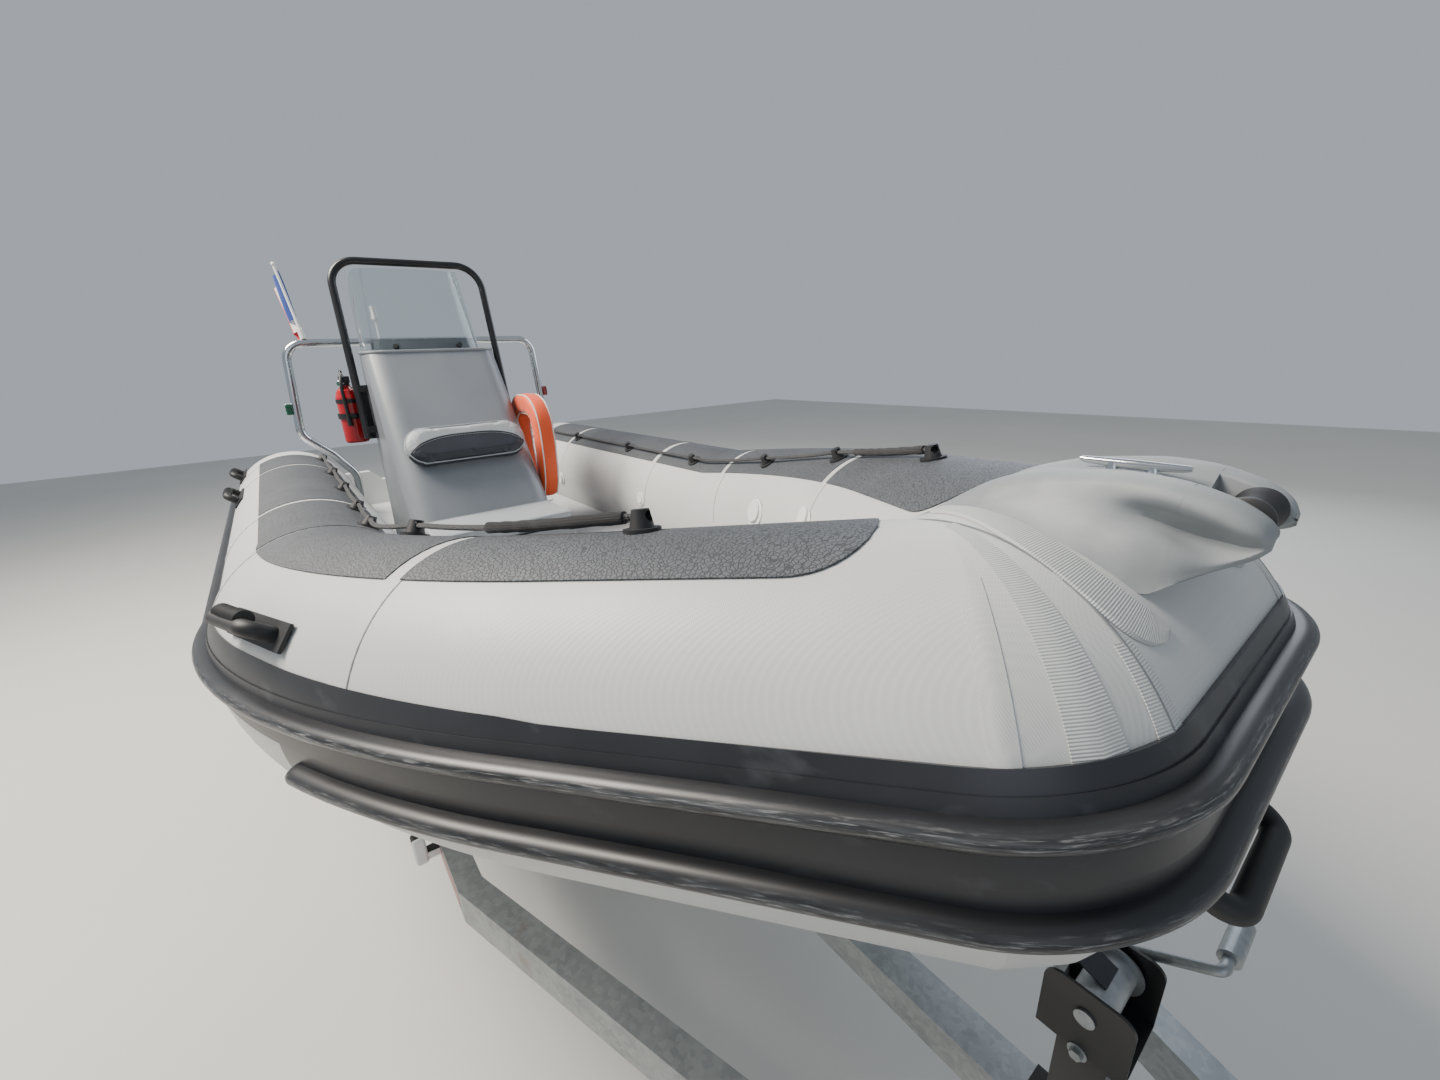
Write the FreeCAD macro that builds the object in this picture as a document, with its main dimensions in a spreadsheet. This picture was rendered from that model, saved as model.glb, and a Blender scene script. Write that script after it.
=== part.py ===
import FreeCAD, Part
import math
import os
import Sketcher
from FreeCAD import Placement, Rotation, Vector

# A rigid inflatable boat with its outboard engine, standing on its road trailer.
# Boat frame, in millimetres: x forward from the transom, y to port, z up from the ground.
# world_shift moves the finished pieces so that the part stands centred on its origin.

doc = FreeCAD.newDocument("InflatableBoat")
sheet = doc.addObject("Spreadsheet::Sheet", "dims")

# columns: name, value
SIZES = [
    ("world_shift", -2392),
    # collar of inflated tubes
    ("tube_radius", 265), ("tube_spacing", 785), ("axis_height", 1120),
    ("cone_end_x", -420), ("cone_start_x", 300), ("cone_end_radius", 120), ("cone_rise", 50),
    ("sheer_x", 2319), ("sheer_angle", 7.5), ("sheer_lead", 80),
    ("bend_radius", 2090), ("bend_angle", 32.5), ("seam_angle", 24.3),
    ("front_half", 180), ("cone_cap_length", 70), ("seat_gap", 0.3),
    # rub strakes and wear pads, at angles round the tube from its top
    ("strake_width", 62), ("strake_height", 46), ("upper_strake_angle", 79),
    ("lower_strake_angle", 99.5), ("lower_strake_start", 21),
    ("line_radius", 6), ("line_stand", 26), ("line_slack", 9), ("line_run", 180), ("line_play", 3.2),
    ("pad_thick", 3), ("pad_outer_angle", 28), ("pad_inner_angle", 42), ("pad_gap", 34),
    # hull, deck and transom
    ("deck_height", 970), ("deck_thick", 12), ("deck_front_x", 2760), ("keel_height", 690),
    ("chine_height", 865), ("chine_half", 640), ("transom_thick", 55), ("transom_top", 1180),
    ("engine_notch_half", 330), ("engine_notch_height", 1120), ("keel_strip", 30),
    ("lash_eye_y", 470), ("lash_eye_height", 1040), ("lash_eye_bore", 10),
    # bow locker
    ("locker_wall", 14), ("locker_height", 1150), ("locker_rear_x", 2760), ("locker_front_x", 3330),
    ("locker_rear_half", 400), ("locker_front_half", 170), ("lid_thick", 22), ("lid_margin", 45),
    ("hinge_x", 3331), ("hinge_height", 1161), ("hinge_half", 110), ("hinge_ear", 14),
    ("hinge_knuckle", 7), ("hinge_bore", 4), ("hinge_pin", 3.2),
    # bow step, cleat and roller
    ("step_half", 150), ("step_flange", 4), ("groove_half", 13), ("slot_half", 37),
    ("roller_x", 4158), ("roller_height", 1617), ("roller_radius", 29), ("roller_length", 66),
    ("roller_pin_radius", 6), ("cleat_x", 4015), ("cleat_length", 150), ("cleat_height", 1690),
    # console, its rail, screen and cushions
    ("console_y", -146), ("console_base_half", 300), ("console_top_half", 283),
    ("console_rear_x", 1060), ("console_front_x", 1875), ("console_top_front_x", 1285),
    ("console_top_height", 1876), ("dash_rear_x", 1070), ("dash_rear_height", 1690),
    ("console_wall", 10), ("console_corner", 90),
    ("rail_radius", 16), ("rail_half", 330), ("rail_foot_x", 1215), ("rail_foot_height", 1500),
    ("rail_top_x", 1080), ("rail_top_height", 2265), ("rail_corner", 110),
    ("screen_thick", 5), ("screen_top_height", 2235), ("screen_top_x", 1125),
    ("front_seat_x", 2010), ("front_seat_height", 1196), ("front_cushion", 70),
    ("seat_half", 286), ("backrest_width", 520), ("backrest_height", 190), ("backrest_thick", 80),
    # helm seat
    ("helm_x", 560), ("helm_length", 260), ("helm_half", 225), ("helm_height", 1400),
    ("helm_cushion", 90), ("helm_back_height", 240),
    # steering wheel and throttle
    ("wheel_rim_radius", 165), ("wheel_rim_tube", 13), ("wheel_centre_height", 1560), ("wheel_tilt", 20),
    # stern arch
    ("arch_radius", 21), ("arch_x", 320), ("arch_half", 668), ("arch_top", 1950),
    ("arch_foot_half", 485), ("arch_knee_half", 700), ("arch_knee_height", 1465), ("arch_corner", 90),
    ("arch_flange_radius", 45), ("arch_flange_thick", 8), ("arch_socket", 60),
    # outboard engine
    ("tilt_x", -70), ("tilt_height", 1165), ("tilt_pin", 13), ("steer_x", -150), ("steer_pin", 17),
    ("swivel_low", 880), ("swivel_high", 1150), ("clamp_half", 105), ("clamp_plate", 16),
    ("prop_height", 545), ("prop_radius", 148), ("prop_x", -505), ("prop_shaft", 11), ("running_gap", 0.5),
    ("leg_half", 45), ("vent_plate_height", 710), ("cowl_low", 1270), ("cowl_top", 1720), ("cowl_half", 178),
    ("cowl_front_x", -95), ("cowl_rear_x", -600),
    # trailer
    ("beam_base", 460), ("beam_height", 100), ("beam_width", 60), ("beam_wall", 4), ("beam_half", 670),
    ("beam_rear_x", 40), ("beam_bend_x", 3000), ("beam_join_x", 4800), ("beam_join_half", 72),
    ("keel_beam_side", 80), ("keel_beam_rear_x", 220), ("coupling_x", 5240), ("cross_side", 60),
    ("axle_x", 1180), ("arm_reach", 130), ("wheel_height", 298), ("track_half", 850), ("arm_thick", 30),
    ("tyre_radius", 298), ("tyre_width", 165), ("rim_radius", 168), ("hub_radius", 60),
    ("stub_radius", 18), ("guard_gap", 42), ("guard_width", 220), ("guard_thick", 3),
    ("keel_roller_radius", 45), ("keel_roller_half", 60), ("bunk_y", 400), ("bunk_width", 90),
    ("bunk_thick", 40), ("winch_x", 4130), ("winch_height", 850),
    ("jockey_x", 4960), ("jockey_y", 85), ("jockey_radius", 100), ("jockey_width", 60),
    ("jockey_tube", 24), ("jockey_trail", 45), ("jockey_pin", 8), ("jockey_fork_top", 248),
    ("jockey_sleeve_low", 430), ("jockey_sleeve_high", 800), ("jockey_stem_top", 600),
    ("cross_rear_x", 260), ("cross_front_x", 2250), ("marker_x", 2776),
    ("strap_width", 46), ("strap_thick", 3),
]

for row, (alias, value) in enumerate(SIZES, start=1):
    sheet.set("A%d" % row, alias)
    sheet.set("B%d" % row, str(value))
    sheet.setAlias("B%d" % row, alias)
doc.recompute()


class Reader:
    """Reads a size from the sheet by its name."""

    def __getattr__(self, name):
        return float(getattr(sheet, name))


d = Reader()
nodes = []


def keep(item, label):
    """Name an object of the document as a piece that is written to a file."""
    item.Label = label
    nodes.append(item)
    return item


def piece(label, shape):
    """A piece whose form is worked out from the sheet in code, in the boat frame."""
    if len(shape.Solids) == 1 and shape.ShapeType != "Solid":
        shape = shape.Solids[0]
    item = doc.addObject("Part::Feature", label)
    item.Shape = shape
    item.Placement = Placement(Vector(d.world_shift, 0, 0), Rotation())
    item.setExpression("Placement.Base.x", "dims.world_shift")
    return keep(item, label)


def rad(degrees):
    return math.radians(degrees)


def box(x0, x1, y0, y1, z0, z1):
    return Part.makeBox(x1 - x0, y1 - y0, z1 - z0, Vector(x0, y0, z0))


def rod(start, end, radius):
    return Part.makeCylinder(radius, (end - start).Length, start, end - start)


def mirror(shape):
    return shape.mirror(Vector(0, 0, 0), Vector(0, 1, 0))


def both(shape):
    return [shape, mirror(shape)]


def fused(shapes):
    first, rest = shapes[0], shapes[1:]
    return first.multiFuse(rest).removeSplitter() if rest else first


def group(shapes):
    """Several solids that don't touch, as one piece."""
    return Part.makeCompound([s for shape in shapes for s in shape.Solids])


def polygon(points):
    return Part.makePolygon(points + points[:1])


def prism(points, along):
    """A solid between a flat outline and its copy moved by a vector."""
    return Part.Face(polygon(points)).extrude(along)


def bent_line(points, radius):
    """A line of straight runs whose corners are arcs of one radius, or as large as they fit."""
    edges = []
    last = points[0]
    for before, corner, after in zip(points, points[1:], points[2:]):
        one, two = before - corner, after - corner
        turn = math.pi - one.getAngle(two)
        trim = min(radius * math.tan(turn / 2), 0.45 * one.Length, 0.45 * two.Length)
        real = trim / math.tan(turn / 2)
        one.normalize()
        two.normalize()
        a, b = corner + one * trim, corner + two * trim
        middle = corner + (one + two).normalize() * (real / math.cos(turn / 2) - real)
        edges += [Part.LineSegment(last, a).toShape(), Part.Arc(a, middle, b).toShape()]
        last = b
    edges.append(Part.LineSegment(last, points[-1]).toShape())
    return Part.Wire(edges)


def bent_tube(points, bend, radius, bore=0):
    """A round tube or rod along a bent line."""
    path = bent_line(points, bend)
    rings = [Part.Wire(Part.Circle(points[0], points[1] - points[0], r).toShape())
             for r in (radius, bore) if r]
    outer = path.makePipeShell([rings[0]], True, False, 1)
    return outer.cut(path.makePipeShell([rings[1]], True, False, 1)) if bore else outer


# Collar

def tilted(u, v, w):
    """A point of the rising forward plane: u forward, v to port, w off the plane."""
    rise = rad(d.sheer_angle)
    return Vector(d.sheer_x + u * math.cos(rise) - w * math.sin(rise), v,
                  d.axis_height + u * math.sin(rise) + w * math.cos(rise))


def bow_corner():
    """Where the starboard axis meets the straight front, in the forward plane."""
    bend = rad(d.bend_angle)
    side = d.tube_spacing - d.front_half - d.bend_radius * (1 - math.cos(bend))
    run = side / math.sin(bend)
    return d.sheer_lead + d.bend_radius * math.sin(bend) + run * math.cos(bend), -d.front_half


GORES = 3


def gore_turn():
    return (90 - d.bend_angle) / GORES


def collar_line(angle, start, finish, stern=True, reach=None):
    """Edges along the collar's surface at an angle from its top, starboard side.

    start and finish are arc angles of the forward bend, or None for the stern and the bow centre.
    """
    radius = d.tube_radius if reach is None else reach
    out, up = radius * math.sin(rad(angle)), radius * math.cos(rad(angle))
    rise, bend = rad(d.sheer_angle), rad(d.bend_angle)

    def on_bend(phi):
        return tilted(d.sheer_lead + (d.bend_radius + out) * math.sin(phi),
                      d.bend_radius - d.tube_spacing - (d.bend_radius + out) * math.cos(phi), up)

    points, edges = [], []
    if start is None:
        if stern is True:
            share = d.cone_end_radius / d.tube_radius
            points.append(Vector(d.cone_end_x, -(d.tube_spacing + out * share),
                                 d.axis_height + d.cone_rise + up * share))
            points.append(Vector(d.cone_start_x, -(d.tube_spacing + out), d.axis_height + up))
        else:
            points.append(Vector(stern, -(d.tube_spacing + out), d.axis_height + up))
        points.append(Vector(d.sheer_x - up * math.tan(rise / 2), -(d.tube_spacing + out),
                             d.axis_height + up))
        points.append(on_bend(0))
        edges += [Part.LineSegment(a, b).toShape() for a, b in zip(points, points[1:])]
        first = 0
    else:
        first = rad(start)
    last = bend if finish is None else rad(finish)
    edges.append(Part.Arc(on_bend(first), on_bend((first + last) / 2), on_bend(last)).toShape())
    if finish is None:
        corner_u, corner_v = bow_corner()
        here = on_bend(last)
        far = out / math.cos(rad(gore_turn() / 2))
        for gore in range(GORES):
            heading = rad(d.bend_angle + gore_turn() * (gore + 0.5))
            there = tilted(corner_u + far * math.sin(heading), corner_v - far * math.cos(heading), up)
            if (there - here).Length > 1:
                edges.append(Part.LineSegment(here, there).toShape())
            here = there
        edges.append(Part.LineSegment(here, tilted(corner_u + out, 0, up)).toShape())
    return edges


def section_at(edge, angle, outline):
    """A closed section across the start of a line, from (outward, along the surface) pairs."""
    start = edge.valueAt(edge.FirstParameter)
    ahead = edge.tangentAt(edge.FirstParameter)
    side = ahead.cross(Vector(0, 0, 1)).normalize()
    upward = side.cross(ahead)
    out = side * math.sin(rad(angle)) + upward * math.cos(rad(angle))
    round_it = side * math.cos(rad(angle)) - upward * math.sin(rad(angle))
    return [start + out * a + round_it * b for a, b in outline]


def swept(edges, section):
    return Part.Wire(edges).makePipeShell([section], True, False, 1)


def side_tube(radius, stern=None):
    """The starboard tube, from its cone to the seam on the forward bend."""
    first = d.cone_start_x if stern is None else stern
    edges = collar_line(0, None, d.seam_angle, stern=first, reach=0)
    ring = Part.Wire(Part.Circle(edges[0].valueAt(0), Vector(1, 0, 0), radius).toShape())
    return swept(edges, ring)


def stern_cone(extra=0):
    ends = [(d.cone_start_x, d.axis_height, d.tube_radius),
            (d.cone_end_x, d.axis_height + d.cone_rise, d.cone_end_radius)]
    rings = [Part.Wire(Part.Circle(Vector(x, -d.tube_spacing, z), Vector(1, 0, 0), r + extra).toShape())
             for x, z, r in ends]
    return Part.makeLoft(rings, True, True)


def behind(point, heading, size=1500):
    """The half space behind a plane of the forward frame that stands across a heading."""
    ahead = tilted(math.cos(heading), math.sin(heading), 0) - tilted(0, 0, 0)
    upward = tilted(0, 0, 1) - tilted(0, 0, 0)
    side = upward.cross(ahead)
    corner = point - side * size - upward * size
    face = Part.Face(polygon([corner, corner + side * 2 * size, corner + side * 2 * size
                              + upward * 2 * size, corner + upward * 2 * size]))
    return face.extrude(ahead * -2 * size)


def bow_tube(radius):
    """The bow: the last of each bend, the side runs, the corner gores and the straight front."""
    corner_u, corner_v = bow_corner()
    corner = tilted(corner_u, corner_v, 0)
    bend = rad(d.bend_angle)
    arc = collar_line(0, d.seam_angle, d.bend_angle, reach=0)
    ring = Part.Circle(arc[0].valueAt(arc[0].FirstParameter), arc[0].tangentAt(arc[0].FirstParameter), radius)
    bend_end = arc[0].valueAt(arc[0].LastParameter)

    def run(heading, start, length):
        ahead = tilted(math.cos(heading), math.sin(heading), 0) - tilted(0, 0, 0)
        return Part.makeCylinder(radius, length, start, ahead)

    def mitre(number):
        return behind(corner, rad(d.bend_angle + gore_turn() * (number + 0.5)))

    def centred(heading, back, ahead):
        way = tilted(math.cos(heading), math.sin(heading), 0) - tilted(0, 0, 0)
        return run(heading, corner - way * back, back + ahead)

    parts = [swept(arc, Part.Wire(ring.toShape())),
             run(bend, bend_end, (corner - bend_end).Length + radius).common(mitre(0))]
    for gore in range(1, GORES):
        heading = rad(d.bend_angle + gore_turn() * gore)
        parts.append(centred(heading, radius, radius).common(mitre(gore)).cut(mitre(gore - 1)))
    parts.append(centred(rad(90), radius, d.front_half).cut(mitre(GORES - 1)))
    half = fused(parts)
    return fused(both(half))


def collar_envelope(extra):
    """The whole collar, larger by a small gap, used to shape what is glued to it."""
    radius = d.tube_radius + extra
    side = side_tube(radius)
    return [side, mirror(side), bow_tube(radius)] + both(stern_cone(extra))


side = side_tube(d.tube_radius)
starboard = fused([side, stern_cone()])
piece("tube_starboard", starboard)
piece("tube_port", mirror(starboard))
bow = bow_tube(d.tube_radius)
piece("tube_bow", bow)
envelope = collar_envelope(d.seat_gap)


def clear_of_collar(shape, others=()):
    for part in list(envelope) + list(others):
        shape = shape.cut(part)
    return shape


def cone_cap():
    centre = Vector(d.cone_end_x, -d.tube_spacing, d.axis_height + d.cone_rise)
    flat = d.cone_end_radius * 0.98
    cup = Part.makeCylinder(flat, d.cone_cap_length * 0.5, centre, Vector(-1, 0, 0))
    crown = Part.makeCone(flat, flat * 0.6, d.cone_cap_length * 0.5,
                          centre - Vector(d.cone_cap_length * 0.5, 0, 0), Vector(-1, 0, 0))
    return fused([cup, crown])


rubber = both(cone_cap())


def strake(angle, start):
    """A D section rub strake along the starboard side to the bow centre."""
    edges = collar_line(angle, start, None)
    half, tall, gap = d.strake_width / 2, d.strake_height, d.seat_gap
    outline = [(gap, -half), (tall * 0.35, -half), (tall, 0), (tall * 0.35, half), (gap, half)]
    a, b, top, c, e = section_at(edges[0], angle, outline)
    section = Part.Wire([Part.LineSegment(a, b).toShape(), Part.Arc(b, top, c).toShape(),
                         Part.LineSegment(c, e).toShape(), Part.LineSegment(e, a).toShape()])
    return swept(edges, section)


strakes = [strake(d.upper_strake_angle, None), strake(d.lower_strake_angle, d.lower_strake_start)]
piece("rub_strakes", group([fused(both(run)) for run in strakes]))


# Wear pads on the tops of the tubes

def pad(edges):
    """A thin skin on the tube's top, between the inner and the outer pad angle."""
    inner, outer = -rad(d.pad_inner_angle), rad(d.pad_outer_angle)
    low, high = d.tube_radius + d.seat_gap, d.tube_radius + d.seat_gap + d.pad_thick
    start = edges[0].valueAt(edges[0].FirstParameter)
    ahead = edges[0].tangentAt(edges[0].FirstParameter)
    side = ahead.cross(Vector(0, 0, 1)).normalize()
    upward = side.cross(ahead)

    def at(angle, reach):
        return start + side * (reach * math.sin(angle)) + upward * (reach * math.cos(angle))

    middle = (inner + outer) / 2
    section = Part.Wire([Part.Arc(at(inner, low), at(middle, low), at(outer, low)).toShape(),
                         Part.LineSegment(at(outer, low), at(outer, high)).toShape(),
                         Part.Arc(at(outer, high), at(middle, high), at(inner, high)).toShape(),
                         Part.LineSegment(at(inner, high), at(inner, low)).toShape()])
    return swept(edges, section)


def straight_run(x0, x1):
    return [Part.LineSegment(Vector(x0, -d.tube_spacing, d.axis_height),
                             Vector(x1, -d.tube_spacing, d.axis_height)).toShape()]


# columns: where each pad on the level part of the tube starts and ends
PAD_RUNS = [(497, 905), (939, 1910)]
# the third pad runs from here over the start of the sheer to this arc angle of the bend
SHEER_PAD = (1944, 2.3)
# columns: where the pad on the forward bend starts and ends, as arc angles
PAD_BENDS = [(3.1, 24.3)]
# the longest pad starts here on the bend and ends at this share of the side run to the corner
LONG_PAD_START = 25.3
LONG_PAD_SHARE = 0.86

pads = [pad(straight_run(x0, x1)) for x0, x1 in PAD_RUNS]
pads.append(pad(collar_line(0, None, SHEER_PAD[1], stern=SHEER_PAD[0], reach=0)))
pads += [pad(collar_line(0, a, b, reach=0)) for a, b in PAD_BENDS]
long_pad = collar_line(0, LONG_PAD_START, d.bend_angle, reach=0)
bend_end = long_pad[0].valueAt(long_pad[0].LastParameter)
to_corner = tilted(*bow_corner(), 0) - bend_end
last_pad = pad(long_pad + [Part.LineSegment(bend_end, bend_end + to_corner * LONG_PAD_SHARE).toShape()])
pads.append(max(clear_of_collar(last_pad).Solids, key=lambda s: s.Volume))
pads = [s for one in pads for s in both(one)]
piece("wear_pads", group(pads))


# Hull, deck and transom

# columns: x, keel height, chine half width, chine height, top half width, top height
HULL_SECTIONS = [
    (d.transom_thick, 0, 0, 0, 0, 0),
    (1500, 0, 0, 0, 0, 0),
    (2500, 25, -40, 45, -40, 0),
    (2760, 60, -100, 85, -80, 0),
    (3150, 130, -210, 150, -150, 90),
    (3600, 330, -400, 270, -330, 150),
    (3880, 500, -560, 340, -540, 215),
]


def hull_section(x, keel, half, chine, top_half, top):
    top_height = d.deck_height - d.deck_thick + top
    chine_half = d.chine_half + half
    side = [(d.keel_strip, d.keel_height + keel), (chine_half, d.chine_height + chine),
            (chine_half + top_half - half + 10, top_height)]
    points = side + [(-y, z) for y, z in reversed(side)]
    return polygon([Vector(x, y, z) for y, z in points])


hull_lines = [hull_section(*row) for row in HULL_SECTIONS]
hull = clear_of_collar(Part.makeLoft(hull_lines, True, True))
piece("hull", max(hull.Solids, key=lambda s: s.Volume))

floor_top = d.deck_height
deck_blank = box(d.transom_thick, d.deck_front_x, -d.tube_spacing, d.tube_spacing,
                 floor_top - d.deck_thick, floor_top)
deck = clear_of_collar(deck_blank)
piece("deck", max(deck.Solids, key=lambda s: s.Volume))


def transom():
    half, notch = d.tube_spacing, d.engine_notch_half
    low, high = d.chine_height, d.transom_top
    outline = [(0, d.keel_height), (d.chine_half, low), (half, high), (notch + 60, high),
               (notch, d.engine_notch_height)]
    points = outline + [(-y, z) for y, z in reversed(outline[1:])]
    board = prism([Vector(0, y, z) for y, z in points], Vector(d.transom_thick, 0, 0))
    board = clear_of_collar(board)
    return max(board.Solids, key=lambda s: s.Volume)


piece("transom", transom())


# Bow locker: a low moulded box across the bow, open inside, with a hinged lid

def locker_outline(x0, x1, inset, z):
    def half(x):
        share = (x - d.locker_rear_x) / (d.locker_front_x - d.locker_rear_x)
        return d.locker_rear_half + share * (d.locker_front_half - d.locker_rear_half) - inset
    return [Vector(x0, -half(x0), z), Vector(x1, -half(x1), z), Vector(x1, half(x1), z),
            Vector(x0, half(x0), z)]


def bow_locker():
    base = d.deck_height
    rear, front = d.locker_rear_x, d.locker_front_x
    tall = Vector(0, 0, d.locker_height - base)
    outer = prism(locker_outline(rear, front, -60, base), tall)
    inner = prism(locker_outline(rear + d.locker_wall, front - d.locker_wall, d.lid_margin, base), tall)
    return outer.cut(inner)




def hinge_rod(reach, radius, start=None):
    """A round part on the lid's hinge axis, from one side or from its start to its reach."""
    near = -reach if start is None else start
    return rod(Vector(d.hinge_x, near, d.hinge_height), Vector(d.hinge_x, reach, d.hinge_height), radius)


def hinge_ears():
    """The locker's two ears with the pin that the lid's knuckle turns on."""
    outer = d.hinge_half + d.hinge_ear
    ears = [hinge_rod(outer, d.hinge_pin)]
    for low, high in ((-outer, -d.hinge_half - 2), (d.hinge_half + 2, outer)):
        ears.append(hinge_rod(high, d.hinge_knuckle, low))
        ears.append(box(d.locker_front_x - 2, d.hinge_x + d.hinge_knuckle, low, high,
                        d.hinge_height - 45, d.hinge_height))
    return ears


def hinge_notches():
    """Room in the lid's front edge for the two ears."""
    inner, outer, deep = d.hinge_half, d.hinge_half + d.hinge_ear + 2, 2 * d.hinge_knuckle + 1
    return [box(d.hinge_x - deep, d.hinge_x + deep, low, high, d.locker_height, d.hinge_height + deep)
            for low, high in ((-outer, -inner), (inner, outer))]


locker = clear_of_collar(bow_locker(), [hull])
locker = fused([max(locker.Solids, key=lambda s: s.Volume)] + hinge_ears())
piece("bow_locker", max(locker.Solids, key=lambda s: s.Volume))
lid_gap = 3
lid = prism(locker_outline(d.locker_rear_x + lid_gap, d.locker_front_x - lid_gap, -10,
                           d.locker_height + d.seat_gap), Vector(0, 0, d.lid_thick))
lid = clear_of_collar(lid.makeFillet(8, [e for e in lid.Edges if e.BoundBox.ZLength < 1]), hinge_notches())
lid = fused([lid, hinge_rod(d.hinge_half, d.hinge_knuckle)]).cut(hinge_rod(d.hinge_half + 1, d.hinge_bore))
piece("bow_locker_lid", max(lid.Solids, key=lambda s: s.Volume))


# Bow step: a moulded nose over the bow with a groove and a slot for the anchor roller

# columns: x, base half width, base height, shoulder half width and height, ridge half width and height
STEP_SECTIONS = [
    (3745, -75, 1440, -95, 1560, 22, 1580),
    (3850, -25, 1440, -40, 1600, 66, 1625),
    (3970, 0, 1440, -20, 1618, 90, 1655),
    (4090, -5, 1440, -30, 1600, 88, 1660),
    (4165, -35, 1480, -42, 1606, 86, 1648),
    (4192, -45, 1590, -46, 1612, 80, 1634),
]


def step_section(x, base_in, base_z, shoulder_in, shoulder_z, ridge_half, ridge_z):
    side = [(d.step_half + base_in, base_z), (d.step_half + shoulder_in, shoulder_z), (ridge_half, ridge_z)]
    points = side + [(-y, z) for y, z in reversed(side)]
    return polygon([Vector(x, y, z) for y, z in points])


# columns: x and half width of the moulding's glued foot, in plan
FOOT_PLAN = [(3690, 175), (3860, 128), (3945, 124), (4040, 157), (4100, 152), (4150, 112), (4132, 84), (4080, 78)]


def flange(reach):
    """The moulding's glued foot: a skin over the bow tube inside a plan outline."""
    low, tall = 1380, 400
    points = [Vector(x, -y, low) for x, y in FOOT_PLAN] + [Vector(x, y, low) for x, y in reversed(FOOT_PLAN)]
    plan = prism(points, Vector(0, 0, tall))
    skin = plan.common(bow_tube(d.tube_radius + d.seat_gap + reach)).cut(bow_tube(d.tube_radius + d.seat_gap))
    upper = box(FOOT_PLAN[0][0], FOOT_PLAN[4][0] + 100, -300, 300, 1490, 1800)
    return skin.common(upper)


step_body = Part.makeLoft([step_section(*row) for row in STEP_SECTIONS], True, False)
step_body = clear_of_collar(step_body)
step_body = max(step_body.Solids, key=lambda s: s.Volume)
bow_step = fused([step_body, flange(d.step_flange)])
for one in pads:
    bow_step = bow_step.cut(one)
far = 200
slot = box(d.roller_x - d.roller_radius - 8, d.roller_x + far, -d.slot_half, d.slot_half,
           d.roller_height - d.roller_radius - 6, d.roller_height + far)
groove = box(d.roller_x - far * 0.9, d.roller_x + far, -d.groove_half, d.groove_half,
             d.roller_height - 2, d.roller_height + far)
pin_hole = rod(Vector(d.roller_x, -far, d.roller_height), Vector(d.roller_x, far, d.roller_height),
               d.roller_pin_radius + d.seat_gap)
bow_step = bow_step.cut(slot).cut(groove).cut(pin_hole)
piece("bow_step", max(bow_step.Solids, key=lambda s: s.Volume))

half = d.roller_length / 2
profile = [(d.roller_pin_radius + 0.5, -half), (d.roller_radius, -half), (d.roller_radius, -half + 9),
           (d.roller_radius * 0.66, 0), (d.roller_radius, half - 9), (d.roller_radius, half),
           (d.roller_pin_radius + 0.5, half)]
roller = Part.Face(polygon([Vector(d.roller_x + r, y, d.roller_height) for r, y in profile]))
roller = roller.revolve(Vector(d.roller_x, 0, d.roller_height), Vector(0, 1, 0), 360)
piece("bow_roller", roller)
pin_half = d.slot_half + 28
steel_fittings = [rod(Vector(d.roller_x, -pin_half, d.roller_height),
                      Vector(d.roller_x, pin_half, d.roller_height), d.roller_pin_radius)]


def step_height(x, y):
    """The height of the step's surface at a place on it."""
    probe = Part.LineSegment(Vector(x, y, 1400), Vector(x, y, 1800)).toShape()
    return probe.common(bow_step).BoundBox.ZMax


def mooring_cleat():
    x, top, arm = d.cleat_x, d.cleat_height, d.cleat_length / 2
    horns = [rod(Vector(x - arm + 8, 0, top), Vector(x + arm - 8, 0, top), 7),
             Part.makeSphere(8, Vector(x - arm + 8, 0, top)), Part.makeSphere(8, Vector(x + arm - 8, 0, top))]
    legs = [Part.makeCone(9, 6.5, top - low, Vector(x + dx, 0, low), Vector(0, 0, 1))
            for dx in (-28, 28) for low in [step_height(x + dx, 0) + 0.2]]
    return fused(horns + legs)


steel_fittings.append(mooring_cleat())


def keel_at(x):
    """The keel's height at a place along the hull."""
    rows = [(row[0], d.keel_height + row[1]) for row in HULL_SECTIONS]
    for (x0, z0), (x1, z1) in zip(rows, rows[1:]):
        if x0 <= x <= x1:
            return z0 + (z1 - z0) * (x - x0) / (x1 - x0)
    return rows[0][1]


# Bow eye on the stem, and two lashing eyes on the transom
EYE_X, EYE_STAND, EYE_HALF, EYE_ROD = 3700, 38, 22, 6


def bow_eye():
    slope = math.atan2(keel_at(EYE_X + 50) - keel_at(EYE_X), 50)
    out = Vector(math.sin(slope), 0, -math.cos(slope))
    foot = Vector(EYE_X, 0, keel_at(EYE_X))
    bar = foot + out * EYE_STAND
    points = [foot - Vector(0, EYE_HALF, 0), bar - Vector(0, EYE_HALF, 0),
              bar + Vector(0, EYE_HALF, 0), foot + Vector(0, EYE_HALF, 0)]
    return bent_tube(points, 12, EYE_ROD).cut(hull), bar


eye, eye_bar = bow_eye()
steel_fittings.append(eye)


def lashing_eye():
    y, z = d.lash_eye_y, d.lash_eye_height
    plate = box(-5, 0, y - 28, y + 28, z - 30, z + 30)
    ear = fused([box(-30, 0, y - 20, y + 20, z - 4, z + 4), rod(Vector(-30, y, z - 4), Vector(-30, y, z + 4), 20)])
    hole = rod(Vector(-30, y, z - 20), Vector(-30, y, z + 20), d.lash_eye_bore)
    return fused([plate, ear]).cut(hole)


steel_fittings += both(lashing_eye())
piece("steel_fittings", group(steel_fittings))


# Tow handle under the lower strake, at the middle of the bow

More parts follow.
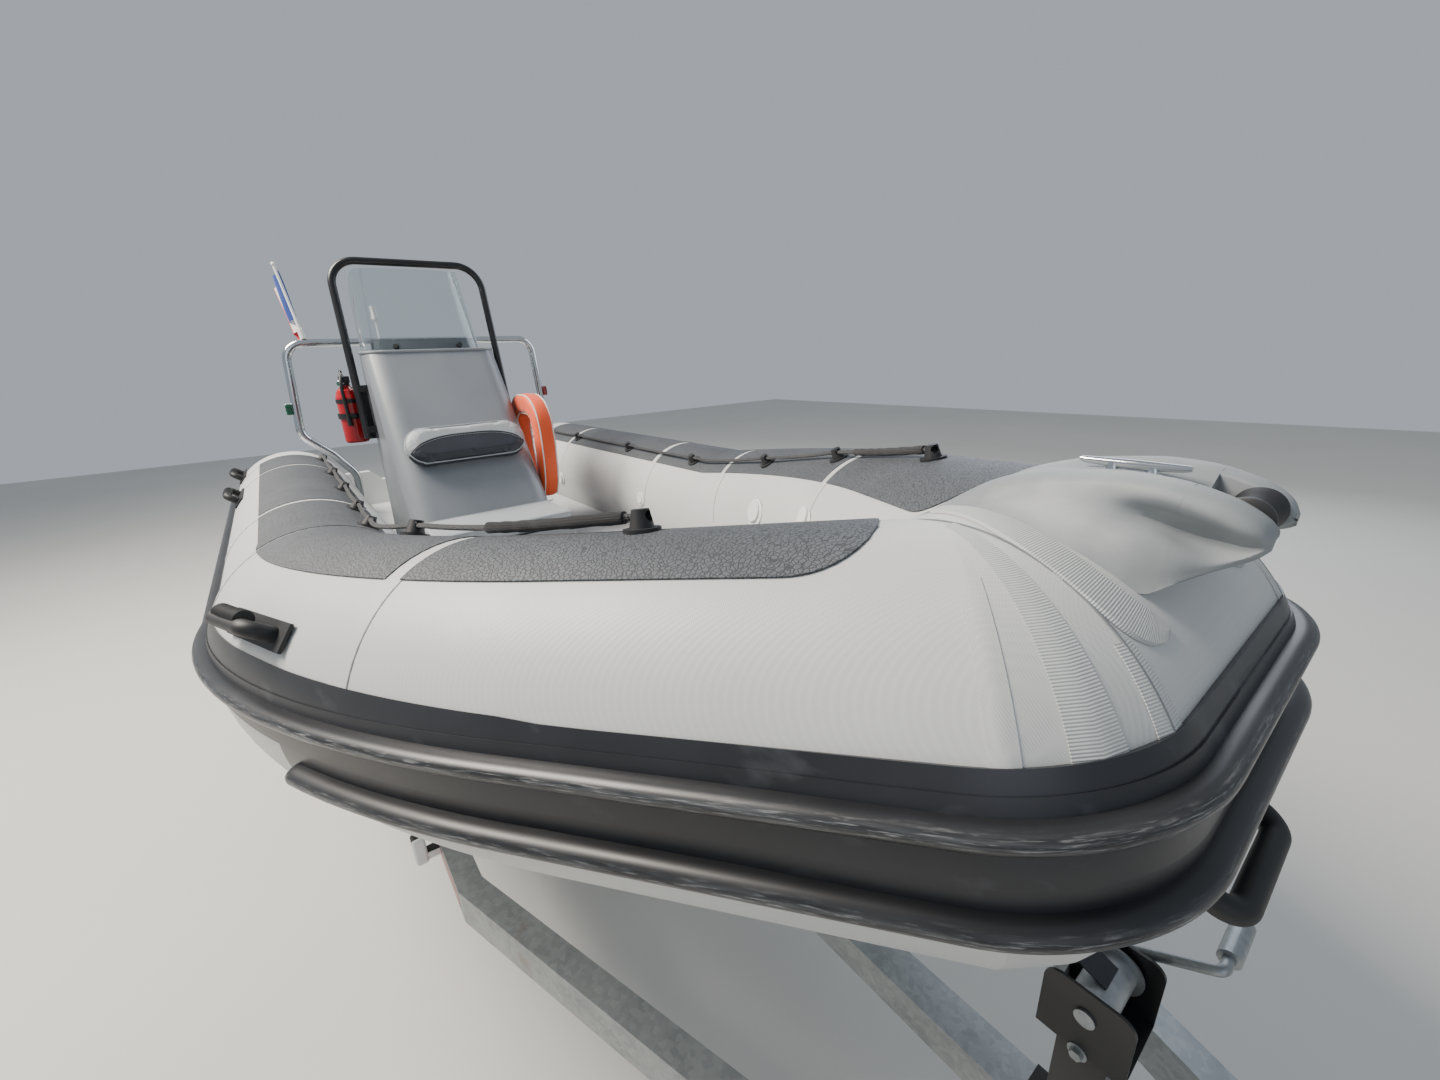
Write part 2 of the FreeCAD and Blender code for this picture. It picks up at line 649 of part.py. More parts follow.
def grip(centre, out, along, span, stand, thick, pad_size):
    """A moulded rubber handle: a foot pad, two roots and a round grip that stands off it."""
    across = out.cross(along)
    low = centre + out * (pad_size[2] / 2)
    foot = Part.makeBox(pad_size[0], pad_size[1], pad_size[2])
    foot.translate(Vector(-pad_size[0] / 2, -pad_size[1] / 2, 0))
    turn = Rotation(along, across, out, "XYZ")
    foot.Placement = Placement(centre, turn).multiply(foot.Placement)
    ends = [low - along * span / 2, low - along * span / 2 + out * stand,
            low + along * span / 2 + out * stand, low + along * span / 2]
    return fused([foot, bent_tube(ends, stand * 0.7, thick)])


def on_collar(angle, start, share):
    """A place on the starboard tube with its outward and forward directions."""
    edge = start
    spot = edge.FirstParameter + share * (edge.LastParameter - edge.FirstParameter)
    axis, ahead = edge.valueAt(spot), edge.tangentAt(spot)
    side = ahead.cross(Vector(0, 0, 1)).normalize()
    upward = side.cross(ahead)
    out = side * math.sin(rad(angle)) + upward * math.cos(rad(angle))
    return axis, out, ahead


corner_u, _ = bow_corner()
bow_axis = tilted(corner_u, 0, 0)
down_out = Vector(math.cos(rad(24)), 0, -math.sin(rad(24)))
tow = grip(bow_axis + down_out * (d.tube_radius + d.seat_gap), down_out, Vector(0, 1, 0),
           200, 62, 15, (270, 70, 5))
grips = [tow]

# columns: what part of the side axis the handle is on, and how far along
axis_edges = collar_line(0, None, None, reach=0)
level, bend = axis_edges[1], axis_edges[3]
HANDLES = [(level, 0.02), (level, 0.36), (bend, 0.52)]
for edge, share in HANDLES:
    axis, out, ahead = on_collar(52, edge, share)
    grips += both(grip(axis + out * (d.tube_radius + d.seat_gap), out, ahead, 190, 44, 14, (280, 50, 6)))
grips = [clear_of_collar(part) for part in grips]
piece("carry_handles", group([max(part.Solids, key=lambda s: s.Volume) for part in grips]))


# Lifelines: black rope through moulded holders on the inner shoulder of each tube
def axis_at(station):
    """A place on the starboard axis, by its length from the stern cone, with the forward direction."""
    for edge in axis_edges[1:]:
        if station <= edge.Length:
            spot = edge.getParameterByLength(station)
            return edge.valueAt(spot), edge.tangentAt(spot)
        station -= edge.Length
    raise ValueError("the station is past the bow")


def around(station, angle, reach):
    """A place off the starboard tube: its station, its angle from the top, its distance from the axis."""
    axis, ahead = axis_at(station)
    side = ahead.cross(Vector(0, 0, 1)).normalize()
    out = side * math.sin(rad(angle)) + side.cross(ahead) * math.cos(rad(angle))
    return axis + out * reach, out, ahead


# columns: station of each holder from the stern cone, angle from the tube's top
LINE_STARBOARD = [(286, -31), (838, -31), (1300, -31), (1725, -31), (2047, -31), (2700, -22), (3374, -9)]
LINE_PORT = [(260, -31), (688, -31), (1316, -31), (1900, -31), (2478, -31), (2920, -22), (3374, -9)]


def line_holder(station, angle):
    sunk = 4
    foot, out, ahead = around(station, angle, d.tube_radius - sunk)
    turn = Placement(foot, Rotation(ahead, out.cross(ahead), out, "XYZ"))
    patch = Part.makeCylinder(30, 12)
    block = Part.makeCone(22, 14, d.line_stand + d.line_radius + sunk + 5)
    hole = Part.makeCylinder(d.line_radius + d.line_play, 80, Vector(-40, 0, d.line_stand + sunk), Vector(1, 0, 0))
    shape = fused([patch, block]).cut(hole)
    shape.Placement = turn
    return clear_of_collar(shape, pads)


def line_points(rows):
    """The rope's route: through each holder, slack between two of them."""
    points = []
    for (s0, a0), (s1, a1) in zip(rows, rows[1:]):
        count = max(2, math.ceil((s1 - s0) / d.line_run))
        for k in range(count):
            share = k / count
            slack = d.line_slack * math.sin(math.pi * share)
            reach = d.tube_radius + d.line_stand - slack
            points.append(around(s0 + (s1 - s0) * share, a0 + (a1 - a0) * share, reach)[0])
    points.append(around(rows[-1][0], rows[-1][1], d.tube_radius + d.line_stand)[0])
    return points


def cord(label, points, radius):
    """A cord along its route, with the widest bend that each corner has room for."""
    bends = []
    for before, corner, after in zip(points, points[1:], points[2:]):
        one, two = before - corner, after - corner
        turn = math.pi - one.getAngle(two)
        bends.append(0.45 * min(one.Length, two.Length) / math.tan(turn / 2))
    print(label, "cord radius", radius, "smallest bend radius", round(min(bends)),
          "length", round(sum((b - a).Length for a, b in zip(points, points[1:]))))
    return piece(label, bent_tube(points, 1e6, radius))


for rows, flip in ((LINE_STARBOARD, False), (LINE_PORT, True)):
    holders = [line_holder(station, angle) for station, angle in rows]
    rubber += [mirror(h) for h in holders] if flip else holders
    route = line_points(rows)
    if flip:
        route = [Vector(p.x, -p.y, p.z) for p in route]
    cord("lifeline_port" if flip else "lifeline_starboard", route, d.line_radius)

# Valves and fittings on the inner sides of the tubes
# columns: station, angle from the tube's top, radius, height
VALVES = [(647, -91, 26, 14), (1610, -84, 20, 10), (2572, -74, 38, 12), (3002, -70, 30, 14)]
for station, angle, radius, height in VALVES:
    foot, out, _ = around(station, angle, d.tube_radius - 6)
    valve = clear_of_collar(Part.makeCylinder(radius, height + 6, foot, out))
    rubber += both(valve)
piece("rubber_fittings", group([max(part.Solids, key=lambda s: s.Volume) for part in rubber]))


# Console: a hollow moulded box with rounded upright edges, a raked front and a sloping dash

# columns: share of the height, from the deck to the top
CONSOLE_LEVELS = [0.0, 0.5, 1.0]


def rounded_outline(x0, x1, half, z, corner, inset):
    """A plan outline with rounded corners, drawn in by an even wall."""
    a, b, w = x0 + inset, x1 - inset, half - inset
    r = corner - inset
    y = d.console_y
    lines = []
    corners = [(b - r, w - r, 0), (a + r, w - r, 90), (a + r, r - w, 180), (b - r, r - w, 270)]
    points = []
    for cx, cy, first in corners:
        for turn in (0, 45, 90):
            t = rad(first + turn)
            points.append(Vector(cx + r * math.cos(t), y + cy + r * math.sin(t), z))
    for k in range(4):
        one, mid, two = points[3 * k:3 * k + 3]
        nxt = points[(3 * k + 3) % 12]
        lines += [Part.Arc(one, mid, two).toShape(), Part.LineSegment(two, nxt).toShape()]
    return Part.Wire(lines)


def console_form(inset):
    wires = []
    tall = d.console_top_height - d.deck_height
    for share in CONSOLE_LEVELS:
        z = d.deck_height + share * tall - (inset if share == 1 else 0)
        front = d.console_front_x + share * (d.console_top_front_x - d.console_front_x)
        half = d.console_base_half + share * (d.console_top_half - d.console_base_half)
        rear = d.console_rear_x + share * (d.dash_rear_x - d.console_rear_x)
        wires.append(rounded_outline(rear, front, half, z, d.console_corner, inset))
    return Part.makeLoft(wires, True, True)


def dash_cut(drop):
    """What lies above the sloping dash panel."""
    top, front = d.console_top_height - drop, d.console_top_front_x - 120
    low = d.dash_rear_height - drop
    wide = 600
    outline = [(d.dash_rear_x - 200, low - 90), (front, top), (front, top + 400), (d.dash_rear_x - 200, top + 400)]
    return prism([Vector(x, d.console_y - wide, z) for x, z in outline], Vector(0, 2 * wide, 0))


console = console_form(0).cut(dash_cut(0))
inside = console_form(d.console_wall).cut(dash_cut(d.console_wall))
console = console.cut(inside)
piece("console", max(console.Solids, key=lambda s: s.Volume))


def face_x(z):
    """Where the console's front face is at a height."""
    share = (z - d.deck_height) / (d.console_top_height - d.deck_height)
    return d.console_front_x + share * (d.console_top_front_x - d.console_front_x)


def on_console(x, y, z):
    return Vector(x, d.console_y + y, z)


def box_on_console(x0, x1, half, z0, z1):
    return box(x0, x1, d.console_y - half, d.console_y + half, z0, z1)


# Front seat: a moulded box against the console's face, with its cushion
seat_top = d.front_seat_height - d.front_cushion
console_block = console_form(-d.seat_gap)
seat_box = box_on_console(d.console_top_front_x, d.front_seat_x, d.seat_half, d.deck_height, seat_top)
seat_box = seat_box.makeFillet(25, [e for e in seat_box.Edges if e.BoundBox.ZLength > 50])
seat_inner = box_on_console(d.console_top_front_x, d.front_seat_x - 12, d.seat_half - 12,
                            d.deck_height, seat_top - 12)
seat_box = seat_box.cut(seat_inner).cut(console_block)
front_box = max(seat_box.Solids, key=lambda s: s.Volume)
cushion = box_on_console(d.console_top_front_x, d.front_seat_x, d.seat_half, seat_top + d.seat_gap,
                         d.front_seat_height)
cushion = cushion.makeFillet(22, [e for e in cushion.Edges if e.BoundBox.ZMax > d.front_seat_height - 1])
cushion = cushion.cut(console_block)
front_cushion = max(cushion.Solids, key=lambda s: s.Volume)


def face_frame(z, y=0):
    """A place on the console's front face with its outward direction."""
    slope = (d.console_front_x - d.console_top_front_x) / (d.console_top_height - d.deck_height)
    out = Vector(1, 0, slope).normalize()
    return on_console(face_x(z), y, z), out


def backrest():
    centre, out = face_frame(1455)
    up = Vector(-out.z, 0, out.x)
    w, h = d.backrest_width / 2, d.backrest_height / 2
    arcs = []
    left, right = centre + Vector(0, -w + h, 0), centre + Vector(0, w - h, 0)
    top = [left + up * h, right + up * h]
    low = [left - up * h, right - up * h]
    arcs = [Part.LineSegment(top[0], top[1]).toShape(),
            Part.Arc(top[1], right + Vector(0, h, 0), low[1]).toShape(),
            Part.LineSegment(low[1], low[0]).toShape(),
            Part.Arc(low[0], left - Vector(0, h, 0), top[0]).toShape()]
    pad = Part.Face(Part.Wire(arcs)).extrude(out * d.backrest_thick)
    pad.translate(out * d.seat_gap)
    front = [e for e in pad.Edges if (e.CenterOfMass - centre).dot(out) > d.backrest_thick * 0.9]
    return pad.makeFillet(28, front)


piece("front_cushions", group([front_cushion, backrest()]))


# Console rail: a black tube hoop round the screen, held by a foot block at each side
def rail_points():
    h, z, foot = d.rail_half, d.rail_top_height, d.rail_foot_height
    return [on_console(d.rail_foot_x, -h, foot), on_console(d.rail_top_x, -h + 12, z),
            on_console(d.rail_top_x, h - 12, z), on_console(d.rail_foot_x, h, foot)]


piece("console_rail", bent_tube(rail_points(), d.rail_corner, d.rail_radius, d.rail_radius - 2))


def rail_brackets():
    blocks = []
    rail_seat = bent_tube(rail_points(), d.rail_corner, d.rail_radius + d.seat_gap)
    for side in (-1, 1):
        for z in (d.rail_foot_height + 40, d.rail_foot_height + 220):
            share = (z - d.rail_foot_height) / (d.rail_top_height - d.rail_foot_height)
            x = d.rail_foot_x + share * (d.rail_top_x - d.rail_foot_x)
            y = side * (d.rail_half - 12 * share)
            wall = box(x - 18, x + 18, d.console_y + min(y, side * 200), d.console_y + max(y, side * 200),
                       z - 14, z + 14)
            blocks.append(wall.cut(rail_seat).cut(console_block))
    return group([max(b.Solids, key=lambda s: s.Volume) for b in blocks])


console_fittings = rail_brackets().Solids


# Windscreen: one clear sheet, bent round the console's top
def screen():
    top, low = d.screen_top_height, d.console_top_height - 60
    half_low, half_top = d.console_top_half - 25, d.console_top_half - 45

    def arc(x, half, z, inset):
        w, back = half - inset, 210 - inset
        nose = x - inset
        return [on_console(x - back - 60, -w, z), on_console(x - 40 - inset, -w * 0.82, z), on_console(nose, 0, z),
                on_console(x - 40 - inset, w * 0.82, z), on_console(x - back - 60, w, z)]

    def sheet_outline(x, half, z):
        a, b = arc(x, half, z, 0), arc(x, half, z, d.screen_thick)
        return Part.Wire([Part.LineSegment(a[0], a[1]).toShape(), Part.Arc(a[1], a[2], a[3]).toShape(),
                          Part.LineSegment(a[3], a[4]).toShape(), Part.LineSegment(a[4], b[4]).toShape(),
                          Part.LineSegment(b[4], b[3]).toShape(), Part.Arc(b[3], b[2], b[1]).toShape(),
                          Part.LineSegment(b[1], b[0]).toShape(), Part.LineSegment(b[0], a[0]).toShape()])

    return Part.makeLoft([sheet_outline(d.console_top_front_x - 10, half_low, low),
                          sheet_outline(d.screen_top_x, half_top, top)], True, True)


glass = screen().cut(console_block.cut(dash_cut(-d.seat_gap)))
piece("windscreen", max(glass.Solids, key=lambda s: s.Volume))


# Helm: steering wheel on a tilted hub, throttle box, helm seat
tilt_way = Vector(-math.cos(rad(d.wheel_tilt)), 0, math.sin(rad(d.wheel_tilt)))
helm_centre = on_console(d.dash_rear_x - 95, 0, d.wheel_centre_height)


def steering_wheel():
    ring = Part.makeTorus(d.wheel_rim_radius, d.wheel_rim_tube, helm_centre, tilt_way)
    hub = Part.makeCylinder(38, 34, helm_centre - tilt_way * 17, tilt_way)
    spokes = []
    across = Vector(0, 1, 0)
    for turn in (90, 210, 330):
        way = Rotation(tilt_way, turn).multVec(across)
        spokes.append(rod(helm_centre + way * 20, helm_centre + way * d.wheel_rim_radius, 9))
    return fused([ring, hub] + spokes)


piece("steering_wheel", steering_wheel())
hub_back = helm_centre - tilt_way * (17 + d.seat_gap)
column = Part.makeCylinder(32, 200, hub_back, tilt_way * -1).cut(console_block)
console_fittings.append(max(column.Solids, key=lambda s: (s.BoundBox.XMin < d.console_rear_x, s.Volume)))


def throttle():
    x, z = d.dash_rear_x + 42, 1640
    side = d.console_y + d.console_top_half
    body = box(x - 33, x + 33, side - 60, side + 62, z - 60, z + 50).cut(console_block)
    body = max(body.Solids, key=lambda s: s.BoundBox.YMax)
    lever = bent_tube([Vector(x, side + 45, z + 20), Vector(x - 10, side + 50, z + 130),
                       Vector(x - 10, side + 5, z + 165)], 30, 9)
    return fused([body, lever])


console_fittings.append(throttle())

helm_top = d.helm_height - d.helm_cushion
helm_end = d.helm_x + d.helm_length
base = box_on_console(d.helm_x, helm_end, d.helm_half, d.deck_height, helm_top)
base = base.makeFillet(40, [e for e in base.Edges if e.BoundBox.ZLength > 50])
hollow = box_on_console(d.helm_x + 14, helm_end - 14, d.helm_half - 14, d.deck_height, helm_top - 14)
piece("seat_boxes", group([front_box, base.cut(hollow)]))
cushion = box_on_console(d.helm_x + 30, helm_end, d.helm_half, helm_top + d.seat_gap, d.helm_height)
cushion = cushion.makeFillet(30, [e for e in cushion.Edges if e.BoundBox.ZMin > helm_top + 1 or e.BoundBox.ZLength > 10])
back = box_on_console(d.helm_x - 50, d.helm_x + 29.7, d.helm_half - 5, helm_top - 60, d.helm_height + d.helm_back_height)
back = back.makeFillet(28, back.Edges)
back = back.cut(box_on_console(d.helm_x - 0.3, helm_end, d.helm_half + 5, d.deck_height, helm_top + 0.3))
piece("helm_cushions", group([cushion, back]))


# Stern arch of polished tube, with its lamps, flag staff and flag
def arch_points():
    """The port leg's corners from the deck up, then the starboard leg's down."""
    x, foot = d.arch_x, d.arch_foot_half
    knee, knee_z = d.arch_knee_half, d.arch_knee_height
    leg = [(foot, d.deck_height + d.arch_flange_thick + d.seat_gap), (foot, knee_z - 250),
           (foot + 90, knee_z - 120), (knee, knee_z), (d.arch_half, d.arch_top)]
    return [Vector(x, y, z) for y, z in leg] + [Vector(x, -y, z) for y, z in reversed(leg)]


piece("stern_arch", bent_tube(arch_points(), d.arch_corner, d.arch_radius, d.arch_radius - 2))


def arch_foot():
    foot = Vector(d.arch_x, d.arch_foot_half, d.deck_height)
    flange = Part.makeCylinder(d.arch_flange_radius, d.arch_flange_thick, foot)
    post = Part.makeCylinder(d.arch_radius + 6, d.arch_socket, foot)
    bore = Part.makeCylinder(d.arch_radius + d.seat_gap, 100, foot + Vector(0, 0, d.arch_flange_thick))
    return fused([flange, post]).cut(bore)


arch_fittings = both(arch_foot())


def lamp_pod(centre, size):
    pod = Part.makeBox(*size, centre - Vector(*size) * 0.5)
    return pod.makeFillet(min(size) * 0.25, pod.Edges)


# Navigation lamps on the arch legs, the white all round lamp and the flag staff on its top bar
LAMP_SIZE = (42, 34, 62)
lamp_y = (d.arch_half + d.arch_knee_half) / 2 + d.arch_radius + LAMP_SIZE[1] / 2
arch_seat = bent_tube(arch_points(), d.arch_corner, d.arch_radius + d.seat_gap)
arch_fittings += [lamp_pod(Vector(d.arch_x, side * lamp_y, 1610), LAMP_SIZE).cut(arch_seat) for side in (-1, 1)]

bar_top = d.arch_top + d.arch_radius + d.seat_gap
mast = Vector(d.arch_x, -230, bar_top)
white_lamp = fused([rod(mast, mast + Vector(0, 0, 110), 7), Part.makeCylinder(24, 12, mast + Vector(0, 0, 100)),
                    Part.makeCylinder(20, 44, mast + Vector(0, 0, 112)),
                    Part.makeCylinder(23, 10, mast + Vector(0, 0, 156))])
piece("arch_fittings", group(arch_fittings + [white_lamp]))

staff_foot = Vector(d.arch_x, -575, bar_top)
staff_way = Vector(-0.22, -0.12, 1).normalize()
STAFF_LENGTH = 390
socket = Part.makeCylinder(15, 46, staff_foot, staff_way)
socket = fused([socket, Part.makeCylinder(15, 8, staff_foot, Vector(0, 0, 1))]).cut(box(
    d.arch_x - 50, d.arch_x + 50, -700, -500, bar_top - 60, bar_top))
staff = rod(staff_foot + staff_way * 20, staff_foot + staff_way * STAFF_LENGTH, 7)
piece("flag_staff", fused([socket, staff, Part.makeSphere(11, staff_foot + staff_way * STAFF_LENGTH)]))

# The ensign hangs limp from the staff: one closed folded shape
flag_top = staff_foot + staff_way * (STAFF_LENGTH - 12)
flag_low = staff_foot + staff_way * (STAFF_LENGTH - 262)
FLAG_FOLDS = [(-6.7, 0), (-62, -16), (-100, 12), (-128, -10)]


def flag_outline(hoist, drop, spread):
    front = [hoist + Vector(x * spread, y - 3, 0) for x, y in FLAG_FOLDS]
    rear = [hoist + Vector(x * spread, y + 3, 0) for x, y in reversed(FLAG_FOLDS)]
    return polygon([p - Vector(0, 0, drop) for p in front + rear])


piece("ensign", Part.makeLoft([flag_outline(flag_low, 70, 0.72), flag_outline(flag_top, 4, 1.0)], True, True))


# Fire extinguisher in its bracket on the console's starboard side
ext_x, ext_low = 1105, 1480
ext_y = d.console_y - d.console_base_half - 62


def extinguisher():
    foot = Vector(ext_x, ext_y, ext_low)
    outline = [(0, 0), (44, 0), (50, 8), (50, 205), (40, 235), (20, 252), (18, 270), (0, 270)]
    body = Part.Face(polygon([foot + Vector(r, 0, z) for r, z in outline])).revolve(foot, Vector(0, 0, 1), 360)
    head = [box(ext_x - 22, ext_x + 22, ext_y - 20, ext_y + 20, ext_low + 268, ext_low + 296),
            bent_tube([Vector(ext_x + 10, ext_y, ext_low + 285), Vector(ext_x - 62, ext_y, ext_low + 300),
                       Vector(ext_x - 78, ext_y, ext_low + 322)], 20, 6),
            bent_tube([Vector(ext_x + 10, ext_y, ext_low + 280), Vector(ext_x - 40, ext_y, ext_low + 278),
                       Vector(ext_x - 74, ext_y, ext_low + 262)], 20, 6)]
    return fused([body] + head)


piece("fire_extinguisher", extinguisher())
strap_gap = d.seat_gap
bracket = box(ext_x - 30, ext_x + 30, ext_y + 46, d.console_y - 150, ext_low + 10, ext_low + 250)
band = Part.makeCylinder(56, 24, Vector(ext_x, ext_y, ext_low + 110))
bracket = fused([bracket, band]).cut(Part.makeCylinder(50 + strap_gap, 400, Vector(ext_x, ext_y, ext_low - 50)))
bracket = bracket.cut(console_block)
console_fittings.append(max(bracket.Solids, key=lambda s: (s.BoundBox.YMin < ext_y, s.Volume)))
piece("console_fittings", group(console_fittings))


# Horseshoe lifebuoy in its cover, hung on the console's port side
def lifebuoy():
    y, x, z = d.console_y + d.console_base_half + 48.3, 1446, 1395
    tube = 52
    path = bent_line([Vector(x - 90, y, z - 212), Vector(x - 150, y, z - 60), Vector(x - 150, y, z + 214),
                      Vector(x + 150, y, z + 214), Vector(x + 150, y, z - 60),
                      Vector(x + 90, y, z - 212)], 140)
    first = path.Edges[0]
    ring = Part.Wire(Part.Circle(first.valueAt(first.FirstParameter), first.tangentAt(first.FirstParameter),
                                 tube).toShape())
    return path.makePipeShell([ring], True, False, 1).cut(console_block)


piece("lifebuoy", lifebuoy())


# Outboard engine: transom clamp, swivel, cowl with its leg, and the propeller
def slab(points, half, y=0):
    return prism([Vector(x, y - half, z) for x, z in points], Vector(0, 2 * half, 0))


def engine_clamp():
    cheek = slab([(-98, 1190), (-40, 1195), (d.transom_thick + 26, d.engine_notch_height + 26),
                  (d.transom_thick + 26, 1010), (d.transom_thick + 0.3, 1010),
                  (d.transom_thick + 0.3, d.engine_notch_height + 0.3), (-0.3, d.engine_notch_height + 0.3),
                  (-0.3, 900), (-30, 900), (-98, 1130)], d.clamp_plate / 2)
    cheeks = []
    for side in (-1, 1):
        one = cheek.copy()
        one.translate(Vector(0, side * (d.clamp_half - d.clamp_plate / 2), 0))
        cheeks.append(one)
    bridge = box(-30, -0.3, -d.clamp_half, d.clamp_half, 900, 940)
    pin = rod(Vector(d.tilt_x, -d.clamp_half - 22, d.tilt_height), Vector(d.tilt_x, d.clamp_half + 22, d.tilt_height),
              d.tilt_pin)
    return fused(cheeks + [bridge, pin])


piece("engine_clamp", engine_clamp())


def engine_swivel():
    half = d.clamp_half - d.clamp_plate - 4
    barrel = Part.makeCylinder(34, d.swivel_high - d.swivel_low, Vector(d.steer_x, 0, d.swivel_low))
    eye = rod(Vector(d.tilt_x, -half, d.tilt_height), Vector(d.tilt_x, half, d.tilt_height), 26)
    web = box(d.steer_x, d.tilt_x, -half * 0.7, half * 0.7, d.swivel_high - 60, d.swivel_high)
    body = fused([barrel, eye, web])
    pin = rod(Vector(d.tilt_x, -200, d.tilt_height), Vector(d.tilt_x, 200, d.tilt_height),
              d.tilt_pin + d.running_gap)
    bore = Part.makeCylinder(d.steer_pin + d.running_gap, 600, Vector(d.steer_x, 0, d.swivel_low - 100))
    return body.cut(pin).cut(bore)


piece("engine_swivel", engine_swivel())


# columns: height, front x, rear x, half width
COWL_LEVELS = [(0, 40, 50, 0.80), (0.12, 0, 10, 1.0), (0.55, 8, 0, 0.98), (0.86, 60, 40, 0.86), (1.0, 130, 120, 0.62)]


def cowl():
    tall = d.cowl_top - d.cowl_low
    rings = []
    for share, front_in, rear_in, wide in COWL_LEVELS:
        z = d.cowl_low + share * tall
        x0, x1, w = d.cowl_rear_x + rear_in, d.cowl_front_x - front_in, d.cowl_half * wide
        r = min(w * 0.6, 90)
        outline = [(x1, -w + r), (x1, w - r), (x1 - r, w), (x0 + r, w), (x0, w - r), (x0, -w + r),
                   (x0 + r, -w), (x1 - r, -w)]
        rings.append(polygon([Vector(x, y, z) for x, y in outline]))
    return Part.makeLoft(rings, True, True)


piece("engine_cowl", cowl())

# columns: height, front x, rear x, half width of the leg
LEG_LEVELS = [(d.cowl_low - 0.3, -130, -520, 95), (1215, -150, -470, 80), (1150, -196, -420, 50),
              (960, -205, -395, 38), (d.vent_plate_height, -215, -390, 30), (565, -225, -385, 20)]


def leg_ring(z, front, rear, half):
    nose = (front - rear) * 0.3
    points = [(front, 0), (front - nose, half), (rear + nose, half), (rear, half * 0.4)]
    points += [(x, -y) for x, y in reversed(points[1:])]
    return polygon([Vector(x, y, z) for x, y in points])


def gearcase():
    axis = Vector(0, 0, d.prop_height)
    outline = [(-196, 0), (-212, 24), (-250, 38), (-330, 44), (-430, 42), (d.prop_x + 47, 36), (d.prop_x + 47, 0)]
    form = Part.Face(polygon([axis + Vector(x, 0, r) for x, r in outline]))
    return form.revolve(axis, Vector(1, 0, 0), 360)


def engine_leg():
    leg = Part.makeLoft([leg_ring(*row) for row in LEG_LEVELS], True, True)
    plate = prism([Vector(x, y, d.vent_plate_height) for x, y in
                   ((-190, 0), (-230, 70), (-520, 95), (-580, 60), (-580, -60), (-520, -95), (-230, -70))],
                  Vector(0, 0, 10))
    skeg = slab([(-250, d.prop_height - 20), (-420, d.prop_height - 20), (-440, d.prop_height - 165),
                 (-400, d.prop_height - 170)], 6)
    yokes = [box(-240, d.steer_x, -24, 24, z, z + 24) for z in (d.swivel_low - 26, d.swivel_high + 2)]
    rounds = [Part.makeCylinder(30, 24, Vector(d.steer_x, 0, z)) for z in (d.swivel_low - 26, d.swivel_high + 2)]
    pin = Part.makeCylinder(d.steer_pin, d.swivel_high - d.swivel_low + 40,
                            Vector(d.steer_x, 0, d.swivel_low - 20))
    shaft = rod(Vector(d.prop_x + 60, 0, d.prop_height), Vector(d.prop_x - 58, 0, d.prop_height), d.prop_shaft)
    return fused([leg, plate, skeg, pin, gearcase(), shaft] + yokes + rounds)


piece("engine_leg", engine_leg())

# columns: radius, half chord, pitch turn in degrees, half thickness of a propeller blade
BLADE_SECTIONS = [(26, 30, 62, 5), (80, 62, 40, 4), (125, 60, 28, 3), (148, 30, 24, 1.5)]


def propeller():
    x, z = d.prop_x, d.prop_height
    centre = Vector(x, 0, z)
    hub = Part.makeCylinder(34, 84, centre - Vector(42, 0, 0), Vector(1, 0, 0))
    bore = Part.makeCylinder(d.prop_shaft + d.running_gap, 100, centre - Vector(50, 0, 0), Vector(1, 0, 0))
    rings = []
    for radius, chord, turn, thick in BLADE_SECTIONS:
        ahead, round_it = math.sin(rad(turn)), math.cos(rad(turn))
        along = Vector(ahead, round_it, 0)
        off = Vector(round_it, -ahead, 0)
        base = centre + Vector(0, 0, radius)
        rings.append(polygon([base - along * chord, base - off * thick, base + along * chord,
                              base + off * thick]))
    blade = Part.makeLoft(rings, True, True)
    blades = []
    for turn in (0, 120, 240):
        one = blade.copy()
        one.rotate(centre, Vector(1, 0, 0), turn)
        blades.append(one)
    return fused([hub] + blades).cut(bore)


piece("propeller", propeller())


# Trailer frame: two side beams that draw together to the coupling, a keel beam, cross members

def bound_box(name, x0, x1, y0, y1, z0, z1):
    """A block between six planes, each given as an expression on the sheet."""
    item = doc.addObject("Part::Box", name)
    for size, low, high in (("Length", x0, x1), ("Width", y0, y1), ("Height", z0, z1)):
        item.setExpression(size, "(%s) - (%s)" % (high, low))
    item.setExpression("Placement.Base.x", "dims.world_shift + (%s)" % x0)
    item.setExpression("Placement.Base.y", y0)
    item.setExpression("Placement.Base.z", z0)
    return item


TURNS = {"x": Rotation(Vector(0, 1, 0), 90), "y": Rotation(Vector(1, 0, 0), -90), "z": Rotation()}


def bound_rod(name, along, place, radius, length):
    """A round rod from a place along an axis, its sizes given as expressions on the sheet."""
    item = doc.addObject("Part::Cylinder", name)
    item.Placement = Placement(Vector(), TURNS[along])
    item.setExpression("Radius", radius)
    item.setExpression("Height", length)
    item.setExpression("Placement.Base.x", "dims.world_shift + (%s)" % place[0])
    item.setExpression("Placement.Base.y", place[1])
    item.setExpression("Placement.Base.z", place[2])
    return item


def less(name, base, tool):
    item = doc.addObject("Part::Cut", name)
    item.Base, item.Tool = base, tool
    return item


def joined(name, items):
    item = doc.addObject("Part::MultiFuse", name)
    item.Shapes = items
    return item


def gathered(name, items):
    item = doc.addObject("Part::Compound", name)
    item.Links = items
    return item


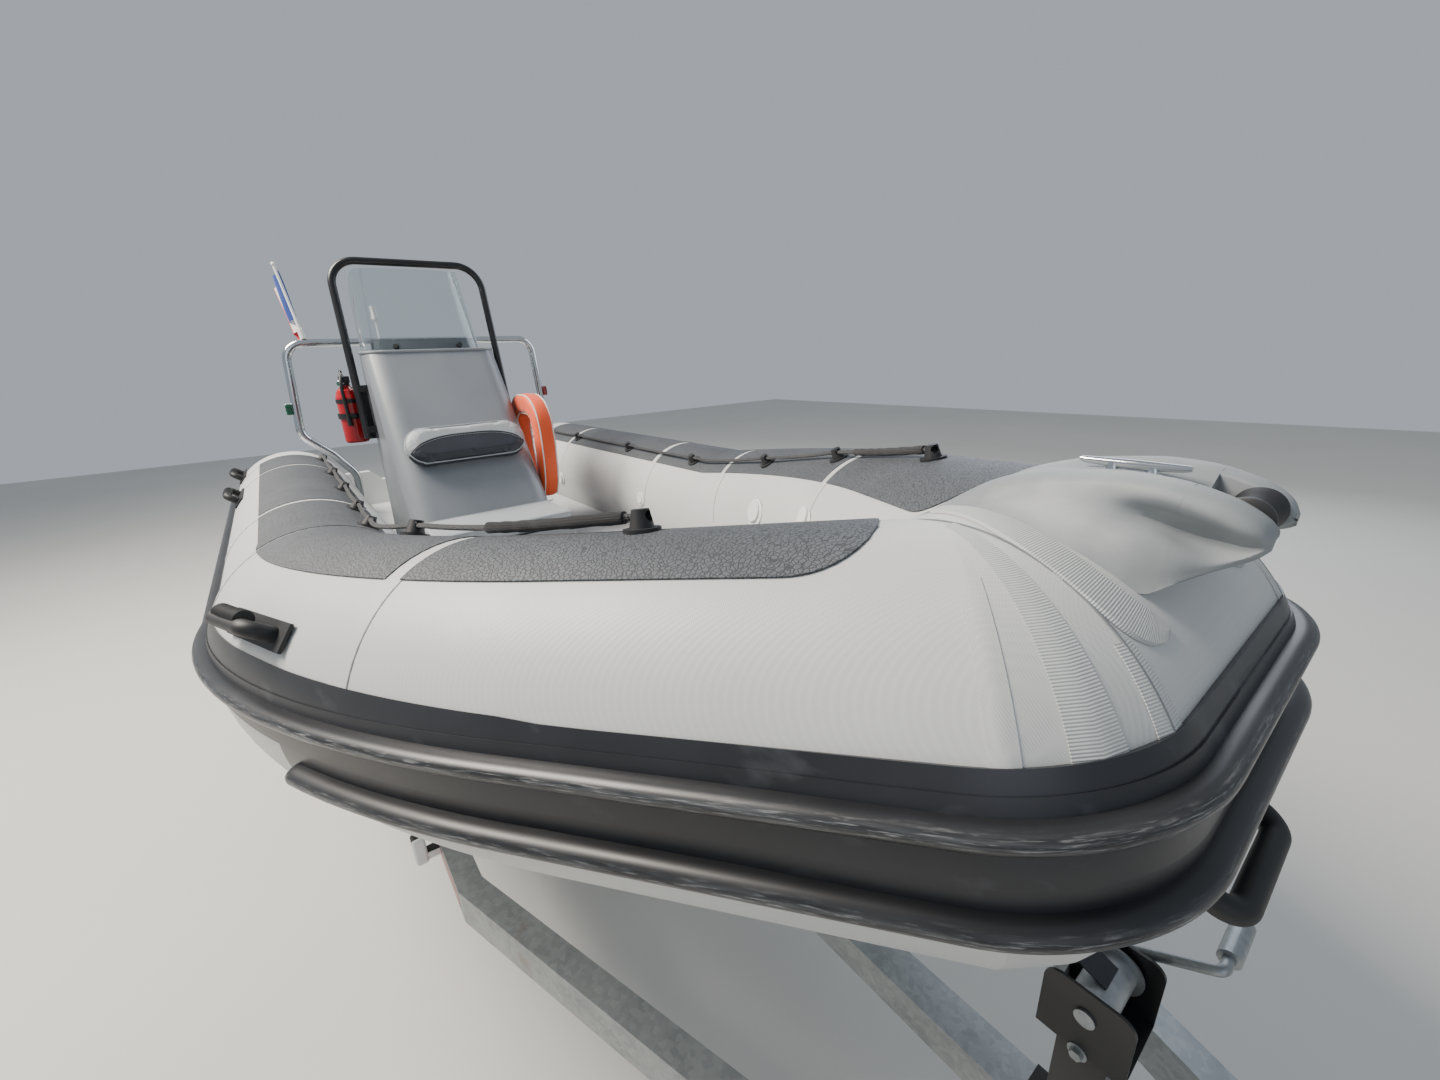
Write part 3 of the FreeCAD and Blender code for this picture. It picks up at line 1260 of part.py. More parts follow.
def side_beam(side, inset):
    """One side beam's outer form or its bore, swept along the bent line of the frame."""
    half, tall = d.beam_width / 2 - inset, d.beam_height / 2 - inset
    y, z = side * d.beam_half, d.beam_base + d.beam_height / 2
    line = [Vector(d.beam_rear_x, y, z), Vector(d.beam_bend_x, y, z),
            Vector(d.beam_join_x, side * d.beam_join_half, z)]
    corners = [(-half, -tall), (half, -tall), (half, tall), (-half, tall)]
    section = polygon([line[0] + Vector(0, a, b) for a, b in corners])
    return Part.makePolygon(line).makePipeShell([section], True, False, 1)


port_beam = side_beam(1, 0).cut(side_beam(1, d.beam_wall))
piece("side_beams", group(both(port_beam)))

BEAM_BASE, KEEL_TOP = "dims.beam_base", "dims.beam_base + dims.keel_beam_side"
KEEL_HALF = "dims.keel_beam_side / 2"
keel_outer = bound_box("keel_outer", "dims.keel_beam_rear_x", "dims.coupling_x", "-" + KEEL_HALF, KEEL_HALF,
                       BEAM_BASE, KEEL_TOP)
keel_bore = bound_box("keel_bore", "dims.keel_beam_rear_x", "dims.coupling_x",
                      "dims.beam_wall - " + KEEL_HALF, KEEL_HALF + " - dims.beam_wall",
                      BEAM_BASE + " + dims.beam_wall", KEEL_TOP + " - dims.beam_wall")
keep(less("keel_tube", keel_outer, keel_bore), "keel_beam")

REACH = "(dims.beam_half + dims.beam_width / 2)"
CROSS_LOW = "dims.beam_base - dims.cross_side"
# columns: what the cross member is, where it crosses
CROSS = [("rear", "dims.cross_rear_x"), ("axle", "dims.axle_x"), ("front", "dims.cross_front_x")]
members = []
for name, x in CROSS:
    outer = bound_box(name + "_outer", x + " - dims.cross_side / 2", x + " + dims.cross_side / 2",
                      "-" + REACH, REACH, CROSS_LOW, BEAM_BASE)
    bore = bound_box(name + "_bore", x + " - dims.cross_side / 2 + dims.beam_wall",
                     x + " + dims.cross_side / 2 - dims.beam_wall", "-" + REACH, REACH,
                     CROSS_LOW + " + dims.beam_wall", BEAM_BASE + " - dims.beam_wall")
    members.append(less(name + "_tube", outer, bore))
members.append(bound_box("draw_plate", "dims.beam_join_x - 90", "dims.beam_join_x", "-105", "105",
                         "dims.beam_base - 8", BEAM_BASE))
keep(gathered("cross_tubes", members), "cross_members")

reach = d.beam_half + d.beam_width / 2
cross_low = d.beam_base - d.cross_side
keel_top = d.beam_base + d.keel_beam_side
wheel_x = d.axle_x - d.arm_reach
WHEEL_X = "dims.axle_x - dims.arm_reach"


def suspension_arm():
    """A trailing arm with its stub axle."""
    axle_z = cross_low + d.cross_side / 2
    big = Part.makeCylinder(42, d.arm_thick, Vector(d.axle_x, reach, axle_z), Vector(0, 1, 0))
    small = Part.makeCylinder(32, d.arm_thick, Vector(wheel_x, reach, d.wheel_height), Vector(0, 1, 0))
    web = prism([Vector(d.axle_x, reach, axle_z + 36), Vector(d.axle_x + 30, reach, axle_z - 28),
                 Vector(wheel_x + 10, reach, d.wheel_height - 28),
                 Vector(wheel_x - 24, reach, d.wheel_height + 18)], Vector(0, d.arm_thick, 0))
    stub = Part.makeCylinder(d.stub_radius, d.track_half - reach + 62, Vector(wheel_x, reach, d.wheel_height),
                             Vector(0, 1, 0))
    return fused([big, small, web, stub])


piece("suspension_arms", group(both(suspension_arm())))


# Road wheels: a tyre, and a steel rim with its hub that turns on the stub
def value_of(text):
    """The value of an expression on the sheet."""
    probe = doc.addObject("App::FeaturePython", "probe")
    probe.addProperty("App::PropertyFloat", "value")
    probe.setExpression("value", text)
    doc.recompute()
    value = probe.value
    doc.removeObject(probe.Name)
    return value


def turned(label, outline, place):
    """A turned piece: a closed sketch on the upright plane, turned about the axis across the part."""
    body = doc.addObject("PartDesign::Body", label + "_body")
    sketch = body.newObject("Sketcher::SketchObject", label + "_outline")
    plane = [f for f in body.Origin.OriginFeatures if f.Role == "YZ_Plane"][0]
    sketch.AttachmentSupport = [(plane, "")]
    sketch.MapMode = "FlatFace"
    corners = [(value_of(y), value_of(z)) for y, z in outline]
    for (y0, z0), (y1, z1) in zip(corners, corners[1:] + corners[:1]):
        sketch.addGeometry(Part.LineSegment(Vector(y0, z0, 0), Vector(y1, z1, 0)), False)
    count = len(outline)
    for k in range(count):
        sketch.addConstraint(Sketcher.Constraint("Coincident", k, 2, (k + 1) % count, 1))
    for k, row in enumerate(outline):
        for kind, text, value in zip(("DistanceX", "DistanceY"), row, corners[k]):
            index = sketch.addConstraint(Sketcher.Constraint(kind, -1, 1, k, 1, value))
            sketch.setExpression("Constraints[%d]" % index, text)
    turn = body.newObject("PartDesign::Revolution", label + "_turned")
    turn.Profile = sketch
    turn.ReferenceAxis = (sketch, ["H_Axis"])
    turn.Angle = 360
    body.Tip = turn
    body.setExpression("Placement.Base.x", "dims.world_shift + " + place[0])
    body.setExpression("Placement.Base.y", place[1])
    body.setExpression("Placement.Base.z", place[2])
    doc.recompute()
    return keep(body, label)


# columns: place across the tyre, distance from the wheel's axis
TYRE_OUTLINE = [("-dims.tyre_width * 0.36", "dims.rim_radius + 1"),
                ("-dims.tyre_width * 0.47", "dims.rim_radius + 26"),
                ("-dims.tyre_width * 0.5", "dims.rim_radius + 62"),
                ("-dims.tyre_width * 0.46", "dims.tyre_radius - 22"),
                ("-dims.tyre_width * 0.37", "dims.tyre_radius - 4"),
                ("-dims.tyre_width * 0.2", "dims.tyre_radius"), ("dims.tyre_width * 0.2", "dims.tyre_radius"),
                ("dims.tyre_width * 0.37", "dims.tyre_radius - 4"),
                ("dims.tyre_width * 0.46", "dims.tyre_radius - 22"),
                ("dims.tyre_width * 0.5", "dims.rim_radius + 62"),
                ("dims.tyre_width * 0.47", "dims.rim_radius + 26"),
                ("dims.tyre_width * 0.36", "dims.rim_radius + 1")]
# columns: place across the rim from its inner to its outer side, distance from the wheel's axis
RIM_OUTLINE = [("-dims.tyre_width * 0.36", "dims.rim_radius + 0.6"),
               ("-dims.tyre_width * 0.36", "dims.rim_radius - 14"),
               ("dims.tyre_width * 0.05", "dims.rim_radius - 20"),
               ("dims.tyre_width * 0.12", "dims.hub_radius + 30"),
               ("dims.tyre_width * 0.02", "dims.hub_radius"), ("-dims.tyre_width * 0.3", "dims.hub_radius - 6"),
               ("-dims.tyre_width * 0.3", "dims.stub_radius + dims.running_gap"),
               ("dims.tyre_width * 0.34", "dims.stub_radius + dims.running_gap"),
               ("dims.tyre_width * 0.34", "dims.hub_radius - 26"),
               ("dims.tyre_width * 0.14", "dims.hub_radius - 14"),
               ("dims.tyre_width * 0.2", "dims.hub_radius + 40"),
               ("dims.tyre_width * 0.12", "dims.rim_radius - 14"),
               ("dims.tyre_width * 0.36", "dims.rim_radius - 8"),
               ("dims.tyre_width * 0.36", "dims.rim_radius + 0.6")]
for side, sign in (("port", ""), ("starboard", "-")):
    place = (WHEEL_X, sign + "dims.track_half", "dims.wheel_height")
    for label, rows in (("tyre_", TYRE_OUTLINE), ("wheel_rim_", RIM_OUTLINE)):
        turned(label + side, [("%s(%s)" % (sign, y), z) for y, z in rows], place)


def mudguard():
    r = d.tyre_radius + d.guard_gap
    y0 = d.track_half - d.guard_width / 2
    centre = Vector(wheel_x, y0, d.wheel_height)
    outer = Part.makeCylinder(r + d.guard_thick, d.guard_width, centre, Vector(0, 1, 0))
    inner = Part.makeCylinder(r, d.guard_width, centre, Vector(0, 1, 0))
    upper = box(wheel_x - 500, wheel_x + 500, y0, y0 + d.guard_width, d.wheel_height + 30, 900)
    shell = outer.cut(inner).common(upper)
    stay_z = d.beam_base + 64
    stays = [box(wheel_x + dx - 15, wheel_x + dx + 15, reach + d.seat_gap, y0 + 40, stay_z, stay_z + 6)
             for dx in (-262, 262)]
    clip = Part.makeCylinder(r, d.guard_width + 40, centre - Vector(0, 20, 0), Vector(0, 1, 0))
    return fused([shell] + [stay.cut(clip) for stay in stays])


piece("mudguards", group(both(mudguard())))


ROLLER_X = [360, 1000, 1700, 2420]


def keel_rollers():
    rollers, brackets = [], []
    half, r = d.keel_roller_half, d.keel_roller_radius
    for x in ROLLER_X:
        z = keel_at(x) - r - 0.8
        outline = [(8.3, -half), (r + 6, -half), (r, -d.keel_strip - 2), (r, d.keel_strip + 2),
                   (r + 6, half), (8.3, half)]
        form = Part.Face(polygon([Vector(x + a, y, z) for a, y in outline]))
        rollers.append(form.revolve(Vector(x, 0, z), Vector(0, 1, 0), 360))
        ears = [prism([Vector(x + a, y0, b) for a, b in
                       ((-30, keel_top), (30, keel_top), (18, z + 18), (-18, z + 18))], Vector(0, 5, 0))
                for y0 in (-half - 8, half + 3)]
        foot = box(x - 30, x + 30, -half - 8, half + 8, keel_top, keel_top + 6)
        pin = rod(Vector(x, -half - 16, z), Vector(x, half + 16, z), 8)
        brackets.append(fused(ears + [foot, pin]))
    return rollers, brackets


roller_group, supports = keel_rollers()
piece("keel_rollers", group(roller_group))


def bunk():
    """A padded board that lies along the hull's bottom, and its two posts."""
    slope = math.atan2(d.chine_height - d.keel_height, d.chine_half - d.keel_strip)
    y = d.bunk_y
    z = d.keel_height + (y - d.keel_strip) * math.tan(slope)
    out = Vector(0, -math.sin(slope), math.cos(slope))
    across = Vector(0, math.cos(slope), math.sin(slope))
    corner = Vector(190, y, z) - out * 0.5 - across * d.bunk_width / 2
    down = out * d.bunk_thick
    board = prism([corner, corner + across * d.bunk_width, corner + across * d.bunk_width - down,
                   corner - down], Vector(1290, 0, 0))
    under = corner - down - out * 0.3 - Vector(200, 0, 0)
    above = prism([under - across * 200, under + across * 300, under + across * 300 + out * 300,
                   under - across * 200 + out * 300], Vector(1800, 0, 0))
    posts = [box(x - 20, x + 20, y - 20, y + 20, d.beam_base, z).cut(above)
             for x in (d.cross_rear_x, d.axle_x)]
    return board, posts


board, posts = bunk()
piece("bunks", group(both(board)))
piece("trailer_supports", group(supports + [s for p in posts for s in both(p)]))


# Winch on its post, and the strap that holds the bow down
def winch_post():
    x, z = d.winch_x, d.winch_height
    post = box(x - 35, x + 35, -35, 35, keel_top, z - 60).cut(box(x - 31, x + 31, -31, 31, keel_top + 6, z - 66))
    foot = box(x - 70, x + 70, -40, 40, keel_top, keel_top + 8)
    head = box(x - 60, x + 60, -62, 62, z - 60, z - 54)
    cheeks = [box(x - 60, x + 60, y, y + 5, z - 54, z + 62) for y in (-62, 57)]
    cheeks = [c.makeFillet(24, [e for e in c.Edges if e.BoundBox.YLength > 1 and e.BoundBox.ZMin > z])
              for c in cheeks]
    axle = Vector(x, 0, z + 14)
    bore = rod(axle - Vector(0, 90, 0), axle + Vector(0, 90, 0), 14 + d.seat_gap)
    return fused([post, foot, head] + cheeks).cut(bore), axle


post, winch_axle = winch_post()
piece("winch_post", post)


def winch():
    across = Vector(0, 1, 0)
    drum = [Part.makeCylinder(r, length, winch_axle - across * back, across)
            for r, length, back in ((14, 140, 66), (40, 4, 50), (40, 4, -46), (30, 96, 48))]
    end = winch_axle + across * 74
    arm = bent_tube([end, end + Vector(0, 22, 0), end + Vector(110, 22, 70), end + Vector(110, 110, 70)], 10, 8)
    knob = Part.makeCylinder(15, 80, end + Vector(110, 50, 70), across)
    return fused(drum + [arm, knob])


piece("winch", winch())


def winch_strap():
    """A flat strap from the drum to a hook on the bow eye."""
    grip_r, wide, thick = 13, d.strap_width / 2, d.strap_thick
    hook = Part.makeCylinder(grip_r, 24, eye_bar - Vector(0, 12, 0), Vector(0, 1, 0))
    hook = hook.cut(Part.makeCylinder(EYE_ROD + d.seat_gap, 60, eye_bar - Vector(0, 30, 0), Vector(0, 1, 0)))
    reach_line = winch_axle - eye_bar
    lift = math.asin((30 + d.seat_gap + thick / 2) / reach_line.Length)
    way = Rotation(Vector(0, 1, 0), -math.degrees(lift)).multVec(reach_line).normalize()
    normal = way.cross(Vector(0, 1, 0))
    start, length = eye_bar + way * (grip_r - 2), math.sqrt(reach_line.Length ** 2 - 31 ** 2) - grip_r
    corner = start - Vector(0, wide, 0) - normal * thick / 2
    band = prism([corner, corner + Vector(0, 2 * wide, 0), corner + Vector(0, 2 * wide, 0) + normal * thick,
                  corner + normal * thick], way * length)
    ends = [eye_bar - Vector(0, 30, 0), eye_bar + Vector(0, 30, 0)]
    return fused([hook, band]).cut(rod(ends[0], ends[1], EYE_ROD + d.seat_gap))


strap = winch_strap()
piece("winch_strap", strap)


def coupling():
    x, z, half = d.coupling_x, d.beam_base + d.keel_beam_side / 2, d.keel_beam_side / 2
    outline = [(x - 120, 44), (x - 20, 44), (x + 60, 34), (x + 100, 38), (x + 130, 30), (x + 144, 0)]
    points = outline + [(a, -b) for a, b in reversed(outline[:-1])]
    shell = prism([Vector(a, b, z - 30) for a, b in points], Vector(0, 0, 76))
    ball = Part.makeSphere(25.5, Vector(x + 100, 0, z - 12))
    throat = Part.makeCylinder(25.5, 60, Vector(x + 100, 0, z - 12), Vector(0, 0, -1))
    beam = box(x - 200, x + 0.3, -half, half, z - half, z + half)
    handle = bent_tube([Vector(x + 60, 0, z + 40), Vector(x + 20, 0, z + 92), Vector(x - 70, 0, z + 96)], 20, 9)
    return fused([shell, handle]).cut(ball).cut(throat).cut(beam)


piece("coupling_head", coupling())

# Jockey wheel: a clamped tube with its crank, a stem that slides in it, a castor fork and its wheel
JX, JY = "dims.jockey_x", "dims.jockey_y"
SLEEVE_LOW, SLEEVE_HIGH = "dims.jockey_sleeve_low", "dims.jockey_sleeve_high"
sleeve = bound_rod("jockey_sleeve", "z", (JX, JY, SLEEVE_LOW), "dims.jockey_tube + 5",
                   SLEEVE_HIGH + " - " + SLEEVE_LOW)
bracket = bound_box("jockey_bracket", JX + " - 30", JX + " + 30", KEEL_HALF, JY,
                    BEAM_BASE + " + 12", BEAM_BASE + " + 68")
jockey_bore = bound_rod("jockey_bore", "z", (JX, JY, SLEEVE_LOW), "dims.jockey_tube + dims.running_gap",
                        SLEEVE_HIGH + " - " + SLEEVE_LOW + " - 12")
crank = doc.addObject("Part::Feature", "jockey_crank")
crank_foot = Vector(d.jockey_x, d.jockey_y, d.jockey_sleeve_high - 6)
crank.Shape = fused([bent_tube([crank_foot, crank_foot + Vector(0, 0, 44), crank_foot + Vector(-10, 120, 54),
                                crank_foot + Vector(-10, 122, 120)], 12, 8),
                     Part.makeCylinder(14, 62, crank_foot + Vector(-10, 121.5, 62))])
crank.setExpression("Placement.Base.x", "dims.world_shift")
keep(less("jockey_clamped", joined("jockey_outer", [sleeve, bracket, crank]), jockey_bore), "jockey_tube")

stem = bound_rod("jockey_rod", "z", (JX, JY, "dims.jockey_fork_top + 1"), "dims.jockey_tube",
                 "dims.jockey_stem_top - dims.jockey_fork_top - 1")
pivot = bound_rod("jockey_pivot", "z", (JX, JY, "dims.jockey_fork_top - 20"), "dims.jockey_pin", "30")
washer = bound_rod("jockey_washer", "z", (JX, JY, "dims.jockey_fork_top - 20"), "dims.jockey_pin + 7", "6")
keep(joined("jockey_inner", [stem, pivot, washer]), "jockey_stem")

TRAIL_X = JX + " - dims.jockey_trail"
FORK_HALF = "dims.jockey_width / 2 + 6"
plate = bound_box("fork_plate", TRAIL_X + " - 24", JX + " + 26", JY + " - (" + FORK_HALF + " + 5)",
                  JY + " + " + FORK_HALF + " + 5", "dims.jockey_fork_top - 8", "dims.jockey_fork_top")
cheeks = [bound_box("fork_cheek_" + name, TRAIL_X + " - 24", TRAIL_X + " + 36", low, high,
                    "dims.jockey_radius - 20", "dims.jockey_fork_top")
          for name, low, high in (("in", JY + " - (" + FORK_HALF + " + 5)", JY + " - (" + FORK_HALF + ")"),
                                  ("out", JY + " + " + FORK_HALF, JY + " + " + FORK_HALF + " + 5"))]
fork_axle = bound_rod("fork_axle", "y", (TRAIL_X, JY + " - (" + FORK_HALF + " + 9)", "dims.jockey_radius"),
                      "dims.jockey_pin - 1", "2 * (" + FORK_HALF + " + 9)")
fork_hole = bound_rod("fork_hole", "z", (JX, JY, "dims.jockey_fork_top - 30"), "dims.jockey_pin + dims.running_gap",
                      "60")
keep(less("fork_drilled", joined("fork_welded", [plate] + cheeks + [fork_axle]), fork_hole), "jockey_fork")

# columns: place across the jockey wheel, distance from its axis
JOCKEY_OUTLINE = [("-dims.jockey_width / 2", "dims.jockey_pin - 1 + dims.running_gap"),
                  ("-dims.jockey_width / 2", "dims.jockey_radius - 34"),
                  ("-dims.jockey_width / 2 + 8", "dims.jockey_radius - 30"),
                  ("-dims.jockey_width / 2 + 2", "dims.jockey_radius - 14"),
                  ("-dims.jockey_width / 2 + 12", "dims.jockey_radius"),
                  ("dims.jockey_width / 2 - 12", "dims.jockey_radius"),
                  ("dims.jockey_width / 2 - 2", "dims.jockey_radius - 14"),
                  ("dims.jockey_width / 2 - 8", "dims.jockey_radius - 30"),
                  ("dims.jockey_width / 2", "dims.jockey_radius - 34"),
                  ("dims.jockey_width / 2", "dims.jockey_pin - 1 + dims.running_gap")]
turned("jockey_wheel", JOCKEY_OUTLINE, (TRAIL_X, JY, "dims.jockey_radius"))


# Lamps: a rear cluster at the end of each side beam, a marker lamp on a stalk outside each beam
def trailer_lamps():
    y = d.beam_half
    rear = box(d.beam_rear_x - 42, d.beam_rear_x - d.seat_gap, y - 30, y + 180, d.beam_base + 2, d.beam_base + 98)
    rear = rear.makeFillet(10, rear.Edges)
    x, side, z = d.marker_x, y + d.beam_width / 2 + d.seat_gap, d.beam_base + 62
    stalk = box(x - 16, x + 16, side, side + 46, z - 12, z + 8)
    lamp = box(x - 20, x + 20, side + 30, side + 62, z - 20, z + 66)
    lamp = lamp.makeFillet(8, lamp.Edges)
    return both(rear) + both(fused([stalk, lamp]))


piece("trailer_lamps", group(trailer_lamps()))


def export():
    os.makedirs("parts", exist_ok=True)
    doc.recompute()
    for item in doc.Objects:
        if "Invalid" in item.State or "Error" in item.State:
            raise RuntimeError("not built: " + item.Label)
    for item in nodes:
        if item.Shape.isNull() or not item.Shape.isValid():
            raise RuntimeError("no valid shape: " + item.Label)
    for item in nodes:
        item.Shape.exportStep("parts/%s.step" % item.Label)


for item in nodes:
    s = item.Shape
    b = s.optimalBoundingBox()
    print(item.Label, s.isValid(), s.ShapeType, len(s.Solids), round(s.Volume / 1e6, 2),
          [round(v) for v in (b.XMin, b.XMax, b.YMin, b.YMax, b.ZMin, b.ZMax)])
export()
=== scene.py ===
# %% [markdown]
# # Inflatable boat on its road trailer
# A rigid inflatable boat stands on its galvanised trailer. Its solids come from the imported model, one
# object a piece, and they stay where they are. This notebook gives them their real finishes, lays the
# soft goods over them and fits the small things that a boatyard fits last.

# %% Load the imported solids
import math
from types import SimpleNamespace

import bmesh
import bpy
from mathutils import Matrix, Vector


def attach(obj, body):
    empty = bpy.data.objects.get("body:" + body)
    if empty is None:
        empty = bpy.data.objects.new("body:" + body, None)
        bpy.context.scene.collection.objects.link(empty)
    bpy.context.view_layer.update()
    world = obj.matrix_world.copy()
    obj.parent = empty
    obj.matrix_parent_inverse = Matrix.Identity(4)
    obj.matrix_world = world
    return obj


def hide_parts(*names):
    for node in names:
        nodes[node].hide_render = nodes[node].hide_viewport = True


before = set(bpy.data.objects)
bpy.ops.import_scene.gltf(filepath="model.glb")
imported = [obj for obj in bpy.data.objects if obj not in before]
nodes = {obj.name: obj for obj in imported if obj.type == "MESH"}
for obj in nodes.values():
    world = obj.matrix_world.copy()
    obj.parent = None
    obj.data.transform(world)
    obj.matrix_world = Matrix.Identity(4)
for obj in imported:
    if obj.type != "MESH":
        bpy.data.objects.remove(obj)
scene = bpy.context.scene
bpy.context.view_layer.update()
BOAT = "boat_on_trailer"
STERN_SHIFT = 2.392


def at(x, y, z):
    """A place in the frame, in metres, from millimetres off the boat's stern datum."""
    return Vector((x / 1000 - STERN_SHIFT, y / 1000, z / 1000))


def linked(name, data):
    """A new object of the scene."""
    made = bpy.data.objects.new(name, data)
    scene.collection.objects.link(made)
    return made


# %% [markdown]
# ## Where the photograph was taken
# The photographer stood at the starboard bow with a very wide lens and held it a little tilted. The eye,
# the three turns and the focal length were fitted to edges of known length on the boat.

# %% Camera
IMAGE_WIDTH, FOCAL_PIXELS, SENSOR_WIDTH = 1440, 564.8, 36.0
EYE = Vector((1.879, -0.796, 1.803))
YAW, PITCH, ROLL = (math.radians(a) for a in (142.86, 18.25, -2.51))

look_ahead = Vector((math.cos(YAW) * math.cos(PITCH), math.sin(YAW) * math.cos(PITCH), -math.sin(PITCH)))
level_right = look_ahead.cross(Vector((0, 0, 1))).normalized()
level_up = level_right.cross(look_ahead)
right = level_right * math.cos(ROLL) + level_up * math.sin(ROLL)
up = level_up * math.cos(ROLL) - level_right * math.sin(ROLL)
camera = linked("camera", bpy.data.cameras.new("camera"))
camera.data.sensor_width = SENSOR_WIDTH
camera.data.lens = FOCAL_PIXELS / IMAGE_WIDTH * SENSOR_WIDTH
camera.data.clip_start = 0.05
camera.matrix_world = Matrix.Translation(EYE) @ Matrix((right, up, -look_ahead)).transposed().to_4x4()
scene.camera = camera
print("lens:", round(camera.data.lens, 2), "mm")

# %% [markdown]
# ## How a finish is made
# Every finish starts the same way: a base colour that drifts between two tones over a hand's width, as
# sun and handling leave it, and a fine grain that breaks up the gloss. Weave, print, scuffs, stains and
# painted shade in some grooves and ribs are laid over that one by one. Colours are written as hex codes,
# and patterns are sized in millimetres.

# %% Tools for finishes
def colour(code):
    """An sRGB hex code as the linear colour that a shader reads."""
    parts = [int(code[i:i + 2], 16) / 255 for i in (1, 3, 5)]
    return tuple(c / 12.92 if c <= 0.04045 else ((c + 0.055) / 1.055) ** 2.4 for c in parts) + (1.0,)


def add(tree, kind, inputs=None, **settings):
    """Adds one node with its settings, and gives each input a value or a link."""
    node = tree.nodes.new(kind)
    for key, value in settings.items():
        setattr(node, key, value)
    for key, value in (inputs or {}).items():
        if isinstance(value, bpy.types.NodeSocket):
            tree.links.new(value, node.inputs[key])
        else:
            node.inputs[key].default_value = value
    return node


def result(tree, kind, inputs=None, **settings):
    """Adds one node and hands on its first output."""
    return add(tree, kind, inputs, **settings).outputs[0]


def combine(tree, operation, *values):
    """One step of arithmetic between values or links."""
    return result(tree, "ShaderNodeMath", dict(enumerate(values)), operation=operation)


def finish(name, light, dark, rough, patch=160, grain=1.5, depth=0.03, metal=0.0, surface="Object", **sockets):
    """A finish whose colour drifts between two tones and whose skin has a fine grain, sizes in mm."""
    made = bpy.data.materials.new(name)
    made.use_nodes = True
    tree = made.node_tree
    skin = tree.nodes["Principled BSDF"]
    skin.inputs["Metallic"].default_value = metal
    for socket, value in sockets.items():
        skin.inputs[socket.replace("_", " ")].default_value = value
    coords = add(tree, "ShaderNodeTexCoord")
    spot = coords.outputs["Object"]
    drift = result(tree, "ShaderNodeTexNoise", {"Vector": spot, "Scale": 1000 / patch, "Detail": 4.0})
    share = result(tree, "ShaderNodeMapRange", {"Value": drift, "From Min": 0.3, "From Max": 0.7})
    tone = add(tree, "ShaderNodeMix", {0: share, 6: colour(light), 7: colour(dark)}, data_type="RGBA")
    tree.links.new(tone.outputs[2], skin.inputs["Base Color"])
    gloss = result(tree, "ShaderNodeMapRange",
                   {"Value": drift, "To Min": rough * 0.82, "To Max": min(1.0, rough * 1.18)})
    tree.links.new(gloss, skin.inputs["Roughness"])
    look = SimpleNamespace(material=made, tree=tree, skin=skin, spot=coords.outputs[surface], normal=None)
    fine = result(tree, "ShaderNodeTexNoise", {"Vector": spot, "Scale": 1000 / grain, "Detail": 2.0})
    emboss(look, fine, depth)
    return look


def emboss(look, height, depth):
    """Raises a pattern from the skin by a depth in mm, over what is already there."""
    inputs = {"Height": height, "Distance": depth / 1000, "Strength": 1.0}
    if look.normal is not None:
        inputs["Normal"] = look.normal
    look.normal = result(look.tree, "ShaderNodeBump", inputs)
    look.tree.links.new(look.normal, look.skin.inputs["Normal"])


def stain_and_shade(look, mask, code):
    """Lays another colour over the finish where the mask is high: real marks such as scuffs, rust, specks and print,
    and painted shade where the mask follows a relief.
    """
    under = look.skin.inputs["Base Color"].links[0].from_socket
    over = add(look.tree, "ShaderNodeMix", {0: mask, 6: under, 7: colour(code)}, data_type="RGBA")
    look.tree.links.new(over.outputs[2], look.skin.inputs["Base Color"])


def stretched(look, scale, turn=(0.0, 0.0, 0.0)):
    """The surface's coordinates, scaled and turned for a pattern."""
    return result(look.tree, "ShaderNodeMapping", {"Vector": look.spot, "Scale": scale, "Rotation": turn})


def threshold(look, value, low, high):
    """Turns a soft pattern into a mask that rises between two levels."""
    return result(look.tree, "ShaderNodeMapRange", {"Value": value, "From Min": low, "From Max": high})


def scuffs(look, code, low=0.56, high=0.68, grid=(4.0, 30.0, 30.0), strength=0.8):
    """Pale rubbed streaks along the boat, where fenders, quays and straps touch."""
    streak = result(look.tree, "ShaderNodeTexNoise", {"Vector": stretched(look, grid), "Scale": 1.0, "Detail": 6.0})
    mask = threshold(look, streak, low, high)
    stain_and_shade(look, combine(look.tree, "MULTIPLY", mask, strength), code)


# a wave's scale times its pitch in mm: two crossing waves then show threads about a pitch apart
WAVE = 500.0


def weave(look, pitch, depth, shade=None, strength=0.25):
    """Two crossing diagonal threads at one pitch in mm, embossed, and where shade is given, darkened in the grooves
    as painted shade.
    """
    waves = []
    for flip in (1.0, -1.0):
        inputs = {"Vector": stretched(look, (1.0, flip, 1.0)), "Scale": WAVE / pitch}
        waves.append(add(look.tree, "ShaderNodeTexWave", inputs, bands_direction="DIAGONAL").outputs["Fac"])
    cloth = combine(look.tree, "MAXIMUM", *waves)
    emboss(look, cloth, depth)
    if shade:
        # painted shade: darker where the threads are low, in the grooves between them
        stain_and_shade(look, combine(look.tree, "MULTIPLY_ADD", cloth, -strength, strength), shade)


def honeycomb(look, cell, depth, shade):
    """Raised cells with darker grooves between them."""
    inputs = {"Vector": look.spot, "Scale": 1000 / cell}
    cells = add(look.tree, "ShaderNodeTexVoronoi", inputs, feature="DISTANCE_TO_EDGE").outputs["Distance"]
    raised = threshold(look, cells, 0.02, 0.16)
    emboss(look, raised, depth)
    stain_and_shade(look, combine(look.tree, "SUBTRACT", 1.0, raised), shade)


print("finish tools ready")

# %% [markdown]
# ## Finishes of the inflated collar
# The tubes are polyester cloth coated with PVC: a soft satin sheen and the threads just showing through.
# The bands and pads are thicker coated cloth, the strakes extruded rubber that every quay has rubbed.

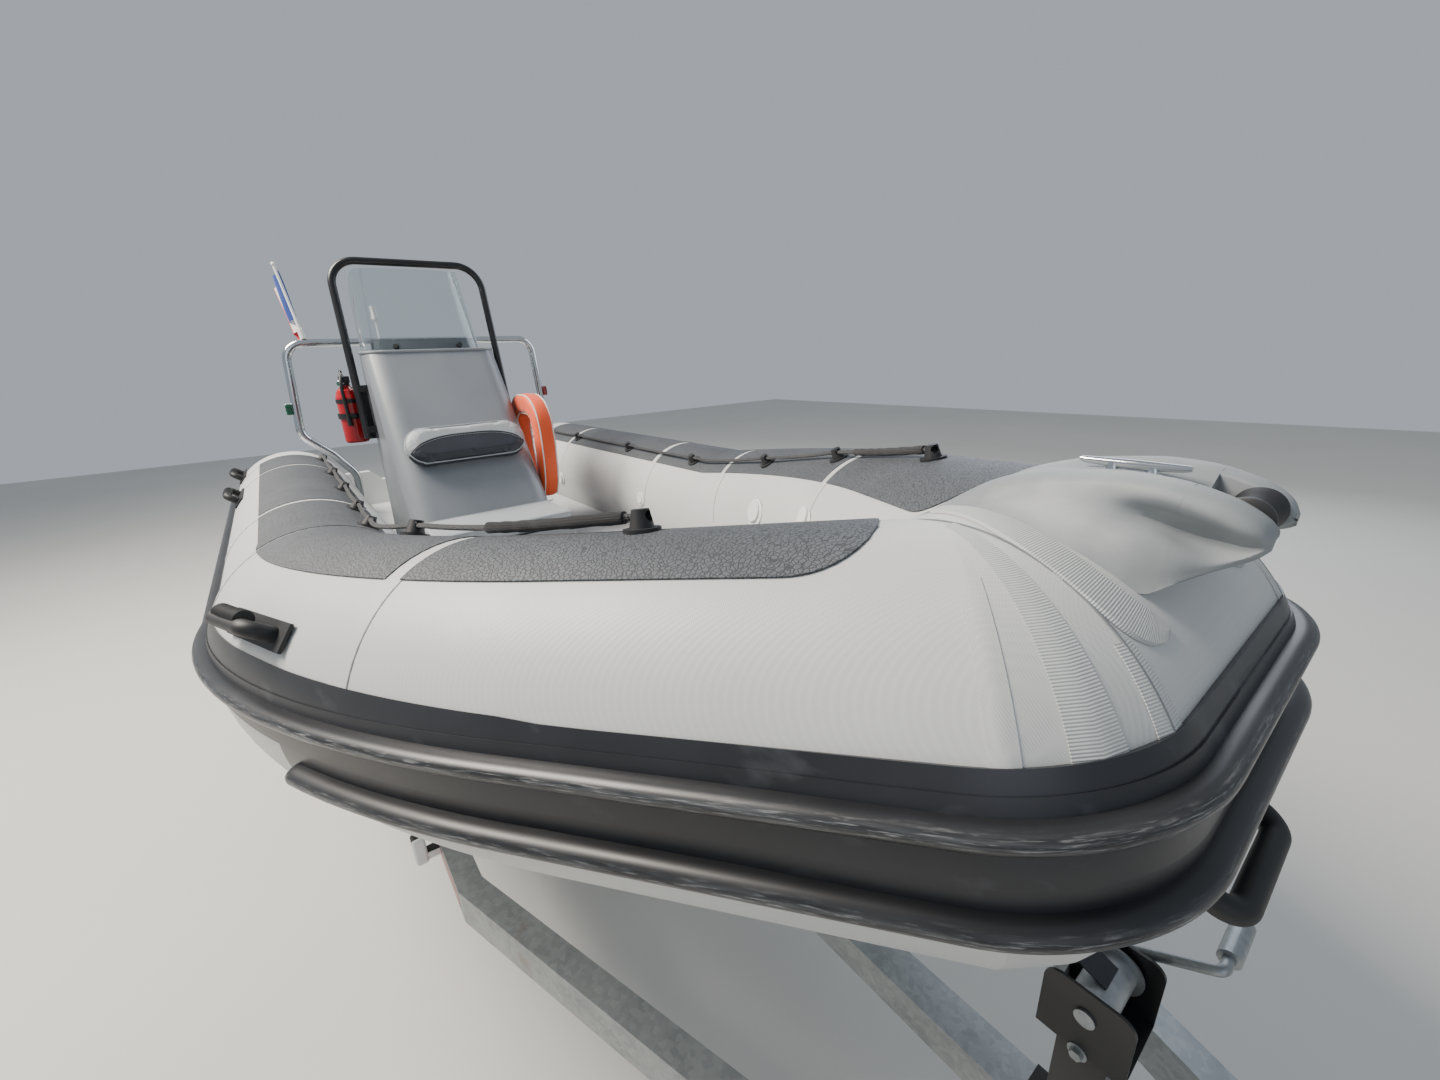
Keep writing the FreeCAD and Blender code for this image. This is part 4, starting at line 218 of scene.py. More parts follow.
# %% Collar finishes
# PVC coated polyester: satin, threads print through the coat; the 1.5 mm threads are drawn at 3.6 mm so
# that they show
tube_cloth = finish("pvc_coated_cloth", "#C6C8C7", "#BBBDBC", 0.44, patch=420, grain=2.5, depth=0.02)
# the weave's grooves are darkened: painted shade between the threads
weave(tube_cloth, 3.6, 0.14, "#A0A3A4", 0.2)
scuffs(tube_cloth, "#C9C8C2", 0.6, 0.8, (3.0, 9.0, 9.0), 0.35)
# the same cloth in black, smoother and glossier where it is wiped
band_cloth = finish("black_pvc_band", "#1D1E22", "#292B30", 0.36, patch=200, grain=2.0, depth=0.02)
scuffs(band_cloth, "#55585C", 0.6, 0.78, (3.0, 26.0, 26.0), 0.4)
# extruded rubber: deep black with chalky scuffs along the crown
strake_rubber = finish("extruded_rubber", "#1B1C1F", "#26272A", 0.36, patch=180, grain=1.5, depth=0.03, surface="UV")
strake_tree = strake_rubber.tree
across = add(strake_tree, "ShaderNodeSeparateXYZ", {"Vector": strake_rubber.spot}).outputs[1]
crown = threshold(strake_rubber, combine(strake_tree, "ABSOLUTE", across), 0.026, 0.006)
for grid, low, high, tint, strength in (((7.0, 70.0, 1.0), 0.44, 0.74, "#6B6E71", 0.7),
                                        ((26.0, 190.0, 1.0), 0.53, 0.72, "#B9BBBC", 0.55)):
    worn = result(strake_tree, "ShaderNodeTexNoise", {"Vector": stretched(strake_rubber, grid), "Scale": 1.0,
                                                      "Detail": 7.0, "Roughness": 0.62})
    worn = combine(strake_tree, "MULTIPLY", threshold(strake_rubber, worn, low, high), crown)
    stain_and_shade(strake_rubber, combine(strake_tree, "MULTIPLY", worn, strength), tint)
# moulded rubber of handles, cones and holders: matt, lightly pebbled
moulded_rubber = finish("moulded_rubber", "#17181A", "#222326", 0.55, patch=90, grain=1.2, depth=0.06)
# coated wear cloth with a raised print of small cells; the real 4 mm cells are drawn at 7 mm
pad_cloth = finish("printed_wear_cloth", "#565A60", "#4A4E54", 0.6, patch=240, grain=1.5, depth=0.02)
honeycomb(pad_cloth, 7.0, 0.5, "#2E3135")
# pressed overlap tape: the tube's cloth with cross ribs 3 mm apart, along the piece's own lengths
tape_cloth = finish("pressed_overlap_tape", "#C0C3C3", "#B4B7B7", 0.5, patch=300, surface="UV")
ribs = add(tape_cloth.tree, "ShaderNodeTexWave", {"Vector": tape_cloth.spot, "Scale": WAVE / 5.0},
           bands_direction="X").outputs["Fac"]
emboss(tape_cloth, ribs, 0.45)
# painted shade of the ribs: the one coloured cloth is darkened in step with its relief
stain_and_shade(tape_cloth, combine(tape_cloth.tree, "MULTIPLY", ribs, 0.3), "#8F9394")
# glue line: a thin dark seam that has caught dirt
seam_glue = finish("seam_glue", "#6C7074", "#7D8185", 0.6, patch=60)
print("collar finishes made, materials so far:", len(bpy.data.materials))

# %% [markdown]
# ## Finishes of the mouldings, metal and fittings
# Gelcoat is a hard glossy resin skin, so it gets a clear coat over a plain colour. Polished stainless
# steel mirrors its surroundings, while hot dip galvanised steel is dull and shows the crystals of its zinc.

# %% Moulding and metal finishes
# gelcoat: glossy resin, a little chalky with age
gelcoat_white = finish("white_gelcoat", "#E6E7E4", "#DADCD9", 0.3, patch=300, Coat_Weight=0.4, Coat_Roughness=0.15)
# the grey is the gelcoat's own grey set darker still: painted shade for the console's front, which stands in shade
gelcoat_grey = finish("grey_gelcoat_painted_shade", "#7C8187", "#71777D", 0.38, patch=320, Coat_Weight=0.35, Coat_Roughness=0.2)
scuffs(gelcoat_grey, "#92979B", 0.6, 0.8, (5.0, 5.0, 5.0), 0.3)
# grit deck: resin with a sprinkled grit that holds a little dirt; 3 mm grit drawn at 5 mm
deck_grit = finish("antislip_deck_paint", "#C4C7C8", "#B6B9BB", 0.75, patch=350, grain=5.0, depth=0.5)
specks = add(deck_grit.tree, "ShaderNodeTexVoronoi", {"Vector": deck_grit.spot, "Scale": 1000 / 9.0})
stain_and_shade(deck_grit, threshold(deck_grit, specks.outputs["Distance"], 0.28, 0.1), "#8D9296")
# rotomoulded polyethylene of the bow step: dull, sun bleached on its crowns
step_plastic = finish("weathered_moulding", "#8F9496", "#7B8083", 0.62, patch=130, grain=2.2, depth=0.1)
scuffs(step_plastic, "#AEB1B0", 0.54, 0.78, (7.0, 14.0, 9.0), 0.55)
# polished stainless steel: bright and clean, hair scratches only
stainless = finish("polished_stainless", "#CDD0D2", "#C2C6C9", 0.14, patch=80, grain=0.8, depth=0.004, metal=1.0)
# powder coated steel tube: even black with an orange peel
black_tube = finish("powder_coated_steel", "#111214", "#18191C", 0.34, patch=90, grain=3.0, depth=0.03)
# injection moulded plastics: fine spark texture
black_plastic = finish("black_moulded_plastic", "#151618", "#1D1E21", 0.45, patch=70, grain=0.9, depth=0.05)
white_plastic = finish("white_moulded_plastic", "#E2E3E1", "#D5D7D5", 0.38, patch=90, grain=0.9, depth=0.03)
# baked enamel of the extinguisher: glossy red
red_enamel = finish("red_enamel", "#B0131D", "#9C0F19", 0.22, patch=90, Coat_Weight=0.5, Coat_Roughness=0.1)
# engine paint: dark metallic lacquer
engine_paint = finish("engine_lacquer", "#2B2F35", "#343941", 0.26, patch=200, grain=0.6, depth=0.01, metal=0.35,
                      Coat_Weight=0.6, Coat_Roughness=0.08)
leg_paint = finish("leg_lacquer", "#24272C", "#2E3238", 0.38, patch=120, grain=1.0, depth=0.03, metal=0.3)
scuffs(leg_paint, "#6A6D70", 0.64, 0.74, (20.0, 20.0, 8.0), 0.6)
# hot dip galvanised steel: dull zinc crystals about 12 mm across
galvanised = finish("hot_dip_galvanised", "#9A9FA2", "#868B8E", 0.46, patch=90, grain=2.0, depth=0.05, metal=0.85)
crystals = add(galvanised.tree, "ShaderNodeTexVoronoi", {"Vector": galvanised.spot, "Scale": 1000 / 12})
crystal_tone = result(galvanised.tree, "ShaderNodeSeparateColor", {"Color": crystals.outputs["Color"]})
stain_and_shade(galvanised, threshold(galvanised, crystal_tone, 0.2, 3.2), "#B9BEC1")
rust = result(galvanised.tree, "ShaderNodeTexNoise", {"Vector": galvanised.spot, "Scale": 9.0, "Detail": 8.0})
stain_and_shade(galvanised, threshold(galvanised, rust, 0.68, 0.86), "#7A6350")
# painted steel wheel
wheel_paint = finish("silver_wheel_paint", "#B4B8BB", "#A3A7AB", 0.36, patch=60, grain=0.8, depth=0.02, metal=0.55)
tyre_rubber = finish("tyre_rubber", "#1B1B1C", "#262627", 0.78, patch=80, grain=1.6, depth=0.08)
scuffs(tyre_rubber, "#5A554E", 0.6, 0.8, (8.0, 30.0, 8.0), 0.5)
# clear acrylic: thin sheet, almost no tint
acrylic = finish("clear_acrylic", "#E9EFF0", "#E3EBEC", 0.05, patch=400, depth=0.0, Transmission_Weight=1.0, IOR=1.49)
# lenses: pressed coloured plastic with a prism pattern inside
red_lens = finish("red_lens", "#A30F14", "#8C0B10", 0.15, patch=40, Transmission_Weight=0.35, Coat_Weight=1.0)
weave(red_lens, 6.0, 0.6)
green_lens = finish("green_lens", "#11694A", "#0D5B3F", 0.15, patch=30, Transmission_Weight=0.3, Coat_Weight=1.0)
red_tape = finish("reflective_tape", "#B81A22", "#A0141C", 0.3, patch=60, surface="UV")
honeycomb(red_tape, 9.0, 0.1, "#7E0D14")
dark_glass = finish("dial_glass", "#0B0D10", "#101317", 0.08, patch=40, Coat_Weight=1.0, Coat_Roughness=0.02)
print("finishes so far:", len(bpy.data.materials))

# %% [markdown]
# ## Finishes of rope, cloth and vinyl
# Soft goods show how they were made: rope its braid, webbing its twill, vinyl a pressed leather grain.

# %% Soft finishes
# braided polyester rope, 16 strands: crossing diagonal strands along the rope's own length
rope_black = finish("braided_polyester_rope", "#18191B", "#242528", 0.8, patch=60, surface="UV", Sheen_Weight=0.3)
for turn in (0.9, -0.9):
    strand = add(rope_black.tree, "ShaderNodeTexWave",
                 {"Vector": stretched(rope_black, (420.0, 4.0, 1.0), (0.0, 0.0, turn)), "Scale": 1.0},
                 bands_direction="DIAGONAL").outputs["Fac"]
    emboss(rope_black, strand, 0.9)
# upholstery vinyl: soft, pressed with a leather grain of about 2.5 mm
vinyl_grey = finish("grey_marine_vinyl", "#A4A9AD", "#9A9FA4", 0.48, patch=200, grain=3.0, depth=0.05)
# painted shade: the grooves of the grain are darkened, on this vinyl and on the navy one below
honeycomb(vinyl_grey, 3.2, 0.08, "#8C9196")
vinyl_navy = finish("navy_marine_vinyl", "#262B33", "#2F353E", 0.5, patch=160, grain=3.0, depth=0.05)
honeycomb(vinyl_navy, 3.2, 0.1, "#1C2027")
# coated nylon of the lifebuoy's cover
orange_cloth = finish("orange_coated_nylon", "#EE5A1F", "#DC4C16", 0.55, patch=160, grain=2.0, depth=0.03,
                      Sheen_Weight=0.2)
# the weave's grooves are darkened: painted shade between the threads
weave(orange_cloth, 3.0, 0.12, "#C23E10", 0.3)
piping_white = finish("white_piping", "#DADBD8", "#CACBC8", 0.6, patch=50)
webbing = finish("polyester_webbing", "#30343A", "#3A3F46", 0.75, patch=60, surface="UV")
# the weave's grooves are darkened: painted shade between the threads
weave(webbing, 3.0, 0.4, "#1F2226", 0.4)
carpet = finish("ribbed_marine_carpet", "#34373A", "#414447", 0.95, patch=50, grain=3.0, depth=1.6, Sheen_Weight=0.5)
scuffs(carpet, "#6B6A65", 0.55, 0.8, (9.0, 9.0, 9.0), 0.4)
# woven flag bunting in three upright fields, along the cloth's own width
bunting = finish("flag_bunting", "#E9E9E6", "#DEDEDA", 0.85, patch=60, surface="UV", Sheen_Weight=0.3)
across = result(bunting.tree, "ShaderNodeSeparateXYZ", {"Vector": bunting.spot})
stain_and_shade(bunting, threshold(bunting, across, 0.332, 0.328), "#22408A")
stain_and_shade(bunting, threshold(bunting, across, 0.664, 0.668), "#C32533")
print("finishes in all:", len(bpy.data.materials))

# %% [markdown]
# ## How a piece is built
# Most added pieces are shells of points and faces: a lathe turns a profile, a grid covers a surface, a
# block has its edges rounded. A shell may gather many like parts, and becomes one object that rides on
# the part of the boat that carries it.

# %% Tools for pieces
class Shell:
    """Gathers the points, faces and surface coordinates of one piece."""

    def __init__(self):
        self.points, self.faces, self.flat = [], [], []

    def grid(self, rows, around=False, flat=None):
        """Covers rows of points with quads; around joins each row's end to its start."""
        first, wide = len(self.points), len(rows[0])
        for i, row in enumerate(rows):
            self.points += [Vector(p) for p in row]
            self.flat += list(flat[i]) if flat else [(j * 0.01, i * 0.01) for j in range(wide)]
        for i in range(len(rows) - 1):
            for j in range(wide if around else wide - 1):
                k = (j + 1) % wide
                a, b = first + i * wide, first + (i + 1) * wide
                self.faces.append((a + j, a + k, b + k, b + j))
        return self

    def rings(self, rows, flat=None):
        """A closed body through rings of points, with a face over each end."""
        first, wide = len(self.points), len(rows[0])
        self.grid(rows, around=True, flat=flat)
        self.faces.append(tuple(range(first, first + wide)))
        self.faces.append(tuple(range(len(self.points) - wide, len(self.points))))
        return self

    def plate(self, top, low, flat=None):
        """A closed thin plate between two grids of the same size."""
        first, wide, tall = len(self.points), len(top[0]), len(top)
        self.grid(top, flat=flat).grid(low, flat=flat)
        under = first + wide * tall
        rim = list(range(wide)) + [i * wide + wide - 1 for i in range(1, tall)]
        rim += [(tall - 1) * wide + j for j in range(wide - 2, -1, -1)] + [i * wide for i in range(tall - 2, 0, -1)]
        for a, b in zip(rim, rim[1:] + rim[:1]):
            self.faces.append((first + a, first + b, under + b, under + a))
        return self

    def lathe(self, profile, place, sides):
        """Turns (radius, height) pairs round the place's own Z axis; ends with no radius are closed points."""
        rows = []
        angles = [2 * math.pi * j / sides for j in range(sides)]
        for radius, height in profile:
            r = max(radius, 1e-6)
            rows.append([place @ Vector((r * math.cos(t), r * math.sin(t), height)) for t in angles])
        return self.grid(rows, around=True)

    def tube(self, line, radius, sides):
        """A round rod along a line of points, closed at both ends."""
        rows, side = [], None
        radii = radius if hasattr(radius, "__len__") else [radius] * len(line)
        for i, point in enumerate(line):
            ahead = (line[min(i + 1, len(line) - 1)] - line[max(i - 1, 0)]).normalized()
            side = ahead.orthogonal() if side is None else side - ahead * side.dot(ahead)
            side.normalize()
            other = ahead.cross(side)
            rows.append([point + (side * math.cos(t) + other * math.sin(t)) * radii[i]
                         for t in (2 * math.pi * j / sides for j in range(sides))])
        rows = [[line[0]] * sides] + rows + [[line[-1]] * sides]
        return self.grid(rows, around=True)

    def block(self, place, size, edge, steps=2):
        """A box with rounded edges, centred on a place."""
        mesh = bmesh.new()
        bmesh.ops.create_cube(mesh, size=1.0, matrix=Matrix.Diagonal((*size, 1.0)))
        bmesh.ops.bevel(mesh, geom=mesh.edges[:], offset=edge, segments=steps, profile=0.5, affect="EDGES")
        first = len(self.points)
        mesh.verts.ensure_lookup_table()
        self.points += [place @ v.co for v in mesh.verts]
        self.flat += [(v.co.x, v.co.y) for v in mesh.verts]
        self.faces += [tuple(first + v.index for v in f.verts) for f in mesh.faces]
        mesh.free()
        return self

    def piece(self, name, look, body=BOAT, slot=None, crease=38, closed=True):
        """Makes the shell one object, merges its doubles and lets it ride on a body."""
        mesh = bpy.data.meshes.new(name)
        mesh.from_pydata([tuple(p) for p in self.points], [], self.faces)
        layer = mesh.uv_layers.new(name="surface")
        for loop in mesh.loops:
            layer.data[loop.index].uv = self.flat[loop.vertex_index]
        work = bmesh.new()
        work.from_mesh(mesh)
        bmesh.ops.remove_doubles(work, verts=work.verts, dist=2e-6)
        bmesh.ops.dissolve_degenerate(work, edges=work.edges, dist=1e-7)
        if closed:
            bmesh.ops.recalc_face_normals(work, faces=work.faces)
        work.to_mesh(mesh)
        work.free()
        return placed(mesh, name, look, body, crease)


def evaluated(made):
    """A mesh of an object as its modifiers or its curve draw it."""
    bpy.context.view_layer.update()
    return bpy.data.meshes.new_from_object(made.evaluated_get(bpy.context.evaluated_depsgraph_get()))


def placed(mesh, name, look, body=BOAT, crease=38):
    """An object for a finished mesh, shaded smooth up to a crease angle, riding on its body."""
    mesh.polygons.foreach_set("use_smooth", [True] * len(mesh.polygons))
    mesh.set_sharp_from_angle(angle=math.radians(crease))
    mesh.materials.clear()
    mesh.materials.append(look.material)
    made = linked(name, mesh)
    if body:
        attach(made, body)
    return made


def facing(origin, out, up=(0, 0, 1)):
    """A place whose Z axis points out and whose Y axis leans up."""
    z = Vector(out).normalized()
    x = Vector(up).cross(z)
    x = (x if x.length > 1e-4 else z.orthogonal()).normalized()
    return Matrix.Translation(origin) @ Matrix((x, z.cross(x), z)).transposed().to_4x4()


def curved(points, steps=8):
    """A smooth line through points."""
    ends = [points[0] * 2 - points[1]] + list(points) + [points[-1] * 2 - points[-2]]
    line = []
    for a, b, c, e in zip(ends, ends[1:], ends[2:], ends[3:]):
        for k in range(steps):
            t = k / steps
            line.append(0.5 * (2 * b + (c - a) * t + (2 * a - 5 * b + 4 * c - e) * t ** 2
                               + (3 * b - 3 * c + e - a) * t ** 3))
    return line + [points[-1]]


print("piece tools ready")

# %% [markdown]
# ## Lifelines
# A black braided rope runs through moulded holders along the inner shoulder of each tube and hangs a
# little between them. A rope has one round section all the way, so a single smooth curve carries it. One
# end of each line is doubled back and whipped into a thick sleeve, a short tube read off the same curve.

# %% Lifelines
LINE_RADIUS, SLEEVE_RADIUS = 0.006, 0.0105
# the length of each line and its route's places in the frame
LINES = {
    "starboard": (3.011, [
        (-1.8060, -0.6351, 1.3694), (-1.6680, -0.6384, 1.3640), (-1.5300, -0.6398, 1.3617),
        (-1.3920, -0.6384, 1.3640), (-1.2540, -0.6351, 1.3694), (-1.1000, -0.6391, 1.3628),
        (-0.9460, -0.6391, 1.3628), (-0.7920, -0.6351, 1.3694), (-0.6503, -0.6391, 1.3628),
        (-0.5087, -0.6391, 1.3628), (-0.3670, -0.6351, 1.3694), (-0.2060, -0.6398, 1.3617),
        (-0.0778, -0.6351, 1.3710), (0.0767, -0.6471, 1.3924), (0.2287, -0.6466, 1.4164),
        (0.3802, -0.6320, 1.4446), (0.5305, -0.6044, 1.4755), (0.6883, -0.5716, 1.4962),
        (0.8437, -0.5242, 1.5187), (0.9951, -0.4628, 1.5446), (1.1433, -0.3884, 1.5725)]),
    "port": (3.030, [
        (-1.8320, 0.6351, 1.3694), (-1.6893, 0.6391, 1.3628), (-1.5467, 0.6391, 1.3628),
        (-1.4040, 0.6351, 1.3694), (-1.2470, 0.6384, 1.3640), (-1.0900, 0.6398, 1.3617),
        (-0.9330, 0.6384, 1.3640), (-0.7760, 0.6351, 1.3694), (-0.6300, 0.6384, 1.3640),
        (-0.4840, 0.6398, 1.3617), (-0.3380, 0.6384, 1.3640), (-0.1920, 0.6351, 1.3694),
        (-0.0796, 0.6384, 1.3652), (0.0577, 0.6393, 1.3818), (0.1903, 0.6298, 1.4029),
        (0.3213, 0.6092, 1.4270), (0.4587, 0.5983, 1.4465), (0.5944, 0.5741, 1.4716),
        (0.7275, 0.5378, 1.5027), (0.8690, 0.5004, 1.5208), (1.0073, 0.4501, 1.5440),
        (1.1433, 0.3884, 1.5725)]),
}


def rope_curve(name, points, radius):
    """A rope as one smooth curve that its route's points draw in."""
    curve = bpy.data.curves.new(name, "CURVE")
    curve.dimensions = "3D"
    spline = curve.splines.new("NURBS")
    spline.points.add(len(points) - 1)
    for knot, place in zip(spline.points, points):
        knot.co = (*place, 1.0)
    spline.order_u = 3
    spline.use_endpoint_u = True
    spline.resolution_u = 10
    curve.bevel_resolution = 4
    made = linked(name, curve)
    line = evaluated(made)
    path = [v.co.copy() for v in line.vertices]
    bpy.data.meshes.remove(line)
    curve.bevel_depth = radius
    curve.use_fill_caps = True
    curve.materials.append(rope_black.material)
    return made, path


def part_of(path, start, length):
    """The stretch of a line that begins a length from its end and runs back from there."""
    out, run = [], 0.0
    for a, b in zip(path[::-1], path[::-1][1:]):
        if start <= run <= start + length:
            out.append(a)
        run += (b - a).length
    return out


for side, (length, points) in LINES.items():
    line, path = rope_curve("lifeline_" + side + "_rope", points, LINE_RADIUS)
    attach(line, BOAT)
    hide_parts("lifeline_" + side)
    sleeve_line = part_of(path, 0.02, 0.34)
    lumpy = [SLEEVE_RADIUS + 0.0008 * math.sin(i * 2.1) for i in range(len(sleeve_line))]
    sleeve = Shell().tube(sleeve_line, lumpy, 14)
    sleeve = sleeve.piece("line_sleeve_" + side, rope_black, slot="rope_black", crease=60)
    print("lifeline", side, "run:", round(sum((b - a).length for a, b in zip(path, path[1:])), 3), "m")

# %% [markdown]
# ## A map of the collar
# Bands, pads and tapes all lie on the tube's skin, so one function finds any place on it: how far along
# the collar, how far round from its top, and how far off the skin. The collar is a cone, a level
# cylinder, a rising bend, a short straight side and a mitred corner of three gores, like a stovepipe.

# %% Collar map
# the tube's radius, half the beam over its axes, and the axis' height
TUBE, HALF_BEAM, AXIS = 0.265, 0.785, 1.12
# the stern cone's end, its radius and rise there, and where the cylinder starts
CONE_START, CONE_END, CONE_RISE, LEVEL_START = -0.42, 0.12, 0.05, 0.3
RISE_X, RISE_TURN, RISE_LEAD = 2.319 - STERN_SHIFT, math.radians(7.5), 0.08
BEND_RADIUS, BEND_TURN = 2.09, math.radians(32.5)
FRONT_HALF, GORES = 0.18, 3
GORE_TURN = (math.pi / 2 - BEND_TURN) / GORES
SIDE_RUN = (HALF_BEAM - FRONT_HALF - BEND_RADIUS * (1 - math.cos(BEND_TURN))) / math.sin(BEND_TURN)
# lengths of the level cylinder and of the bend along the tube's axis
LEVEL_RUN, BEND_RUN = 2.019, 1.1855
CORNER = Vector((RISE_LEAD + BEND_RADIUS * math.sin(BEND_TURN) + SIDE_RUN * math.cos(BEND_TURN), -FRONT_HALF))
# where each stretch of the collar starts, counted along it
CONE, LEVEL, LEAD, BEND, SIDE, GORE, FRONT, CENTRE = 0, 1, 2, 3, 4, 5, 7, 8


def raised(u, v, w):
    """A point of the rising forward plane: u forward, v to port, w off the plane."""
    return Vector((RISE_X + u * math.cos(RISE_TURN) - w * math.sin(RISE_TURN), v,
                   AXIS + u * math.sin(RISE_TURN) + w * math.cos(RISE_TURN)))


def collar(along, angle, off=0.0, side=-1):
    """A place on the collar: along it, degrees outboard from its top, metres off its skin."""
    turn = math.radians(angle)
    out, high = (TUBE + off) * math.sin(turn), (TUBE + off) * math.cos(turn)

    def key(number):
        if number == CONE:
            share = (CONE_END + off) / (TUBE + off)
            wide = HALF_BEAM + out * share
            return Vector((CONE_START - STERN_SHIFT, -wide, AXIS + CONE_RISE + high * share))
        if number == LEVEL:
            return Vector((LEVEL_START - STERN_SHIFT, -(HALF_BEAM + out), AXIS + high))
        if number == LEAD:
            return Vector((RISE_X - high * math.tan(RISE_TURN / 2), -(HALF_BEAM + out), AXIS + high))
        if number in (BEND, SIDE):
            return on_bend(BEND_TURN * (number - BEND))
        if number == CENTRE:
            return raised(CORNER.x + out, 0.0, high)
        heading = BEND_TURN + GORE_TURN * (number - GORE + 0.5)
        far = out / math.cos(GORE_TURN / 2)
        return raised(CORNER.x + far * math.sin(heading), CORNER.y - far * math.cos(heading), high)

    def on_bend(phi):
        reach = BEND_RADIUS + out
        return raised(RISE_LEAD + reach * math.sin(phi), BEND_RADIUS - HALF_BEAM - reach * math.cos(phi), high)

    first = min(int(along), CENTRE - 1)
    share = along - first
    place = on_bend(BEND_TURN * share) if first == BEND else key(first).lerp(key(first + 1), share)
    return Vector((place.x, -place.y * side, place.z))


def round_collar(along, angle, off=0.0, side=-1):
    """The same map with the bow corner rounded, as a strake or a band rounds it."""
    if along <= SIDE:
        return collar(along, angle, off, side)
    turn = math.radians(angle)
    out, high = (TUBE + off) * math.sin(turn), (TUBE + off) * math.cos(turn)

    def on_arc(phi):
        return raised(CORNER.x + out * math.sin(phi), CORNER.y - out * math.cos(phi), high)

    if along <= GORE:
        place = collar(SIDE, angle, off).lerp(on_arc(BEND_TURN), along - SIDE)
    elif along <= FRONT:
        place = on_arc(BEND_TURN + (math.pi / 2 - BEND_TURN) * (along - GORE) / 2)
    else:
        place = raised(CORNER.x + out, CORNER.y * (CENTRE - along), high)
    return Vector((place.x, -place.y * side, place.z))


def stretch(start, end, steps=None):
    """Counts along the collar from start to end, closer together on the bend and at each fold."""
    marks = {start, end}
    steps = steps or {CONE: 6, LEVEL: 12, LEAD: 1, BEND: 28, SIDE: 6}
    for first in range(CENTRE):
        for k in range(steps.get(first, 1) + 1):
            mark = first + k / steps.get(first, 1)
            if start < mark < end:
                marks.add(mark)
    return sorted(marks)


def level_at(x):
    """The count along the level cylinder at a distance from the stern datum, in mm."""
    return LEVEL + (x - 1000 * LEVEL_START) / (1000 * (RISE_X + STERN_SHIFT - LEVEL_START))


def count_over(length, along):
    """How much the count rises over a length in metres, on the level cylinder or on the bend."""
    return length / (LEVEL_RUN if along < LEAD else BEND_RUN)


def bend_at(degrees):
    """The count along the bend at an arc angle."""
    return BEND + math.radians(degrees) / BEND_TURN


def skin(shell, columns, rows, low, high, side, lie=collar):
    """Adds a closed plate on the collar; columns hold how far along and the two edge angles."""
    tops, lows, flat = [], [], []
    for k in range(rows + 1):
        share = k / rows
        tops.append([lie(a, one + (two - one) * share, high, side) for a, one, two in columns])
        lows.append([lie(a, one + (two - one) * share, low, side) for a, one, two in columns])
        run, line = 0.0, []
        for j, place in enumerate(tops[-1]):
            run += (place - tops[-1][j - 1]).length if j else 0.0
            line.append((run, TUBE * math.radians(columns[j][1] + (columns[j][2] - columns[j][1]) * share)))
        flat.append(line)
    shell.plate(tops, lows, flat)


print("side run:", round(SIDE_RUN, 3), "m, gore turn:", round(math.degrees(GORE_TURN), 1), "degrees")

# %% [markdown]
# ## Bands, pads and tapes on the collar
# A wide black band of coated cloth is glued round the outside, and the two rubber strakes sit on it.
# Pads of printed cloth cover the tops, where people step. Each band or pad is a thin closed plate bent
# over the map, so it has a real edge that catches the light.

# %% Black band
def band_top(along):
    """The band's upper edge in degrees: a little lower round the tube at the bow than along the side."""
    return 64.0 + 4.7 * min(1.0, max(0.0, (along - 3.55) / 0.6))


def over_folds(along, angle, off, side):
    """On the rounded corner, thick enough there to lie over the tube's folds."""
    lift = min(1.0, max(0.0, (along - SIDE - 0.55) * 3)) if off > 0.001 else 0.0
    return round_collar(along, angle, off + 0.0038 * lift, side)


band = Shell()
fine_bow = {CONE: 6, LEVEL: 12, LEAD: 1, BEND: 28, SIDE: 8, GORE: 8, GORE + 1: 8, FRONT: 3}
for side in (-1, 1):
    marks = stretch(CONE + 0.02, CENTRE, fine_bow)
    forward = stretch(bend_at(20), CENTRE, fine_bow)
    skin(band, [(a, band_top(a), 92.0) for a in marks], 8, 0.0002, 0.0024, side, over_folds)
    skin(band, [(a, 73.6, 78.4) for a in marks[1:]], 2, 0.002, 0.0044, side, over_folds)
    skin(band, [(a, 92.0, 103.6) for a in forward], 4, 0.0002, 0.0018, side, over_folds)
band = band.piece("outer_band", band_cloth, slot="rubber_black", crease=25)
print("band faces:", len(band.data.polygons))

# %% Wear pads
PAD_EDGES = (-42.0, 28.0)
# columns: where a pad starts and ends along the collar, and how long its round front end is
PADS = [(level_at(497), level_at(905), 0.0), (level_at(939), level_at(1910), 0.0),
        (level_at(1944), bend_at(2.3), 0.0), (bend_at(3.1), bend_at(24.3), 0.0),
        (bend_at(25.3), SIDE + 0.86, 0.24)]


def pad_columns(start, end, nose):
    """A pad's columns: square with small round corners, or with one round front end."""
    middle, half = sum(PAD_EDGES) / 2, (PAD_EDGES[1] - PAD_EDGES[0]) / 2
    marks = stretch(start, end, {LEVEL: 60, LEAD: 3, BEND: 60, SIDE: 40})
    round_start = end - nose
    columns = []
    for a in marks:
        cut = 0.0
        if nose and a > round_start:
            cut = 1 - math.sqrt(max(0.0, 1 - ((a - round_start) / nose) ** 2.3))
        columns.append((a, middle - half * (1 - cut), middle + half * (1 - cut)))
    return columns


pads = Shell()
for side in (-1, 1):
    for start, end, nose in PADS:
        skin(pads, pad_columns(start, end, nose), 18, 0.0003, 0.0031, side)
pads = pads.piece("printed_wear_pads", pad_cloth, slot="pad_grey", crease=25)
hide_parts("wear_pads")
print("pad faces:", len(pads.data.polygons))

